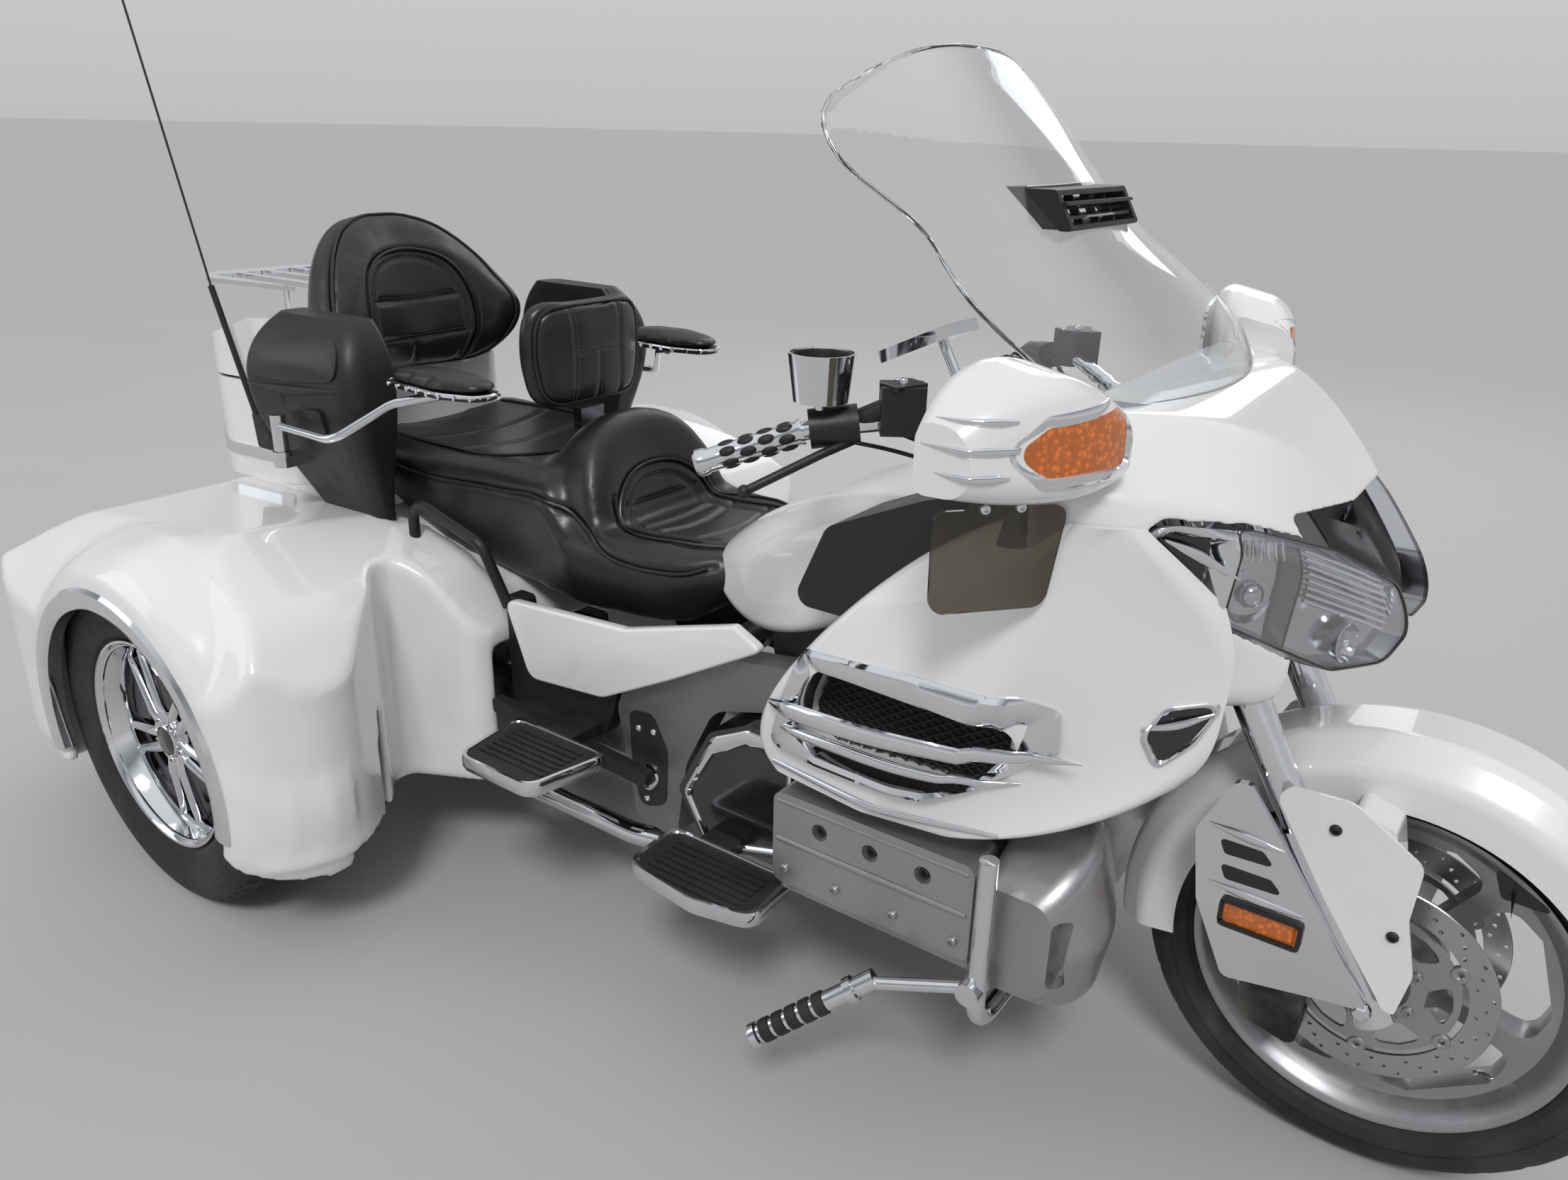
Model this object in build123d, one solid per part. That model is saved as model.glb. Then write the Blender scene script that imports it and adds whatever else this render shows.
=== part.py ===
"""Three-wheeled touring motorcycle, modelled in millimetres.

Every piece is laid out from the front axle: +X forward, +Y left, +Z up, the ground at z = 0. The written
files are shifted along X so that the origin lies on the ground below the middle of the vehicle.
"""
import os
from math import cos, radians, sin, tan

from build123d import *

# Driving dimensions of the running gear
WHEELBASE = 1888.0
FRONT_TYRE_RADIUS = 318.0
FRONT_TYRE_WIDTH = 130.0
FRONT_RIM_RADIUS = 241.5
FRONT_RIM_WIDTH = 106.0
REAR_TYRE_RADIUS = 314.0
REAR_TYRE_WIDTH = 214.0
REAR_RIM_RADIUS = 198.0
REAR_RIM_WIDTH = 194.0
RIM_WALL = 9.0
RUNNING_FIT = 0.05
PIECE_GAP = 0.3
MOVING_GAP = 6.0
CORNER_SHARE = 0.47

# Steering geometry
RAKE = 29.15
TRAIL = 109.0
FORK_SPREAD = 112.0
FORK_TUBE_RADIUS = 24.0
SLIDER_RADIUS = 30.0
STEM_RADIUS = 15.0
HEAD_TUBE_RADIUS = 32.0
HEAD_LOW = 815.0
HEAD_HIGH = 955.0
CLAMP_THICKNESS = 34.0
CLAMP_PLAY = 1.0
FORK_TOP = 1015.0
FRONT_AXLE_RADIUS = 12.5
DISC_RADIUS = 148.0
DISC_THICKNESS = 5.0
DISC_Y = 68.0
DISC_BORE = 44.0

# Rear body and load space
FENDER_HALF_WIDTH = 775.0
REAR_RIM_FACE = FENDER_HALF_WIDTH - 55
ARCH_RADIUS = 276.0
WELL_RADIUS = 345.0
BODY_DECK = 690.0
LIP_PROUD = 6.0
BODY_REAR = -2540.0
BODY_FRONT = -1470.0
SPINDLE_RADIUS = 20.0
AXLE_HOUSING_RADIUS = 42.0
TRUNK_HALF_WIDTH = 300.0
TRUNK_WALL = 8.0
TRUNK_FLOOR = 664.0
TRUNK_SPLIT = 868.0
TRUNK_FRONT = -2040.0
TRUNK_REAR = -2450.0
TRUNK_HINGE = (-2030.0, TRUNK_SPLIT + 1)
LID_SEAM = 5.5
LID_TOP = TRUNK_SPLIT + 132
RACK_TOP = TRUNK_SPLIT + 166
RACK_REAR = -2555.0

FRONT_AXLE_Z = FRONT_TYRE_RADIUS
REAR_AXLE_Z = REAR_TYRE_RADIUS
REAR_AXLE_X = -WHEELBASE
REAR_WHEEL_Y = REAR_RIM_FACE - REAR_RIM_WIDTH / 2
REAR_TYRE_OUTER = REAR_WHEEL_Y + REAR_TYRE_WIDTH / 2
SHIFT_X = -(FRONT_TYRE_RADIUS + RACK_REAR) / 2

os.makedirs("parts", exist_ok=True)


# Shape helpers

def outline(plane, rows):
    """Closed face on a plane from rows of (first, second, corner radius).

    A corner takes at most CORNER_SHARE of each of its two sides.
    """
    count = len(rows)
    starts, middles, ends = [], [], []
    for index, (u, v, radius) in enumerate(rows):
        corner = Vector(u, v)
        back = Vector(*rows[index - 1][:2]) - corner
        ahead = Vector(*rows[(index + 1) % count][:2]) - corner
        half_angle = radians(back.get_angle(ahead)) / 2
        reach = min(radius / tan(half_angle), CORNER_SHARE * min(back.length, ahead.length))
        inward = (back.normalized() + ahead.normalized()).normalized()
        bulge = reach / cos(half_angle) - reach * tan(half_angle)
        starts.append(corner + back.normalized() * reach)
        middles.append(corner + inward * bulge)
        ends.append(corner + ahead.normalized() * reach)
    edges = []
    for index, row in enumerate(rows):
        if row[2]:
            edges.append(ThreePointArc(starts[index], middles[index], ends[index]))
        edges.append(Line(ends[index], starts[(index + 1) % count]))
    return plane * make_face(edges)


def side_panel(rows, y_low, y_high):
    """Solid with a side-view outline, rows (x, z, corner radius), between two y values."""
    face = outline(Plane.XZ.offset(-y_low), rows)
    return extrude(face, amount=y_high - y_low, dir=(0, 1, 0))


def top_slab(rows, z_low, z_high):
    """Solid with a top-view outline, rows (x, y, corner radius), between two heights."""
    face = outline(Plane.XY.offset(z_low), rows)
    return extrude(face, amount=z_high - z_low, dir=(0, 0, 1))


def front_prism(rows, x_low, x_high):
    """Solid with a front-view outline, rows (y, z, corner radius), between two x values."""
    face = outline(Plane.YZ.offset(x_low), rows)
    return extrude(face, amount=x_high - x_low, dir=(1, 0, 0))


def sections_along_x(stations):
    """Loft of closed sections, stations (x, rows of (y, z, corner radius))."""
    return loft([outline(Plane.YZ.offset(x), rows) for x, rows in stations])


def sections_along_y(stations):
    """Loft of closed sections, stations (y, rows of (x, z, corner radius))."""
    return loft([outline(Plane.XZ.offset(-y), rows) for y, rows in stations])


def rod(start, end, radius):
    """Round bar between two points."""
    start, end = Vector(*start), Vector(*end)
    along = end - start
    return extrude(Plane(origin=start, z_dir=along) * Circle(radius), amount=along.length)


def tube(points, radius, bends):
    """Bent round bar through points, with one bend radius for each inner point."""
    path = FilletPolyline(*points, radius=bends)
    start = Plane(origin=path @ 0, z_dir=path % 0)
    return sweep(start * Circle(radius), path=path)


def ring(centre, radius, y_low, y_high, bore=0.0):
    """Disc or ring about a cross-wise axis through centre (x, z)."""
    x, z = centre
    plane = Plane(origin=(x, y_low, z), z_dir=(0, 1, 0))
    profile = Circle(radius) - Circle(bore) if bore else Circle(radius)
    return extrude(plane * profile, amount=y_high - y_low)


def turned(centre, y_mid, rows):
    """Ring turned about a cross-wise axis, rows (radius, offset along y, corner radius)."""
    x, z = centre
    plane = Plane(origin=(x, y_mid, z), x_dir=(1, 0, 0), z_dir=(0, 0, 1))
    face = outline(plane, rows)
    return revolve(face, axis=Axis((x, y_mid, z), (0, 1, 0)))


def block(x_low, x_high, y_low, y_high, z_low, z_high):
    """Plain box between limits."""
    size = (x_high - x_low, y_high - y_low, z_high - z_low)
    middle = ((x_high + x_low) / 2, (y_high + y_low) / 2, (z_high + z_low) / 2)
    return Pos(*middle) * Box(*size)


def mirrored(shape):
    """The same shape on the other side of the vehicle's middle plane."""
    return mirror(shape, about=Plane.XZ)


def solids_of(*shapes):
    """All solids of the shapes, in order."""
    return [solid for shape in shapes for solid in shape.solids()]


def both_sides(*shapes):
    """The shapes and their mirror images as separate solids."""
    return solids_of(*shapes, *[mirrored(shape) for shape in shapes])


def write(name, *shapes):
    """Write one node, shifted so that the origin lies below the middle of the vehicle."""
    solids = solids_of(*shapes)
    moved = [Pos(SHIFT_X, 0, 0) * solid for solid in solids]
    shape = moved[0] if len(moved) == 1 else Compound(children=moved)
    export_step(shape, f"parts/{name}.step")


def steer_point(along, forward=0.0, side=0.0):
    """Point in the steering frame: distance up the steering axis, ahead of it and to the side."""
    x = TRAIL - along * sin(radians(RAKE)) + forward * cos(radians(RAKE))
    z = along * cos(radians(RAKE)) + forward * sin(radians(RAKE))
    return (x, side, z)


def steer_plane(along):
    """Plane square to the steering axis, x forward and y to the left."""
    up = (-sin(radians(RAKE)), 0, cos(radians(RAKE)))
    ahead = (cos(radians(RAKE)), 0, sin(radians(RAKE)))
    return Plane(origin=steer_point(along), x_dir=ahead, z_dir=up)


# Distance of the front axle ahead of the steering axis, and its place along it
AXLE_ALONG = FRONT_AXLE_Z * cos(radians(RAKE)) + TRAIL * sin(radians(RAKE))
AXLE_END = FORK_SPREAD + SLIDER_RADIUS
AXLE_AHEAD = FRONT_AXLE_Z * sin(radians(RAKE)) - TRAIL * cos(radians(RAKE))


# Wheels

def tyre(centre, y_mid, radius, width, rim_radius, rim_width, crown):
    """Tyre with rounded shoulders, seated on the rim's bead seats."""
    half = width / 2
    bead = rim_width / 2 - 8 - PIECE_GAP
    seat = rim_radius - RIM_WALL - 4 + PIECE_GAP
    rows = [
        (seat, -bead, 0),
        (rim_radius + 8, -bead - 3, 10),
        ((radius + rim_radius) / 2, -half, 24),
        (radius - crown, -half * 0.93, 18),
        (radius, -half * 0.45, 30),
        (radius, half * 0.45, 30),
        (radius - crown, half * 0.93, 18),
        ((radius + rim_radius) / 2, half, 24),
        (rim_radius + 8, bead + 3, 10),
        (seat, bead, 0),
        (seat, bead - 12, 0),
        (radius - 30, bead - 14, 10),
        (radius - 30, -bead + 14, 10),
        (seat, -bead + 12, 0),
    ]
    return turned(centre, y_mid, rows)


def rim_barrel(centre, y_mid, radius, width):
    """Drop-centre barrel with an upright flange at each side."""
    half = width / 2
    seat = radius - RIM_WALL - 4
    well = half - 36
    rows = [
        (radius, -half, 0), (radius, -half + 5, 0), (seat, -half + 8, 0),
        (seat, -half + 24, 0), (seat - 14, -well, 0),
        (seat - 14, well, 0), (seat, half - 24, 0),
        (seat, half - 8, 0), (radius, half - 5, 0), (radius, half, 0),
        (seat - 6, half - 3, 0), (seat - 22, well, 0),
        (seat - 22, -well, 0), (seat - 6, -half + 3, 0),
    ]
    return turned(centre, y_mid, rows)


def spoke(centre, y_low, y_high, rows, angle):
    """Flat spoke, rows (radius out, sideways offset, corner radius), turned by an angle about the axle."""
    x, z = centre
    plane = Plane(origin=(x, y_low, z), x_dir=(cos(radians(angle)), 0, sin(radians(angle))), z_dir=(0, -1, 0))
    face = outline(plane, rows)
    return extrude(face, amount=y_high - y_low, dir=(0, 1, 0))


def front_wheel():
    """Cast five-spoke rim, its tyre and the two brake discs."""
    centre = (0, FRONT_AXLE_Z)
    hub_half = DISC_Y - DISC_THICKNESS / 2 - 5
    rim = rim_barrel(centre, 0, FRONT_RIM_RADIUS, FRONT_RIM_WIDTH)
    rim += ring(centre, 36, -hub_half, hub_half)
    rim += ring(centre, 62, -hub_half + 6, hub_half - 6)
    inner = FRONT_RIM_RADIUS - 32
    rows = [(40, -26, 0), (inner * 0.6, -22, 40), (inner + 1, -40, 0), (inner + 1, 26, 0),
            (inner * 0.6, 12, 60), (40, 26, 0)]
    for number in range(5):
        rim += spoke(centre, -19, 19, rows, 90 + 72 * number)
    for side in (-1, 1):
        low, high = sorted((side * hub_half, side * (hub_half + 5)))
        rim += ring(centre, 56, low, high)
    rim -= ring(centre, FRONT_AXLE_RADIUS + RUNNING_FIT, -100, 100)
    write("front_rim", rim)
    rubber = tyre(centre, 0, FRONT_TYRE_RADIUS, FRONT_TYRE_WIDTH, FRONT_RIM_RADIUS, FRONT_RIM_WIDTH, 26)
    write("front_tyre", rubber)
    disc = brake_disc(centre)
    write("front_discs", *both_sides(disc))


def brake_disc(centre):
    """Floating disc: a braking ring on a carrier with lobed windows."""
    low, high = DISC_Y - DISC_THICKNESS / 2, DISC_Y + DISC_THICKNESS / 2
    disc = ring(centre, DISC_RADIUS, low, high, DISC_BORE)
    window_middle = 87
    for number in range(6):
        angle = radians(60 * number)
        at = (centre[0] + window_middle * cos(angle), centre[1] + window_middle * sin(angle))
        disc -= ring(at, 19, low - 1, high + 1)
    return disc


def rear_wheel(side_name, side):
    """Chrome rim with five split spokes and its tyre."""
    centre = (REAR_AXLE_X, REAR_AXLE_Z)
    y_mid = side * REAR_WHEEL_Y
    rim = rim_barrel(centre, y_mid, REAR_RIM_RADIUS, REAR_RIM_WIDTH)
    face_low, face_high = sorted((side * (REAR_RIM_FACE - 60), side * (REAR_RIM_FACE - 32)))
    inner = REAR_RIM_RADIUS - 34
    for number in range(5):
        for offset in (-19, 19):
            rows = [(34, offset - 12, 0), (inner + 4, offset * 1.5 - 10, 0),
                    (inner + 4, offset * 1.5 + 10, 0), (34, offset + 12, 0)]
            rim += spoke(centre, face_low, face_high, rows, 90 + 72 * number)
    hub_low, hub_high = sorted((side * (REAR_RIM_FACE - 110), side * (REAR_RIM_FACE - 12)))
    rim += ring(centre, 48, hub_low, hub_high)
    rim -= ring(centre, SPINDLE_RADIUS + RUNNING_FIT, *sorted((side * (REAR_RIM_FACE - 160), side * (REAR_RIM_FACE - 28))))
    write(f"rear_rim_{side_name}", rim)
    rubber = tyre(centre, y_mid, REAR_TYRE_RADIUS, REAR_TYRE_WIDTH, REAR_RIM_RADIUS, REAR_RIM_WIDTH, 22)
    write(f"rear_tyre_{side_name}", rubber)


# Steering

def fork():
    """Legs, triple clamps, stem and front axle."""
    parts = None
    for side in (-1, 1):
        y = side * FORK_SPREAD
        low = steer_point(AXLE_ALONG - 30, AXLE_AHEAD, y)
        shoulder = steer_point(AXLE_ALONG + 250, AXLE_AHEAD, y)
        top = steer_point(FORK_TOP, AXLE_AHEAD, y)
        leg = rod(low, shoulder, SLIDER_RADIUS) + rod(shoulder, top, FORK_TUBE_RADIUS)
        parts = leg if parts is None else parts + leg
    for along in (HEAD_LOW - CLAMP_PLAY - CLAMP_THICKNESS, HEAD_HIGH + CLAMP_PLAY):
        plate = [(-34, -60, 20), (AXLE_AHEAD - 30, -FORK_SPREAD - 34, 20), (AXLE_AHEAD + 32, -FORK_SPREAD - 34, 20),
                 (AXLE_AHEAD + 34, 0, 40), (AXLE_AHEAD + 32, FORK_SPREAD + 34, 20),
                 (AXLE_AHEAD - 30, FORK_SPREAD + 34, 20), (-34, 60, 20)]
        parts += extrude(outline(steer_plane(along), plate), amount=CLAMP_THICKNESS)
    parts += rod(steer_point(HEAD_LOW - CLAMP_THICKNESS), steer_point(HEAD_HIGH + CLAMP_THICKNESS), STEM_RADIUS)
    parts += ring((0, FRONT_AXLE_Z), FRONT_AXLE_RADIUS, -AXLE_END, AXLE_END)
    write("fork", parts)


def fork_guards():
    """Chrome guards on the outer lower legs, with a pocket for the reflector."""
    guard_y = FORK_SPREAD + SLIDER_RADIUS + PIECE_GAP
    plane = Plane.XZ.offset(-guard_y)
    rows = [(10, 326, 8), (-45, 318, 12), (-172, 294, 14), (-222, 400, 12), (-238, 505, 12), (-200, 588, 12),
            (-178, 592, 10)]
    plate = extrude(outline(plane, rows), amount=12, dir=(0, 1, 0))
    reflector_seat = block(-190, -92, guard_y + 8, guard_y + 14, 380, 414)
    write("fork_guards", *both_sides(plate - reflector_seat))


def front_fender():
    """Fender over the front tyre with covers that reach down beside the fork."""
    outer, thick = 352.0, 4.0
    half = 86.0
    rows = [(262, -half, 0), (outer - 40, -half, 30), (outer, -half + 36, 30), (outer, half - 36, 30),
            (outer - 40, half, 30), (262, half, 0), (262, half - thick, 0),
            (outer - 40 - thick, half - thick, 27), (outer - thick, half - 38, 27),
            (outer - thick, -half + 38, 27), (outer - 40 - thick, -half + thick, 27), (262, -half + thick, 0)]
    plane = Plane(origin=(0, 0, FRONT_AXLE_Z), x_dir=(1, 0, 0), z_dir=(0, 0, 1))
    shell = revolve(outline(plane, rows), axis=Axis((0, 0, FRONT_AXLE_Z), (0, 1, 0)), revolution_arc=-160)
    shell = Pos(0, 0, FRONT_AXLE_Z) * Rot(0, -28, 0) * Pos(0, 0, -FRONT_AXLE_Z) * shell
    shell -= block(-400, 400, -200, 200, -10, FRONT_AXLE_Z - 60)
    x, _, z = steer_point(AXLE_ALONG + 280, AXLE_AHEAD)
    boss = ring((x, z), 14, half - thick, half + 10) - fork_leg_space(200, 340, FORK_TUBE_RADIUS)
    boss = min(boss.solids(), key=lambda s: s.center().Y)
    cover_y = FORK_SPREAD + SLIDER_RADIUS + PIECE_GAP
    boss += side_panel([(-160, 602, 20), (-60, 606, 40), (30, 548, 20), (27, 470, 30), (46, 395, 20), (36, 330, 8),
                        (22, 334, 5), (-70, 462, 0)], cover_y, cover_y + 5)
    boss += side_panel([(-62, 600, 10), (-8, 582, 10), (6, 520, 10), (-50, 520, 10)], half - thick, cover_y + 2)
    write("front_fender", shell + boss + mirrored(boss))


def fork_leg_space(low, high, radius):
    """Space of the left fork leg between two distances above the axle, with a clearance."""
    ends = [steer_point(AXLE_ALONG + along, AXLE_AHEAD, FORK_SPREAD) for along in (low, high)]
    return rod(*ends, radius + PIECE_GAP)


def calipers():
    """Brake calipers that straddle the discs behind the legs."""
    low = DISC_Y - 24
    body = side_panel([(-150, 210, 14), (-70, 190, 14), (-73, 330, 10), (-120, 360, 14), (-160, 320, 14)],
                      low, DISC_Y + 40)
    slot_half = DISC_THICKNESS / 2 + MOVING_GAP
    slot = ring((0, FRONT_AXLE_Z), DISC_RADIUS + MOVING_GAP, DISC_Y - slot_half, DISC_Y + slot_half)
    lug = side_panel([(-100, 296, 5), (-20, 316, 5), (-38, 366, 5), (-112, 344, 5)], DISC_Y + 16, DISC_Y + 40)
    lug = max((lug - fork_leg_space(-30, 250, SLIDER_RADIUS)).solids(), key=lambda s: s.volume)
    write("front_calipers", *both_sides(body - slot + lug))


BAR_POINTS = [(-395, 40, 925), (-440, 120, 962), (-640, 262, 1018), (-745, 337, 1003), (-862, 422, 955)]
BAR_RADIUS = 12.7
GRIP_RADIUS = 19.0


def bar_tube(grow):
    """Left half of the handlebar tube, grown by a clearance."""
    return tube(BAR_POINTS, BAR_RADIUS + grow, [40, 120, 90])


def handlebar():
    """Swept-back bars on risers, with clamps on the upper triple clamp."""
    bar = bar_tube(0)
    clamp_top = HEAD_HIGH + CLAMP_PLAY + CLAMP_THICKNESS
    riser = rod(steer_point(clamp_top, -6, 60), steer_point(clamp_top + 76, -6, 60), 22)
    half = bar + riser
    write("handlebar", *both_sides(half))
    inner, outer = Vector(*BAR_POINTS[3]), Vector(*BAR_POINTS[4])
    along = (outer - inner).normalized()
    start = inner + along * 16
    grip = rod(start, outer + along * 14, GRIP_RADIUS)
    grip -= rod(start - along, outer + along * PIECE_GAP, BAR_RADIUS + PIECE_GAP)
    grip -= bar_tube(PIECE_GAP)
    write("grips", *both_sides(grip))


HOUSING_ENDS = [(-700, 305, 1010), (-752, 341.5, 1001)]
HOUSING_RADIUS = 26.0


def controls():
    """Switch housings, brake reservoirs and levers on the bars."""
    housing = rod(*HOUSING_ENDS, HOUSING_RADIUS)
    reservoir = Pos(-650, 283, 1033) * Rot(0, 0, -35) * Box(56, 52, 62)
    stalk = rod((-705, 305, 1012), (-668, 288, 1032), 14)
    lever = tube([(-700, 312, 990), (-724, 354, 975), (-790, 430, 930)], 6, [40]) + Pos(-790, 430, 930) * Sphere(9)
    body = housing + reservoir + stalk + lever
    write("bar_controls", *both_sides(body - bar_tube(PIECE_GAP)))


CUP_CENTRE = (-740, -335, 1070)
CUP_RADIUS = 44.0
CUP_HEIGHT = 62.0
CUP_WALL = 3.0


def bar_fittings():
    """Cup holder and device cradle on the right bar."""
    cup = Pos(*CUP_CENTRE) * (Cone(CUP_RADIUS - 8, CUP_RADIUS, CUP_HEIGHT)
                              - Pos(0, 0, CUP_WALL) * Cone(CUP_RADIUS - 8 - CUP_WALL, CUP_RADIUS - CUP_WALL, CUP_HEIGHT))
    x, y, z = CUP_CENTRE
    hook = rod((x, y, z - 70), (x, y, z - CUP_HEIGHT / 2 + 2), 8)
    hook -= rod(*[(x, -y, z) for x, y, z in HOUSING_ENDS], HOUSING_RADIUS + PIECE_GAP)
    hook = max(hook.solids(), key=lambda s: s.center().Z)
    cradle = Pos(-668, -192, 1106) * Rot(0, -25, 0) * (Box(112, 76, 16) - Pos(0, 0, 6) * Box(96, 64, 10))
    post = rod((-572, -214, 1000), (-646, -196, 1112), 7)
    post = max((post - mirrored(bar_tube(PIECE_GAP))).solids(), key=lambda s: s.center().Z)
    write("bar_fittings", cup + hook, cradle + post)


# Chassis

PLATE_INNER = 200.0
PLATE_OUTER = 250.0
CROSS_TUBES = [(-1110, 300, 26), (-1130, 480, 22)]


def frame():
    """Twin spars from the steering head to the swing-arm plates, with cross tubes."""
    head = extrude(steer_plane(HEAD_LOW) * Circle(HEAD_TUBE_RADIUS), amount=HEAD_HIGH - HEAD_LOW)
    plate_rows = [(-810, 600, 20), (-1000, 575, 60), (-1170, 500, 30), (-1200, 420, 30), (-1160, 215, 20),
                  (-1070, 200, 20), (-1045, 360, 60), (-985, 480, 60), (-810, 530, 20)]
    plate = side_panel(plate_rows, PLATE_INNER, PLATE_OUTER)
    beam = loft([outline(Plane.YZ.offset(-360), [(15, 735, 8), (70, 735, 8), (70, 800, 8), (15, 800, 8)]),
                 outline(Plane.YZ.offset(-830), [(200, 532, 8), (250, 532, 8), (250, 598, 8), (200, 598, 8)])])
    body = head
    for shape in (beam, plate):
        body += shape
        body += mirrored(shape)
    for x, z, radius in CROSS_TUBES:
        body += ring((x, z), radius, -PLATE_INNER - 10, PLATE_INNER + 10)
    body -= rod(steer_point(HEAD_LOW - 20), steer_point(HEAD_HIGH + 20), STEM_RADIUS + RUNNING_FIT)
    write("frame", body)


BANK_REAR = -775.0
BANK_FRONT = -445.0
COWL_REAR = BANK_FRONT + PIECE_GAP
BLOCK_HALF = 298.0
COVER_FACE = BLOCK_HALF + 74
SIDE_PANEL_FACE = BLOCK_HALF - 13
CRASH_BAR_Y = COVER_FACE + 16
COVER_RECESSES = [(-694, 428), (-610, 428), (-526, 428)]


def engine():
    """Plain engine block, head covers, front cowls, belly pan and side panels."""
    block_rows = [(-960, 190, 20), (-430, 190, 30), (-430, 500, 30), (-900, 500, 30), (-960, 440, 30)]
    x, z, radius = CROSS_TUBES[0]
    heavy = side_panel(block_rows, -BLOCK_HALF + 100, BLOCK_HALF - 100)
    heavy += block(BANK_REAR, BANK_FRONT, -BLOCK_HALF, BLOCK_HALF, 300, 470)
    heavy += block(x, -940, -110, 110, z - 40, z + 40) - ring((x, z), radius + PIECE_GAP, -120, 120)
    heavy = max(heavy.solids(), key=lambda s: s.volume)
    write("engine_block", heavy)
    cover = side_panel([(-775, 318, 16), (-450, 318, 16), (-450, 470, 16), (-775, 470, 16)],
                       BLOCK_HALF + PIECE_GAP, COVER_FACE)
    cover += side_panel([(-768, 298, 8), (-456, 298, 8), (-456, 330, 8), (-768, 330, 8)],
                        BLOCK_HALF + PIECE_GAP, COVER_FACE - 14)
    for recess in COVER_RECESSES:
        cover -= ring(recess, 13, COVER_FACE - 12, COVER_FACE + 1)
    write("cylinder_covers", *both_sides(cover))
    cowl = sections_along_y([
        (BLOCK_HALF - 93, [(COWL_REAR, 262, 30), (-330, 262, 50), (-312, 400, 50), (-340, 502, 30), (COWL_REAR, 502, 20)]),
        (BLOCK_HALF + 2, [(COWL_REAR, 252, 30), (-318, 257, 50), (-296, 370, 50), (-330, 480, 30), (COWL_REAR, 480, 20)]),
        (BLOCK_HALF + 58, [(COWL_REAR, 285, 30), (-350, 290, 40), (-330, 370, 40), (-355, 440, 30), (COWL_REAR, 440, 20)]),
    ])
    cowl -= side_panel([(-345, 320, 8), (-325, 320, 8), (-325, 420, 8), (-345, 420, 8)], BLOCK_HALF + 24, BLOCK_HALF + 62)
    write("engine_cowls", *both_sides(cowl))
    pan_rows = [(-980, 150, 10), (-460, 150, 60), (-385, 240, 40), (-378, 470, 20), (-428, 470, 10),
                (-429.7, 189.7, 20), (-980, 189.7, 0)]
    write("belly_pan", side_panel(pan_rows, 108 - BLOCK_HALF, BLOCK_HALF - 108))
    panel = side_panel([(-1034, 335, 20), (-970, 240, 20), (-790, 290, 20), (-790, 497, 20), (-890, 500, 20),
                        (-966, 462, 30)], BLOCK_HALF - 100 + PIECE_GAP, SIDE_PANEL_FACE)
    write("engine_side_panels", *both_sides(panel))


FAIRING_WALL = 7.0
LAMP_REAR = -345.0


def fairing_hull(inset):
    """Closed form of the upper fairing, drawn in by an inset from its outer skin."""
    stations = [
        # x, half width, flat share, top, shoulder, bottom
        (-55, 74, 0.35, 866, 836, 742),
        (-125, 168, 0.38, 948, 900, 698),
        (-210, 262, 0.50, 1026, 950, 690),
        (-310, 345, 0.68, 1066, 980, 700),
        (-470, 372, 0.80, 1072, 1000, 760),
    ]
    faces = []
    for x, half, share, top, shoulder, bottom in stations:
        half, top, shoulder, bottom = half - inset, top - inset, shoulder - inset / 2, bottom + inset
        rows = [(share * half, top, 40), (half, shoulder, 50), (0.92 * half, bottom + 40, 40),
                (0.5 * half, bottom, 40), (-0.5 * half, bottom, 40), (-0.92 * half, bottom + 40, 40),
                (-half, shoulder, 50), (-share * half, top, 40)]
        faces.append(outline(Plane.YZ.offset(x - (inset if x > -100 else 0)), rows))
    return loft(faces)


HEADLIGHT_ROWS = [(66, 806, 24), (74, 872, 20), (150, 922, 60), (250, 958, 40), (328, 968, 14), (340, 936, 24),
                  (300, 866, 60), (205, 800, 60), (150, 766, 24), (86, 770, 24)]


def fairing():
    """Upper fairing with lamps, and its lower side fairings with louvred vents."""
    hull = fairing_hull(0)
    hollow = fairing_hull(FAIRING_WALL)
    lamp_zone = front_prism(HEADLIGHT_ROWS, LAMP_REAR, 0)
    lamp_zone = lamp_zone + mirrored(lamp_zone)
    channel = block(-480, -90, -190, 190, 600, 960)
    shell = hull - hollow - lamp_zone - block(-600, -430, -400, 400, 600, 1100) - channel
    write("upper_fairing", max(shell.solids(), key=lambda s: s.volume))
    lamp = (hull & front_prism(HEADLIGHT_ROWS, LAMP_REAR, 0)) - Pos(-34, 0, 0) * hull
    lamp = max(lamp.solids(), key=lambda s: s.volume)
    write("head_lamps", *both_sides(lamp))


VENT_ROWS = [(-735, 600, 20), (-700, 690, 20), (-420, 690, 40), (-410, 650, 20), (-480, 575, 30), (-690, 565, 20)]
VENT_FACE = 402.0


def side_fairing_form():
    """Closed form of the left fairing under the headlight."""
    stations = [
        # z, rear, rear outer, mid outer, front, front outer
        (503, -778, 372, 392, -455, 372),
        (600, -792, 384, 404, -255, 312),
        (720, -716, 384, 402, -176, 262),
        (850, -596, 356, 392, -205, 290),
        (960, -420, 350, 384, -285, 345),
    ]
    faces = []
    for z, rear, rear_y, mid_y, front, front_y in stations:
        middle = (rear + front) / 2
        rows = [(rear, 300, 10), (rear, rear_y, 14), (middle, mid_y, 60), (front - 20, front_y, 40),
                (front, front_y - 60, 20), (middle, 262, 10)]
        faces.append(outline(Plane.XY.offset(z), rows))
    return loft(faces)


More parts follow.
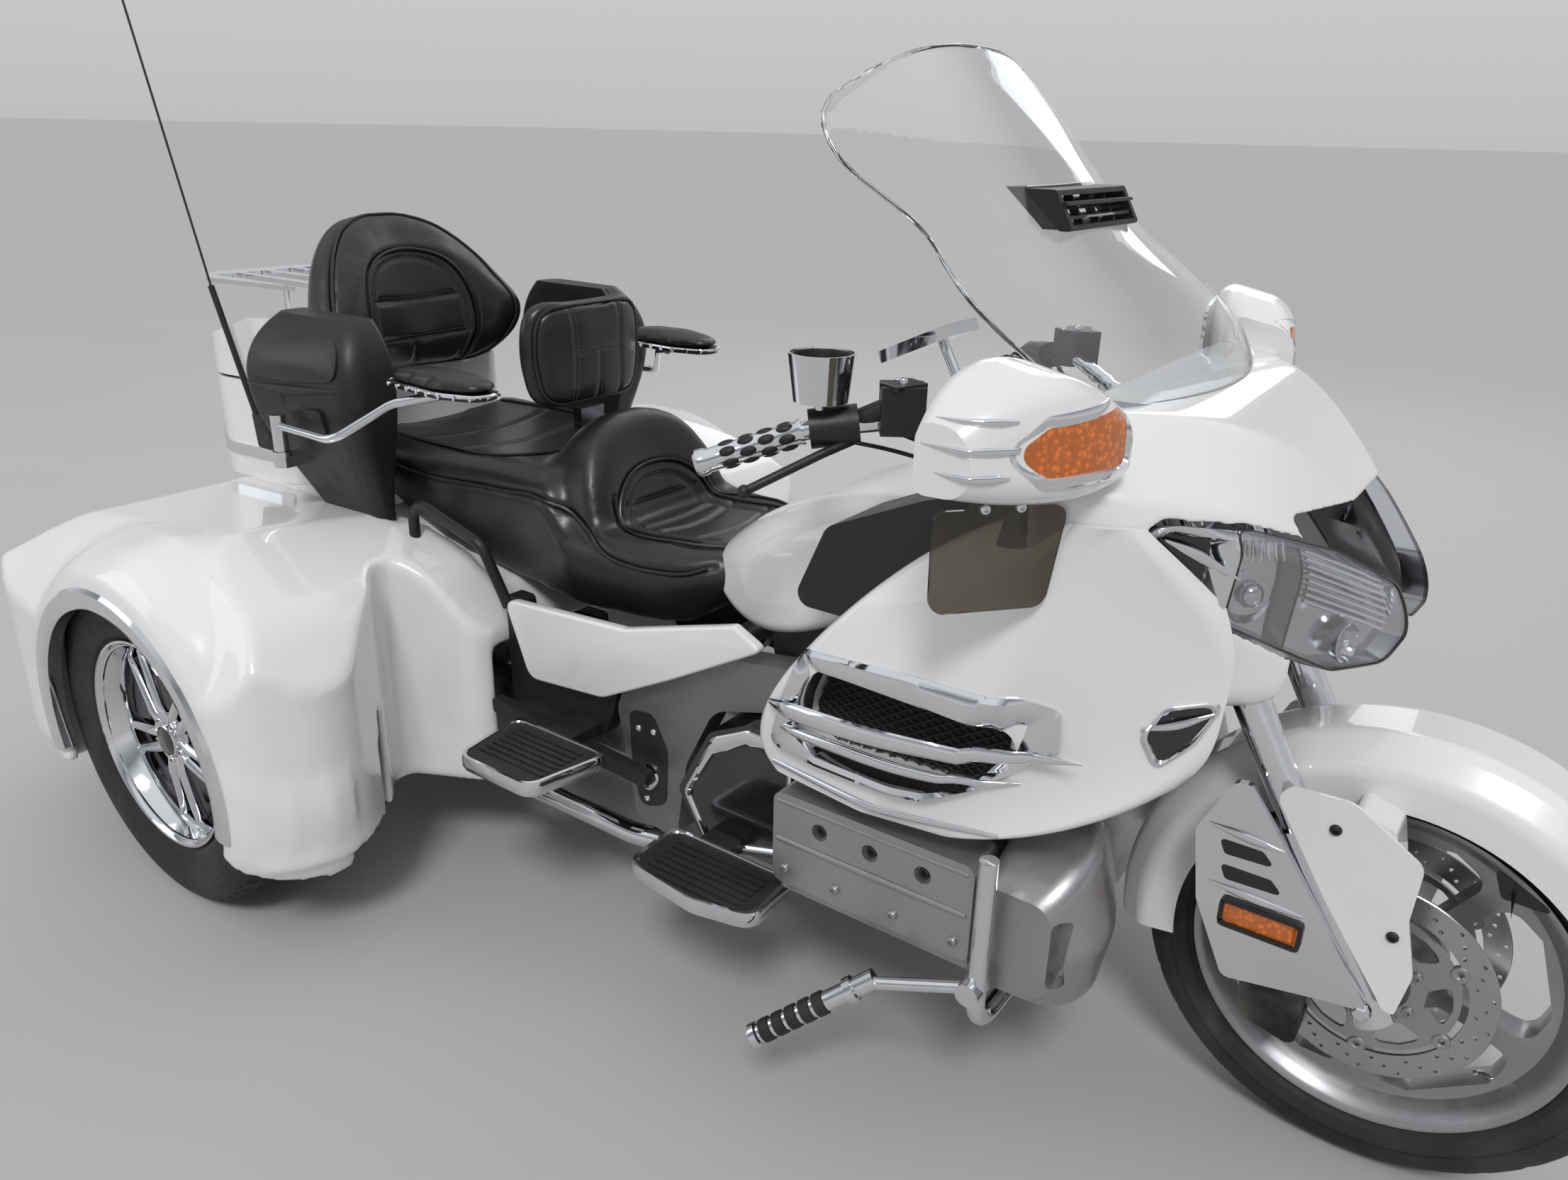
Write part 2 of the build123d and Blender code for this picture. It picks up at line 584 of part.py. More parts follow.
def lower_fairings():
    """White side fairings under the headlights, open at the vents."""
    fairing_side = side_fairing_form()
    fairing_side -= fairing_hull(-PIECE_GAP)
    fairing_side -= side_panel(VENT_ROWS, 250, 450)
    fairing_side -= front_prism([(150, 480, 5), (270, 480, 5), (262, 1000, 5), (150, 1000, 5)], -900, -100)
    write("lower_fairings", *both_sides(max(fairing_side.solids(), key=lambda s: s.volume)))
    frame_ring = side_panel(VENT_ROWS, 372, VENT_FACE + 8)
    inset = [(-715, 606, 12), (-688, 674, 12), (-440, 674, 24), (-434, 648, 12), (-490, 592, 20), (-682, 582, 12)]
    trim = frame_ring - side_panel(inset, 360, 420)
    for height in (634, 612):
        trim += Pos(-575, VENT_FACE - 4, height) * Rot(0, -2, 0) * Box(300, 18, 10)
    trim &= side_panel([(u + (1 if u > -570 else -1) * -0.4, v + (-0.4 if v > 630 else 0.4), r)
                        for u, v, r in VENT_ROWS], 360, 420)
    write("vent_trims", *both_sides(max(trim.solids(), key=lambda s: s.volume)))
    mesh = side_panel([(u * 1.0 + (4 if u < -570 else -4), v + (-4 if v > 630 else 4), r) for u, v, r in VENT_ROWS],
                      330, 336)
    write("vent_meshes", *both_sides(mesh))


SHIELD_STATIONS = [
    # z, x on the middle plane, x at the side edges, half width
    (1040, -306, -358, 250),
    (1075, -322, -396, 295),
    (1110, -348, -430, 342),
    (1150, -390, -480, 350),
    (1180, -428, -516, 350),
    (1230, -500, -584, 322),
    (1290, -566, -650, 330),
    (1340, -612, -706, 362),
    (1385, -654, -742, 338),
    (1430, -696, -750, 250),
    (1472, -729, -741, 110),
]
SHIELD_THICKNESS = 6.5
VENT_HALF = 118.0
VENT_LOW = 1248.0
VENT_HIGH = 1298.0


def windshield():
    """Clear shield with a waist, leaning back, and its vent."""
    faces = []
    for z, middle, edge, half in SHIELD_STATIONS:
        front = [(edge, -half, z), (middle, 0, z), (edge, half, z)]
        back = [(x - SHIELD_THICKNESS, y, z) for x, y, z in front]
        faces.append(make_face([ThreePointArc(*front), Line(front[2], back[2]), ThreePointArc(*back),
                                Line(back[0], front[0])]))
    shell = loft(faces) - fairing_hull(-PIECE_GAP)
    shell = max(shell.solids(), key=lambda s: s.volume)
    opening = block(-700, -440, -VENT_HALF, VENT_HALF, VENT_LOW, VENT_HIGH)
    write("windshield", max((shell - opening).solids(), key=lambda s: s.volume))
    low, high, half = VENT_LOW + PIECE_GAP, VENT_HIGH - PIECE_GAP, VENT_HALF - PIECE_GAP
    case = [(-514, low, 4), (-542, high, 4), (-612, high, 0), (-556, low, 0)]
    louvre = side_panel(case, -half, half)
    louvre -= block(-700, -440, -half + 10, half - 10, low + 7, high - 7)
    for height in (1264, 1281):
        louvre += side_panel([(u - 3, v, 0) for u, v in ((-522, height - 2), (-524, height + 2), (-548, height + 2),
                                                         (-546, height - 2))], -half + 5, half - 5)
    for y in (-54, 0, 54):
        louvre += side_panel([(-524, low + 3, 0), (-550, high - 3, 0), (-562, high - 3, 0), (-536, low + 3, 0)], y - 3, y + 3)
    write("windshield_vent", louvre)


def mirrors():
    """Mirror shells with amber lamps, chrome spears, glass and the smoked deflectors."""
    shell = sections_along_y([
        (345, [(-330, 1010, 20), (-330, 1090, 40), (-440, 1110, 30), (-440, 1000, 20)]),
        (430, [(-345, 1000, 30), (-360, 1125, 50), (-480, 1150, 30), (-480, 992, 20)]),
        (535, [(-420, 1012, 30), (-430, 1085, 40), (-490, 1090, 20), (-490, 1010, 15)]),
    ])
    closed = shell
    shell += side_panel([(-350, 1008, 10), (-350, 1062, 10), (-425, 1072, 10), (-425, 1008, 10)], 250, 360)
    shell -= fairing_hull(-PIECE_GAP)
    shell = max(shell.solids(), key=lambda s: s.volume)
    glass_pocket = front_prism([(370, 1012, 15), (526, 1018, 15), (522, 1080, 20), (430, 1130, 20), (370, 1110, 20)],
                               -530, -472)
    shell -= glass_pocket
    lamp_zone = front_prism([(352, 1030, 15), (470, 1032, 20), (500, 1060, 20), (465, 1085, 15), (352, 1096, 15)],
                            -420, -300)
    lamp = shell & lamp_zone
    lamp = max((lamp - Pos(-14, 0, 0) * shell).solids(), key=lambda s: s.volume)
    shell -= lamp
    write("mirror_shells", *both_sides(max(shell.solids(), key=lambda s: s.volume)))
    write("mirror_lamps", *both_sides(lamp))
    glass = front_prism([(374, 1016, 13), (522, 1021, 13), (518, 1077, 18), (430, 1126, 18), (374, 1107, 18)],
                        -478, -472.3)
    write("mirror_glass", *both_sides(glass))
    plate = Pos(-430, 440, 925) * Rot(0, 0, -50) * side_panel(
        [(-78, -62, 20), (62, -62, 20), (80, 58, 14), (40, 58, 4), (38, 100, 0), (-38, 100, 0), (-40, 58, 4),
         (-80, 58, 14)], -2.5, 2.5)
    plate -= Pos(0, 0, -PIECE_GAP) * closed
    plate = min(plate.solids(), key=lambda s: s.center().Z)
    write("wind_deflectors", *both_sides(plate))


def tank_form(grow):
    """Closed form of the tank shelter, grown by a clearance."""
    faces = []
    for x, low_half, low, top_half, top in [(-480, 110, 820, 150, 870), (-680, 190, 730, 200, 870),
                                            (-900, 196, 618, 190, 826), (-1060, 150, 640, 130, 726)]:
        rows = [(low_half + grow, low - grow, 20), (top_half + grow, top + grow, 80),
                (-top_half - grow, top + grow, 80), (-low_half - grow, low - grow, 20)]
        faces.append(outline(Plane.YZ.offset(x - (grow if x < -1000 else 0)), rows))
    return loft(faces)


SEAT_TOP = [(-1000, 722, 20), (-1100, 700, 60), (-1300, 690, 60), (-1390, 868, 30), (-1440, 850, 40),
            (-1520, 800, 60), (-1880, 794, 60), (-1965, 800, 10)]
SEAT_BOTTOM = [(-1965, 735, 10), (-1850, 690, 60), (-1540, 566, 60), (-1130, 566, 60), (-1030, 620, 40)]
SEAT_PLAN = [(-985, 120, 40), (-1120, 205, 80), (-1320, 232, 100), (-1500, 222, 80), (-1700, 262, 100),
             (-1965, 262, 40)]


def seat_form(grow):
    """Closed form of the seat, grown by a clearance: rider's dish, lumbar step and passenger's bench."""
    side = [(x, z + grow, r) for x, z, r in SEAT_TOP] + [(x, z - grow, r) for x, z, r in SEAT_BOTTOM]
    left = [(x, y + grow, r) for x, y, r in SEAT_PLAN]
    right = [(x, -y - grow, r) for x, y, r in reversed(SEAT_PLAN)]
    return side_panel(side, -300, 300) & top_slab(left + right, 500, 900)


def cockpit():
    """Dash, black inner panels, tank shelter."""
    dash = sections_along_x([
        (-385, [(400, 975, 20), (400, 1040, 30), (-400, 1040, 30), (-400, 975, 20)]),
        (-345, [(400, 965, 20), (400, 1030, 30), (-400, 1030, 30), (-400, 965, 20)]),
    ])
    dash -= block(-400, -359, -180, 180, 940, 1050)
    write("dash", dash & fairing_hull(FAIRING_WALL))
    write("tank_shelter", tank_form(0))
    pad = side_panel([(-800, 735, 20), (-745, 860, 30), (-600, 925, 30), (-440, 975, 20), (-425, 930, 10),
                      (-560, 850, 30), (-690, 735, 20)], 170, 304)
    pad = pad - tank_form(PIECE_GAP) - Pos(0, -PIECE_GAP, 0) * side_fairing_form()
    pad = max(pad.solids(), key=lambda s: s.volume)
    write("inner_panels", *both_sides(pad))


def seating():
    """Rider's and passenger's seat."""
    write("seat", seat_form(0) - tank_form(PIECE_GAP))


def covers():
    """White side covers, the black plastic behind them and the grab rails."""
    cover = side_panel([(-1500, 548, 20), (-1160, 540, 60), (-930, 640, 10), (-900, 622, 10), (-1140, 484, 60),
                        (-1430, 462, 30)], PLATE_OUTER + PIECE_GAP, 275)
    write("side_covers", *both_sides(cover))
    rear = side_panel([(BODY_FRONT + PIECE_GAP, 563, 5), (-1430, 563, 10), (-1415, 475, 20), (-1190, 480, 10),
                       (-1212, 400, 20), (-1240, 345, 20), (BODY_FRONT + PIECE_GAP, 340, 20)], 216, PLATE_OUTER)
    write("rear_side_panels", *both_sides(rear))
    rail = tube([(-1650, 300, 600), (-1650, 300, 722), (-1466, 300, 672), (-1450, 264, 550.3)], 10, [30, 30])
    rail = max((rail - Pos(0, 0, PIECE_GAP) * body_half()).solids(), key=lambda s: s.volume)
    write("grab_rails", *both_sides(rail))


CRASH_BAR_RADIUS = 13.0


def guards():
    """Crash bars, highway pegs, floorboards and exhaust pipes."""
    y = CRASH_BAR_Y
    route = [(-425, y, 502.7), (-425, y, 232), (-425, BLOCK_HALF - 100 + PIECE_GAP, 232)]
    bar = tube(route, CRASH_BAR_RADIUS, [50])
    arm = rod((-430, y, 300), (-560, y + 42, 270), 9) + rod((-430, y - 14, 300), (-430, y + 22, 300), 17)
    peg = rod((-560, y + 37, 275), (-700, y + 132, 165), 14)
    write("crash_bars", *both_sides(bar + arm + peg))
    rider = top_slab([(-1005, 330, 20), (-1000, 445, 30), (-860, 462, 60), (-760, 440, 30), (-770, 330, 20)], 268, 292)
    rider += block(-960, -900, SIDE_PANEL_FACE + PIECE_GAP, 335, 262, 286)
    passenger = top_slab([(-1370, 330, 20), (-1350, 480, 30), (-1180, 480, 30), (-1150, 330, 20)], 352, 376)
    passenger += side_panel([(-1470, 375, 8), (-1090, 345, 8), (-1100, 318, 8), (-1470, 345, 8)], 280, 300)
    passenger += block(-1300, -1240, PLATE_OUTER + PIECE_GAP, 335, 354, 376)
    write("floorboards", *both_sides(rider, passenger))
    pipe = tube([(-1000, 170, 150), (-1180, 240, 165), (-1450, 255, 180), (-1700, 250, 165)], 20, [120, 200])
    pipe += block(-1125, -1095, PLATE_INNER - 11, PLATE_INNER - PIECE_GAP, 150, 245)
    write("exhaust_pipes", *both_sides(pipe))


def rear_axle():
    """Differential housing, axle tubes and the spindles that carry the rear wheels."""
    end = REAR_RIM_FACE - 112
    housing = ring((REAR_AXLE_X, REAR_AXLE_Z), AXLE_HOUSING_RADIUS, -end + 4, end - 4)
    housing += ring((REAR_AXLE_X, REAR_AXLE_Z), 118, -75, 75)
    x, z, radius = CROSS_TUBES[0]
    for side in (-1, 1):
        arm = block(REAR_AXLE_X, x, *sorted((side * 120, side * 170)), z - 30, z + 30)
        housing += arm - ring((x, z), radius + PIECE_GAP, -200, 200)
    housing += ring((REAR_AXLE_X, REAR_AXLE_Z), SPINDLE_RADIUS, -REAR_RIM_FACE + 30, REAR_RIM_FACE - 30)
    write("rear_axle", housing)


BODY_PLAN = [(BODY_FRONT, 0, 0), (BODY_FRONT, 320, 60), (-1640, FENDER_HALF_WIDTH - 375, 120),
             (-1560, FENDER_HALF_WIDTH - 305, 60), (-1455, FENDER_HALF_WIDTH - 165, 120),
             (-1540, FENDER_HALF_WIDTH - 15, 120), (-1900, FENDER_HALF_WIDTH, 200),
             (-2330, FENDER_HALF_WIDTH - 30, 200), (BODY_REAR, FENDER_HALF_WIDTH - 155, 180), (BODY_REAR, 0, 0)]
BODY_SIDE = [(-1430, 200, 20), (-1410, 420, 100), (-1560, 620, 160), (-1800, BODY_DECK + 14, 200),
             (-2150, BODY_DECK - 8, 200), (-2380, 565, 160), (BODY_REAR - 10, 410, 120), (BODY_REAR - 20, 200, 60)]
BODY_FRONT_VIEW = [(0, 190, 0), (FENDER_HALF_WIDTH - 35, 190, 20), (FENDER_HALF_WIDTH, 300, 60),
                   (FENDER_HALF_WIDTH, 470, 160), (FENDER_HALF_WIDTH - 135, BODY_DECK + 14, 140), (320, BODY_DECK - 10, 100), (300, TRUNK_FLOOR, 10), (0, TRUNK_FLOOR, 0)]
DOOR_X = -2480.0
DOOR_LOW, DOOR_HIGH = 262.0, 440.0
DOOR_HALF = FENDER_HALF_WIDTH - 375
DOOR_ROWS = [(0, DOOR_LOW, 0), (DOOR_HALF, DOOR_LOW, 40), (DOOR_HALF, DOOR_HIGH, 40), (0, DOOR_HIGH, 0)]
DOOR_HINGE = (-2506.0, 432.0)
HINGE_EAR = (292.0, 308.0)
HINGE_PIN = 4.0
LAMP_INNER, LAMP_OUTER = FENDER_HALF_WIDTH - 215, FENDER_HALF_WIDTH - 75
LAMP_ROWS = [(LAMP_INNER, 330, 20), (LAMP_OUTER, 330, 20), (LAMP_OUTER, 430, 20), (LAMP_INNER, 430, 20)]


def body_half():
    """Left half of the rear body before its openings are cut."""
    return top_slab(BODY_PLAN, 150, 760) & side_panel(BODY_SIDE, 0, FENDER_HALF_WIDTH + 25) & front_prism(BODY_FRONT_VIEW, -2700, -1400)


def wheel_space(radius, y_low, y_high):
    """Space over a rear wheel, open below."""
    space = ring((REAR_AXLE_X, REAR_AXLE_Z), radius, y_low, y_high)
    return space + block(REAR_AXLE_X - radius, REAR_AXLE_X + radius, y_low, y_high, 100, REAR_AXLE_Z)


def trike_body():
    """Wide rear body: fenders with wheel wells, an enclosed boot and its door."""
    whole = body_half()
    edge = FENDER_HALF_WIDTH
    half = whole - wheel_space(WELL_RADIUS, edge - 295, edge - 23) - wheel_space(ARCH_RADIUS, edge - 75, edge + 45)
    half -= block(-2030, -1750, -1, edge - 355, 100, 470) + block(-1760, -1300, -1, 288, 100, 470)
    half -= block(DOOR_X, -2240, -1, edge - 345, 240, 480)
    door_zone = front_prism(DOOR_ROWS, -2700, DOOR_X - 0.3)
    grown = [(u if u == 0 else u + MOVING_GAP, v + (2 * MOVING_GAP if v > 400 else -MOVING_GAP), r)
             for u, v, r in DOOR_ROWS]
    half -= front_prism(grown, -2700, DOOR_X + 1)
    x, z = DOOR_HINGE
    ear = side_panel([(x - 9, z - 8, 3), (x + 9, z - 8, 3), (x + 38, z + 38, 0), (x + 18, z + 30, 0)], *HINGE_EAR)
    ear -= ring((x, z), HINGE_PIN + RUNNING_FIT, 280, 320)
    lamp = whole & front_prism(LAMP_ROWS, -2700, -2440)
    lamp -= Pos(24, 0, 0) * whole
    lamp = max(lamp.solids(), key=lambda s: s.volume)
    half -= lamp
    half -= ring((REAR_AXLE_X, REAR_AXLE_Z), AXLE_HOUSING_RADIUS + 8, edge - 375, edge - 275)
    half -= seat_form(PIECE_GAP)
    half = max(half.solids(), key=lambda s: s.volume) + ear
    write("trike_body", half + mirrored(half))
    write("tail_lamps", *both_sides(lamp, trunk_lens()))
    lid = whole & door_zone
    lid -= block(-2700, DOOR_X + 20, HINGE_EAR[0] - MOVING_GAP, HINGE_EAR[1] + MOVING_GAP, z - 14, 500)
    lid += ring((x, z), HINGE_PIN, HINGE_EAR[0] - 12, HINGE_EAR[1] + 12)
    write("boot_lid", lid + mirrored(lid))
    lip = ring((REAR_AXLE_X, REAR_AXLE_Z), ARCH_RADIUS + 10, edge - 85, edge + 25, ARCH_RADIUS - 4) & Pos(0, LIP_PROUD, 0) * whole
    lip -= Pos(0, PIECE_GAP, 0) * whole
    lip &= block(-2300, -1500, edge - 85, edge + 25, REAR_AXLE_Z, 700)
    lip -= ring((REAR_AXLE_X, REAR_AXLE_Z), REAR_TYRE_RADIUS + MOVING_GAP, edge - 275, REAR_TYRE_OUTER + MOVING_GAP)
    lip = max(lip.solids(), key=lambda s: s.volume)
    write("bright_trims", *both_sides(lip), trunk_strip())


def trunk_plan(inset):
    """Top-view outline of the trunk, drawn in by an inset."""
    half = TRUNK_HALF_WIDTH - inset
    rear, front = TRUNK_REAR + inset, TRUNK_FRONT - inset
    return [(front, -half + 20, 60 - inset), (-2250, -half, 120 - inset), (rear, -half + 120, 100 - inset),
            (rear, half - 120, 100 - inset), (-2250, half, 120 - inset), (front, half - 20, 60 - inset)]


def lid_side(inset):
    """Side outline of the trunk lid, drawn in by an inset."""
    low = TRUNK_SPLIT + LID_SEAM - (20 if inset else 0)
    top = LID_TOP - inset
    return [(TRUNK_FRONT + 10, low, 0), (TRUNK_FRONT + 10, top, 0), (-2120, top - 4, 60),
            (TRUNK_REAR + inset, top - 110, 60), (TRUNK_REAR + inset - 10 * (not inset), low, 0)]


def lens_zone():
    """Space of the left trunk tail lens, round the rear corner."""
    zone = top_slab([(-2290, 200, 0), (-2290, 340, 0), (-2460, 340, 0), (-2460, 160, 0)], TRUNK_SPLIT - 113, TRUNK_SPLIT - 4)
    low, high = TRUNK_SPLIT - 168, TRUNK_SPLIT + 32
    return zone & (top_slab(trunk_plan(-1), low, high) - top_slab(trunk_plan(4), low - 10, high + 10))


def trunk_lens():
    """Left tail lens, flush with the trunk's wall."""
    lens = lens_zone() & top_slab(trunk_plan(0), TRUNK_SPLIT - 168, TRUNK_SPLIT + 32)
    return max(lens.solids(), key=lambda s: s.volume)


def trunk_strip():
    """Bright strip round the sides and back of the trunk."""
    low, high = TRUNK_SPLIT - 156, TRUNK_SPLIT - 134
    strip = top_slab(trunk_plan(-5), low, high) - top_slab(trunk_plan(0), low - 10, high + 10)
    strip &= block(-2500, -2060, -400, 400, low, high)
    return max(strip.solids(), key=lambda s: s.volume)


def trunk():
    """Travel trunk: shell, lid, rack and passenger backrest."""
    wall = TRUNK_WALL
    floor = TRUNK_FLOOR + PIECE_GAP
    shell = top_slab(trunk_plan(0), floor, TRUNK_SPLIT) - top_slab(trunk_plan(wall), floor + wall, TRUNK_SPLIT + 10)
    shell = shell - lens_zone() - mirrored(lens_zone())
    shell = max(shell.solids(), key=lambda s: s.volume)
    x, z = TRUNK_HINGE
    eye = block(TRUNK_FRONT - 5, x + 9, 112, 140, z - 24, z - 4) + ring((x, z), 9, 112, 140)
    eye -= ring((x, z), HINGE_PIN + RUNNING_FIT, 100, 150)
    write("trunk_shell", shell + eye + mirrored(eye))
    outer = top_slab(trunk_plan(0), TRUNK_SPLIT + LID_SEAM, LID_TOP) & side_panel(lid_side(0), -400, 400)
    inner = top_slab(trunk_plan(wall), TRUNK_SPLIT, LID_TOP) & side_panel(lid_side(wall), -400, 400)
    knuckle = block(TRUNK_FRONT - 2, x + 8, 146, 164, z, LID_TOP - 110.3) + ring((x, z), 8, 146, 164)
    knuckle += ring((x, z), HINGE_PIN, 104, 150)
    write("trunk_lid", outer - inner + knuckle + mirrored(knuckle))
    rack = top_slab([(-2130, -120, 40), (-2130, 120, 40), (-2480, 170, 60), (RACK_REAR, 110, 40), (RACK_REAR, -110, 40),
                     (-2480, -170, 60)], RACK_TOP - 10, RACK_TOP)
    for y in (-105, -35, 35, 105):
        rack -= top_slab([(-2160, y - 25, 12), (-2160, y + 25, 12), (-2500, y + 25, 12), (-2500, y - 25, 12)],
                         RACK_TOP - 34, RACK_TOP + 6)
    for x, y in ((-2170, 70), (-2330, 70), (-2170, -70), (-2330, -70)):
        rack += rod((x, y, LID_TOP - 70), (x, y, RACK_TOP - 8), 8)
    write("luggage_rack", rack - outer)
    band = top_slab([(-2110, -110, 60), (-1970, -268, 60), (-1862, -262, 20), (-1882, -200, 60), (-1985, -90, 60),
                     (-1985, 90, 60), (-1882, 200, 60), (-1862, 262, 20), (-1970, 268, 60), (-2110, 110, 60)],
                    LID_TOP - 150, LID_TOP + 250)
    half_bell = [(120, 200, 90), (245, 110, 90), (258, 0, 90), (185, -110, 30)]
    bell = front_prism([(side * y, LID_TOP + z, r) for side, rows in ((1, half_bell), (-1, half_bell[::-1]))
                        for y, z, r in rows], -2200, -1800)
    pad = (band & bell) - block(-2300, TRUNK_FRONT + PIECE_GAP, -400, 400, LID_TOP - 200, LID_TOP + PIECE_GAP)
    write("passenger_backrest", max(pad.solids(), key=lambda s: s.volume))


def pods():
    """Side pods, armrests on their pivots, and the antenna."""
    stations = [
        # z, rear, front, inner, outer
        (640, -1850, -1705, 288, 330), (800, -1955, -1690, 288, 380), (930, -1985, -1672, 288, 400),
        (1035, -1930, -1720, 288, 350),
    ]
    faces = []
    for z, rear, front, inner, outer in stations:
        rows = [(rear, inner, 10), (rear, outer, 30), (front, outer - 10, 40), (front, inner, 10)]
        faces.append(outline(Plane.XY.offset(z), rows))
    pod = loft(faces)
    pod -= rod((-1857, 415, 740), (-1857, 415, 900), 22)
    pod = max((pod - Pos(0, 0, PIECE_GAP) * body_half()).solids(), key=lambda s: s.volume)
    write("side_pods", *both_sides(pod))
    for name, side in (("right", -1), ("left", 1)):
        post = rod((-1857, side * 415, 800), (-1857, side * 415, 866), 13)
        post += rod((-1857, side * 415, 784), (-1857, side * 415, 801), 8)
        arm = tube([(-1857, side * 415, 846), (-1690, side * 420, 846), (-1618, side * 345, 908),
                    (-1550, side * 296, 924)], 8, [50, 60])
        write(f"armrest_arm_{name}", post + arm)
        low, high = sorted((side * 246, side * 342))
        pad = top_slab([(-1662, low + 15, 30), (-1662, high - 15, 30), (-1500, high, 60), (-1420, high - 20, 40),
                        (-1420, low + 20, 40), (-1500, low, 60)], 932.3, 966)
        write(f"armrest_pad_{name}", pad)
    bracket = rod((-1857, 415, 770), (-1857, 415, 799), 16) + block(-1875, -1840, 370, 420, 770, 790)
    bracket -= rod((-1857, 415, 780), (-1857, 415, 810), 8 + RUNNING_FIT)
    write("pad_brackets", *both_sides(bracket - pod), rider_post())
    fin = side_panel([(-2125, 822, 6), (-2045, 742, 10), (-2115, 742, 6)], -310, -270)
    fin -= top_slab(trunk_plan(-PIECE_GAP), 700, 900)
    whip = rod((-2112, -303, 790), (-2180, -322, 1055), 6) + rod((-2179, -322, 1052), (-2390, -330, 1800), 2.2)
    write("antenna", fin + whip)


def rider_backrest():
    """Rider's backrest pad on its post."""
    pad = sections_along_x([
        (-1525, [(135, 880, 40), (145, 1060, 50), (-145, 1060, 50), (-135, 880, 40)]),
        (-1495, [(150, 866, 40), (158, 1078, 50), (-158, 1078, 50), (-150, 866, 40)]),
        (-1452, [(130, 886, 40), (138, 1056, 50), (-138, 1056, 50), (-130, 886, 40)]),
    ])
    write("rider_backrest", pad)


def rider_post():
    """Post that carries the rider's backrest out of the seat."""
    post = block(-1500, -1480, -30, 30, 780, 865.7) - seat_form(PIECE_GAP)
    return max(post.solids(), key=lambda s: s.volume)


def build():
    """Write every node."""
    front_wheel()
    rear_wheel("right", -1)
    rear_wheel("left", 1)
    fork()
    fork_guards()
    front_fender()
    calipers()
    handlebar()
    controls()
    bar_fittings()
    frame()
    engine()
    fairing()
    lower_fairings()
    windshield()
    mirrors()
    cockpit()
    seating()
    covers()
    guards()
    rear_axle()
    trike_body()
    trunk()
    pods()
    rider_backrest()


build()
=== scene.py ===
"""Looks of a three-wheeled touring motorcycle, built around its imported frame.

Sizes are in metres. Builders lay pieces out from the front axle: +X forward, +Y left, +Z up, the ground at
z = 0. Every mesh is shifted along X by AXLE_X when it is made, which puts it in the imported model's frame.
"""
import logging
from collections.abc import Callable, Iterable, Sequence
from dataclasses import dataclass, field
from enum import Enum
from math import cos, exp, hypot, pi, radians, sin, sqrt, tan
from typing import Any

import bmesh
import bpy
import numpy as np
from mathutils import Matrix, Vector
from mathutils.bvhtree import BVHTree
from mathutils.kdtree import KDTree


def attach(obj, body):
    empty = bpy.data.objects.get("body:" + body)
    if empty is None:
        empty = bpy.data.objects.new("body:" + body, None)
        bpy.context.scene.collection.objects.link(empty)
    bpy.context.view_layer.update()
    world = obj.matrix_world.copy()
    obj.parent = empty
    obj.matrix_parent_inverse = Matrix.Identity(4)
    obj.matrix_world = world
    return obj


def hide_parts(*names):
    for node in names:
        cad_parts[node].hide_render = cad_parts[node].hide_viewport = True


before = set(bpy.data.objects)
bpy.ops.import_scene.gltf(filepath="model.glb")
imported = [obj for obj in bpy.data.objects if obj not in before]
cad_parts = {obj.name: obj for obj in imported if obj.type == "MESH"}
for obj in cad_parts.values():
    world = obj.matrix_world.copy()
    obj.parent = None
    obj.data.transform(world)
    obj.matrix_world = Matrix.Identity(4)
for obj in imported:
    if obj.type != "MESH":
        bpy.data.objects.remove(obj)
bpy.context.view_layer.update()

AXLE_X = 1.1185
log = logging.getLogger("touring trike")
Point = Sequence[float]
Row = Sequence[Point]


class Body(Enum):
    """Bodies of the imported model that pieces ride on."""

    CHASSIS = "chassis"
    STEERING = "steering"
    FRONT_WHEEL = "front_wheel"
    REAR_LEFT = "rear_wheel_left"
    REAR_RIGHT = "rear_wheel_right"
    TRUNK_LID = "trunk_lid"
    BOOT_LID = "boot_lid"
    ARM_LEFT = "armrest_left"
    ARM_RIGHT = "armrest_right"


class Signal:
    """A shader socket whose Python operators add Math nodes."""

    def __init__(self, bench: "Bench", socket: bpy.types.NodeSocket) -> None:
        """Keep the bench that owns the nodes and the socket that carries the value."""
        self.bench = bench
        self.socket = socket

    def _math(self, operation: str, first: Any, second: Any) -> "Signal":
        """Add one Math node.

        Args:
            operation: The Math node's operation.
            first: Value or signal of the first input.
            second: Value or signal of the second input.

        Returns:
            The node's result.
        """
        return self.bench.node("ShaderNodeMath", {"operation": operation}, {0: first, 1: second})

    def __add__(self, other: Any) -> "Signal":
        """Sum."""
        return self._math("ADD", self, other)

    def __radd__(self, other: Any) -> "Signal":
        """Sum with a number on the left."""
        return self._math("ADD", other, self)

    def __sub__(self, other: Any) -> "Signal":
        """Difference."""
        return self._math("SUBTRACT", self, other)

    def __rsub__(self, other: Any) -> "Signal":
        """Difference with a number on the left."""
        return self._math("SUBTRACT", other, self)

    def __mul__(self, other: Any) -> "Signal":
        """Product."""
        return self._math("MULTIPLY", self, other)

    def __rmul__(self, other: Any) -> "Signal":
        """Product with a number on the left."""
        return self._math("MULTIPLY", other, self)

    def between(self, low: float, high: float) -> "Signal":
        """Smooth step from 0 at low to 1 at high."""
        return self.bench.node(
            "ShaderNodeMapRange", {"interpolation_type": "SMOOTHSTEP"},
            {"Value": self, "From Min": low, "From Max": high})


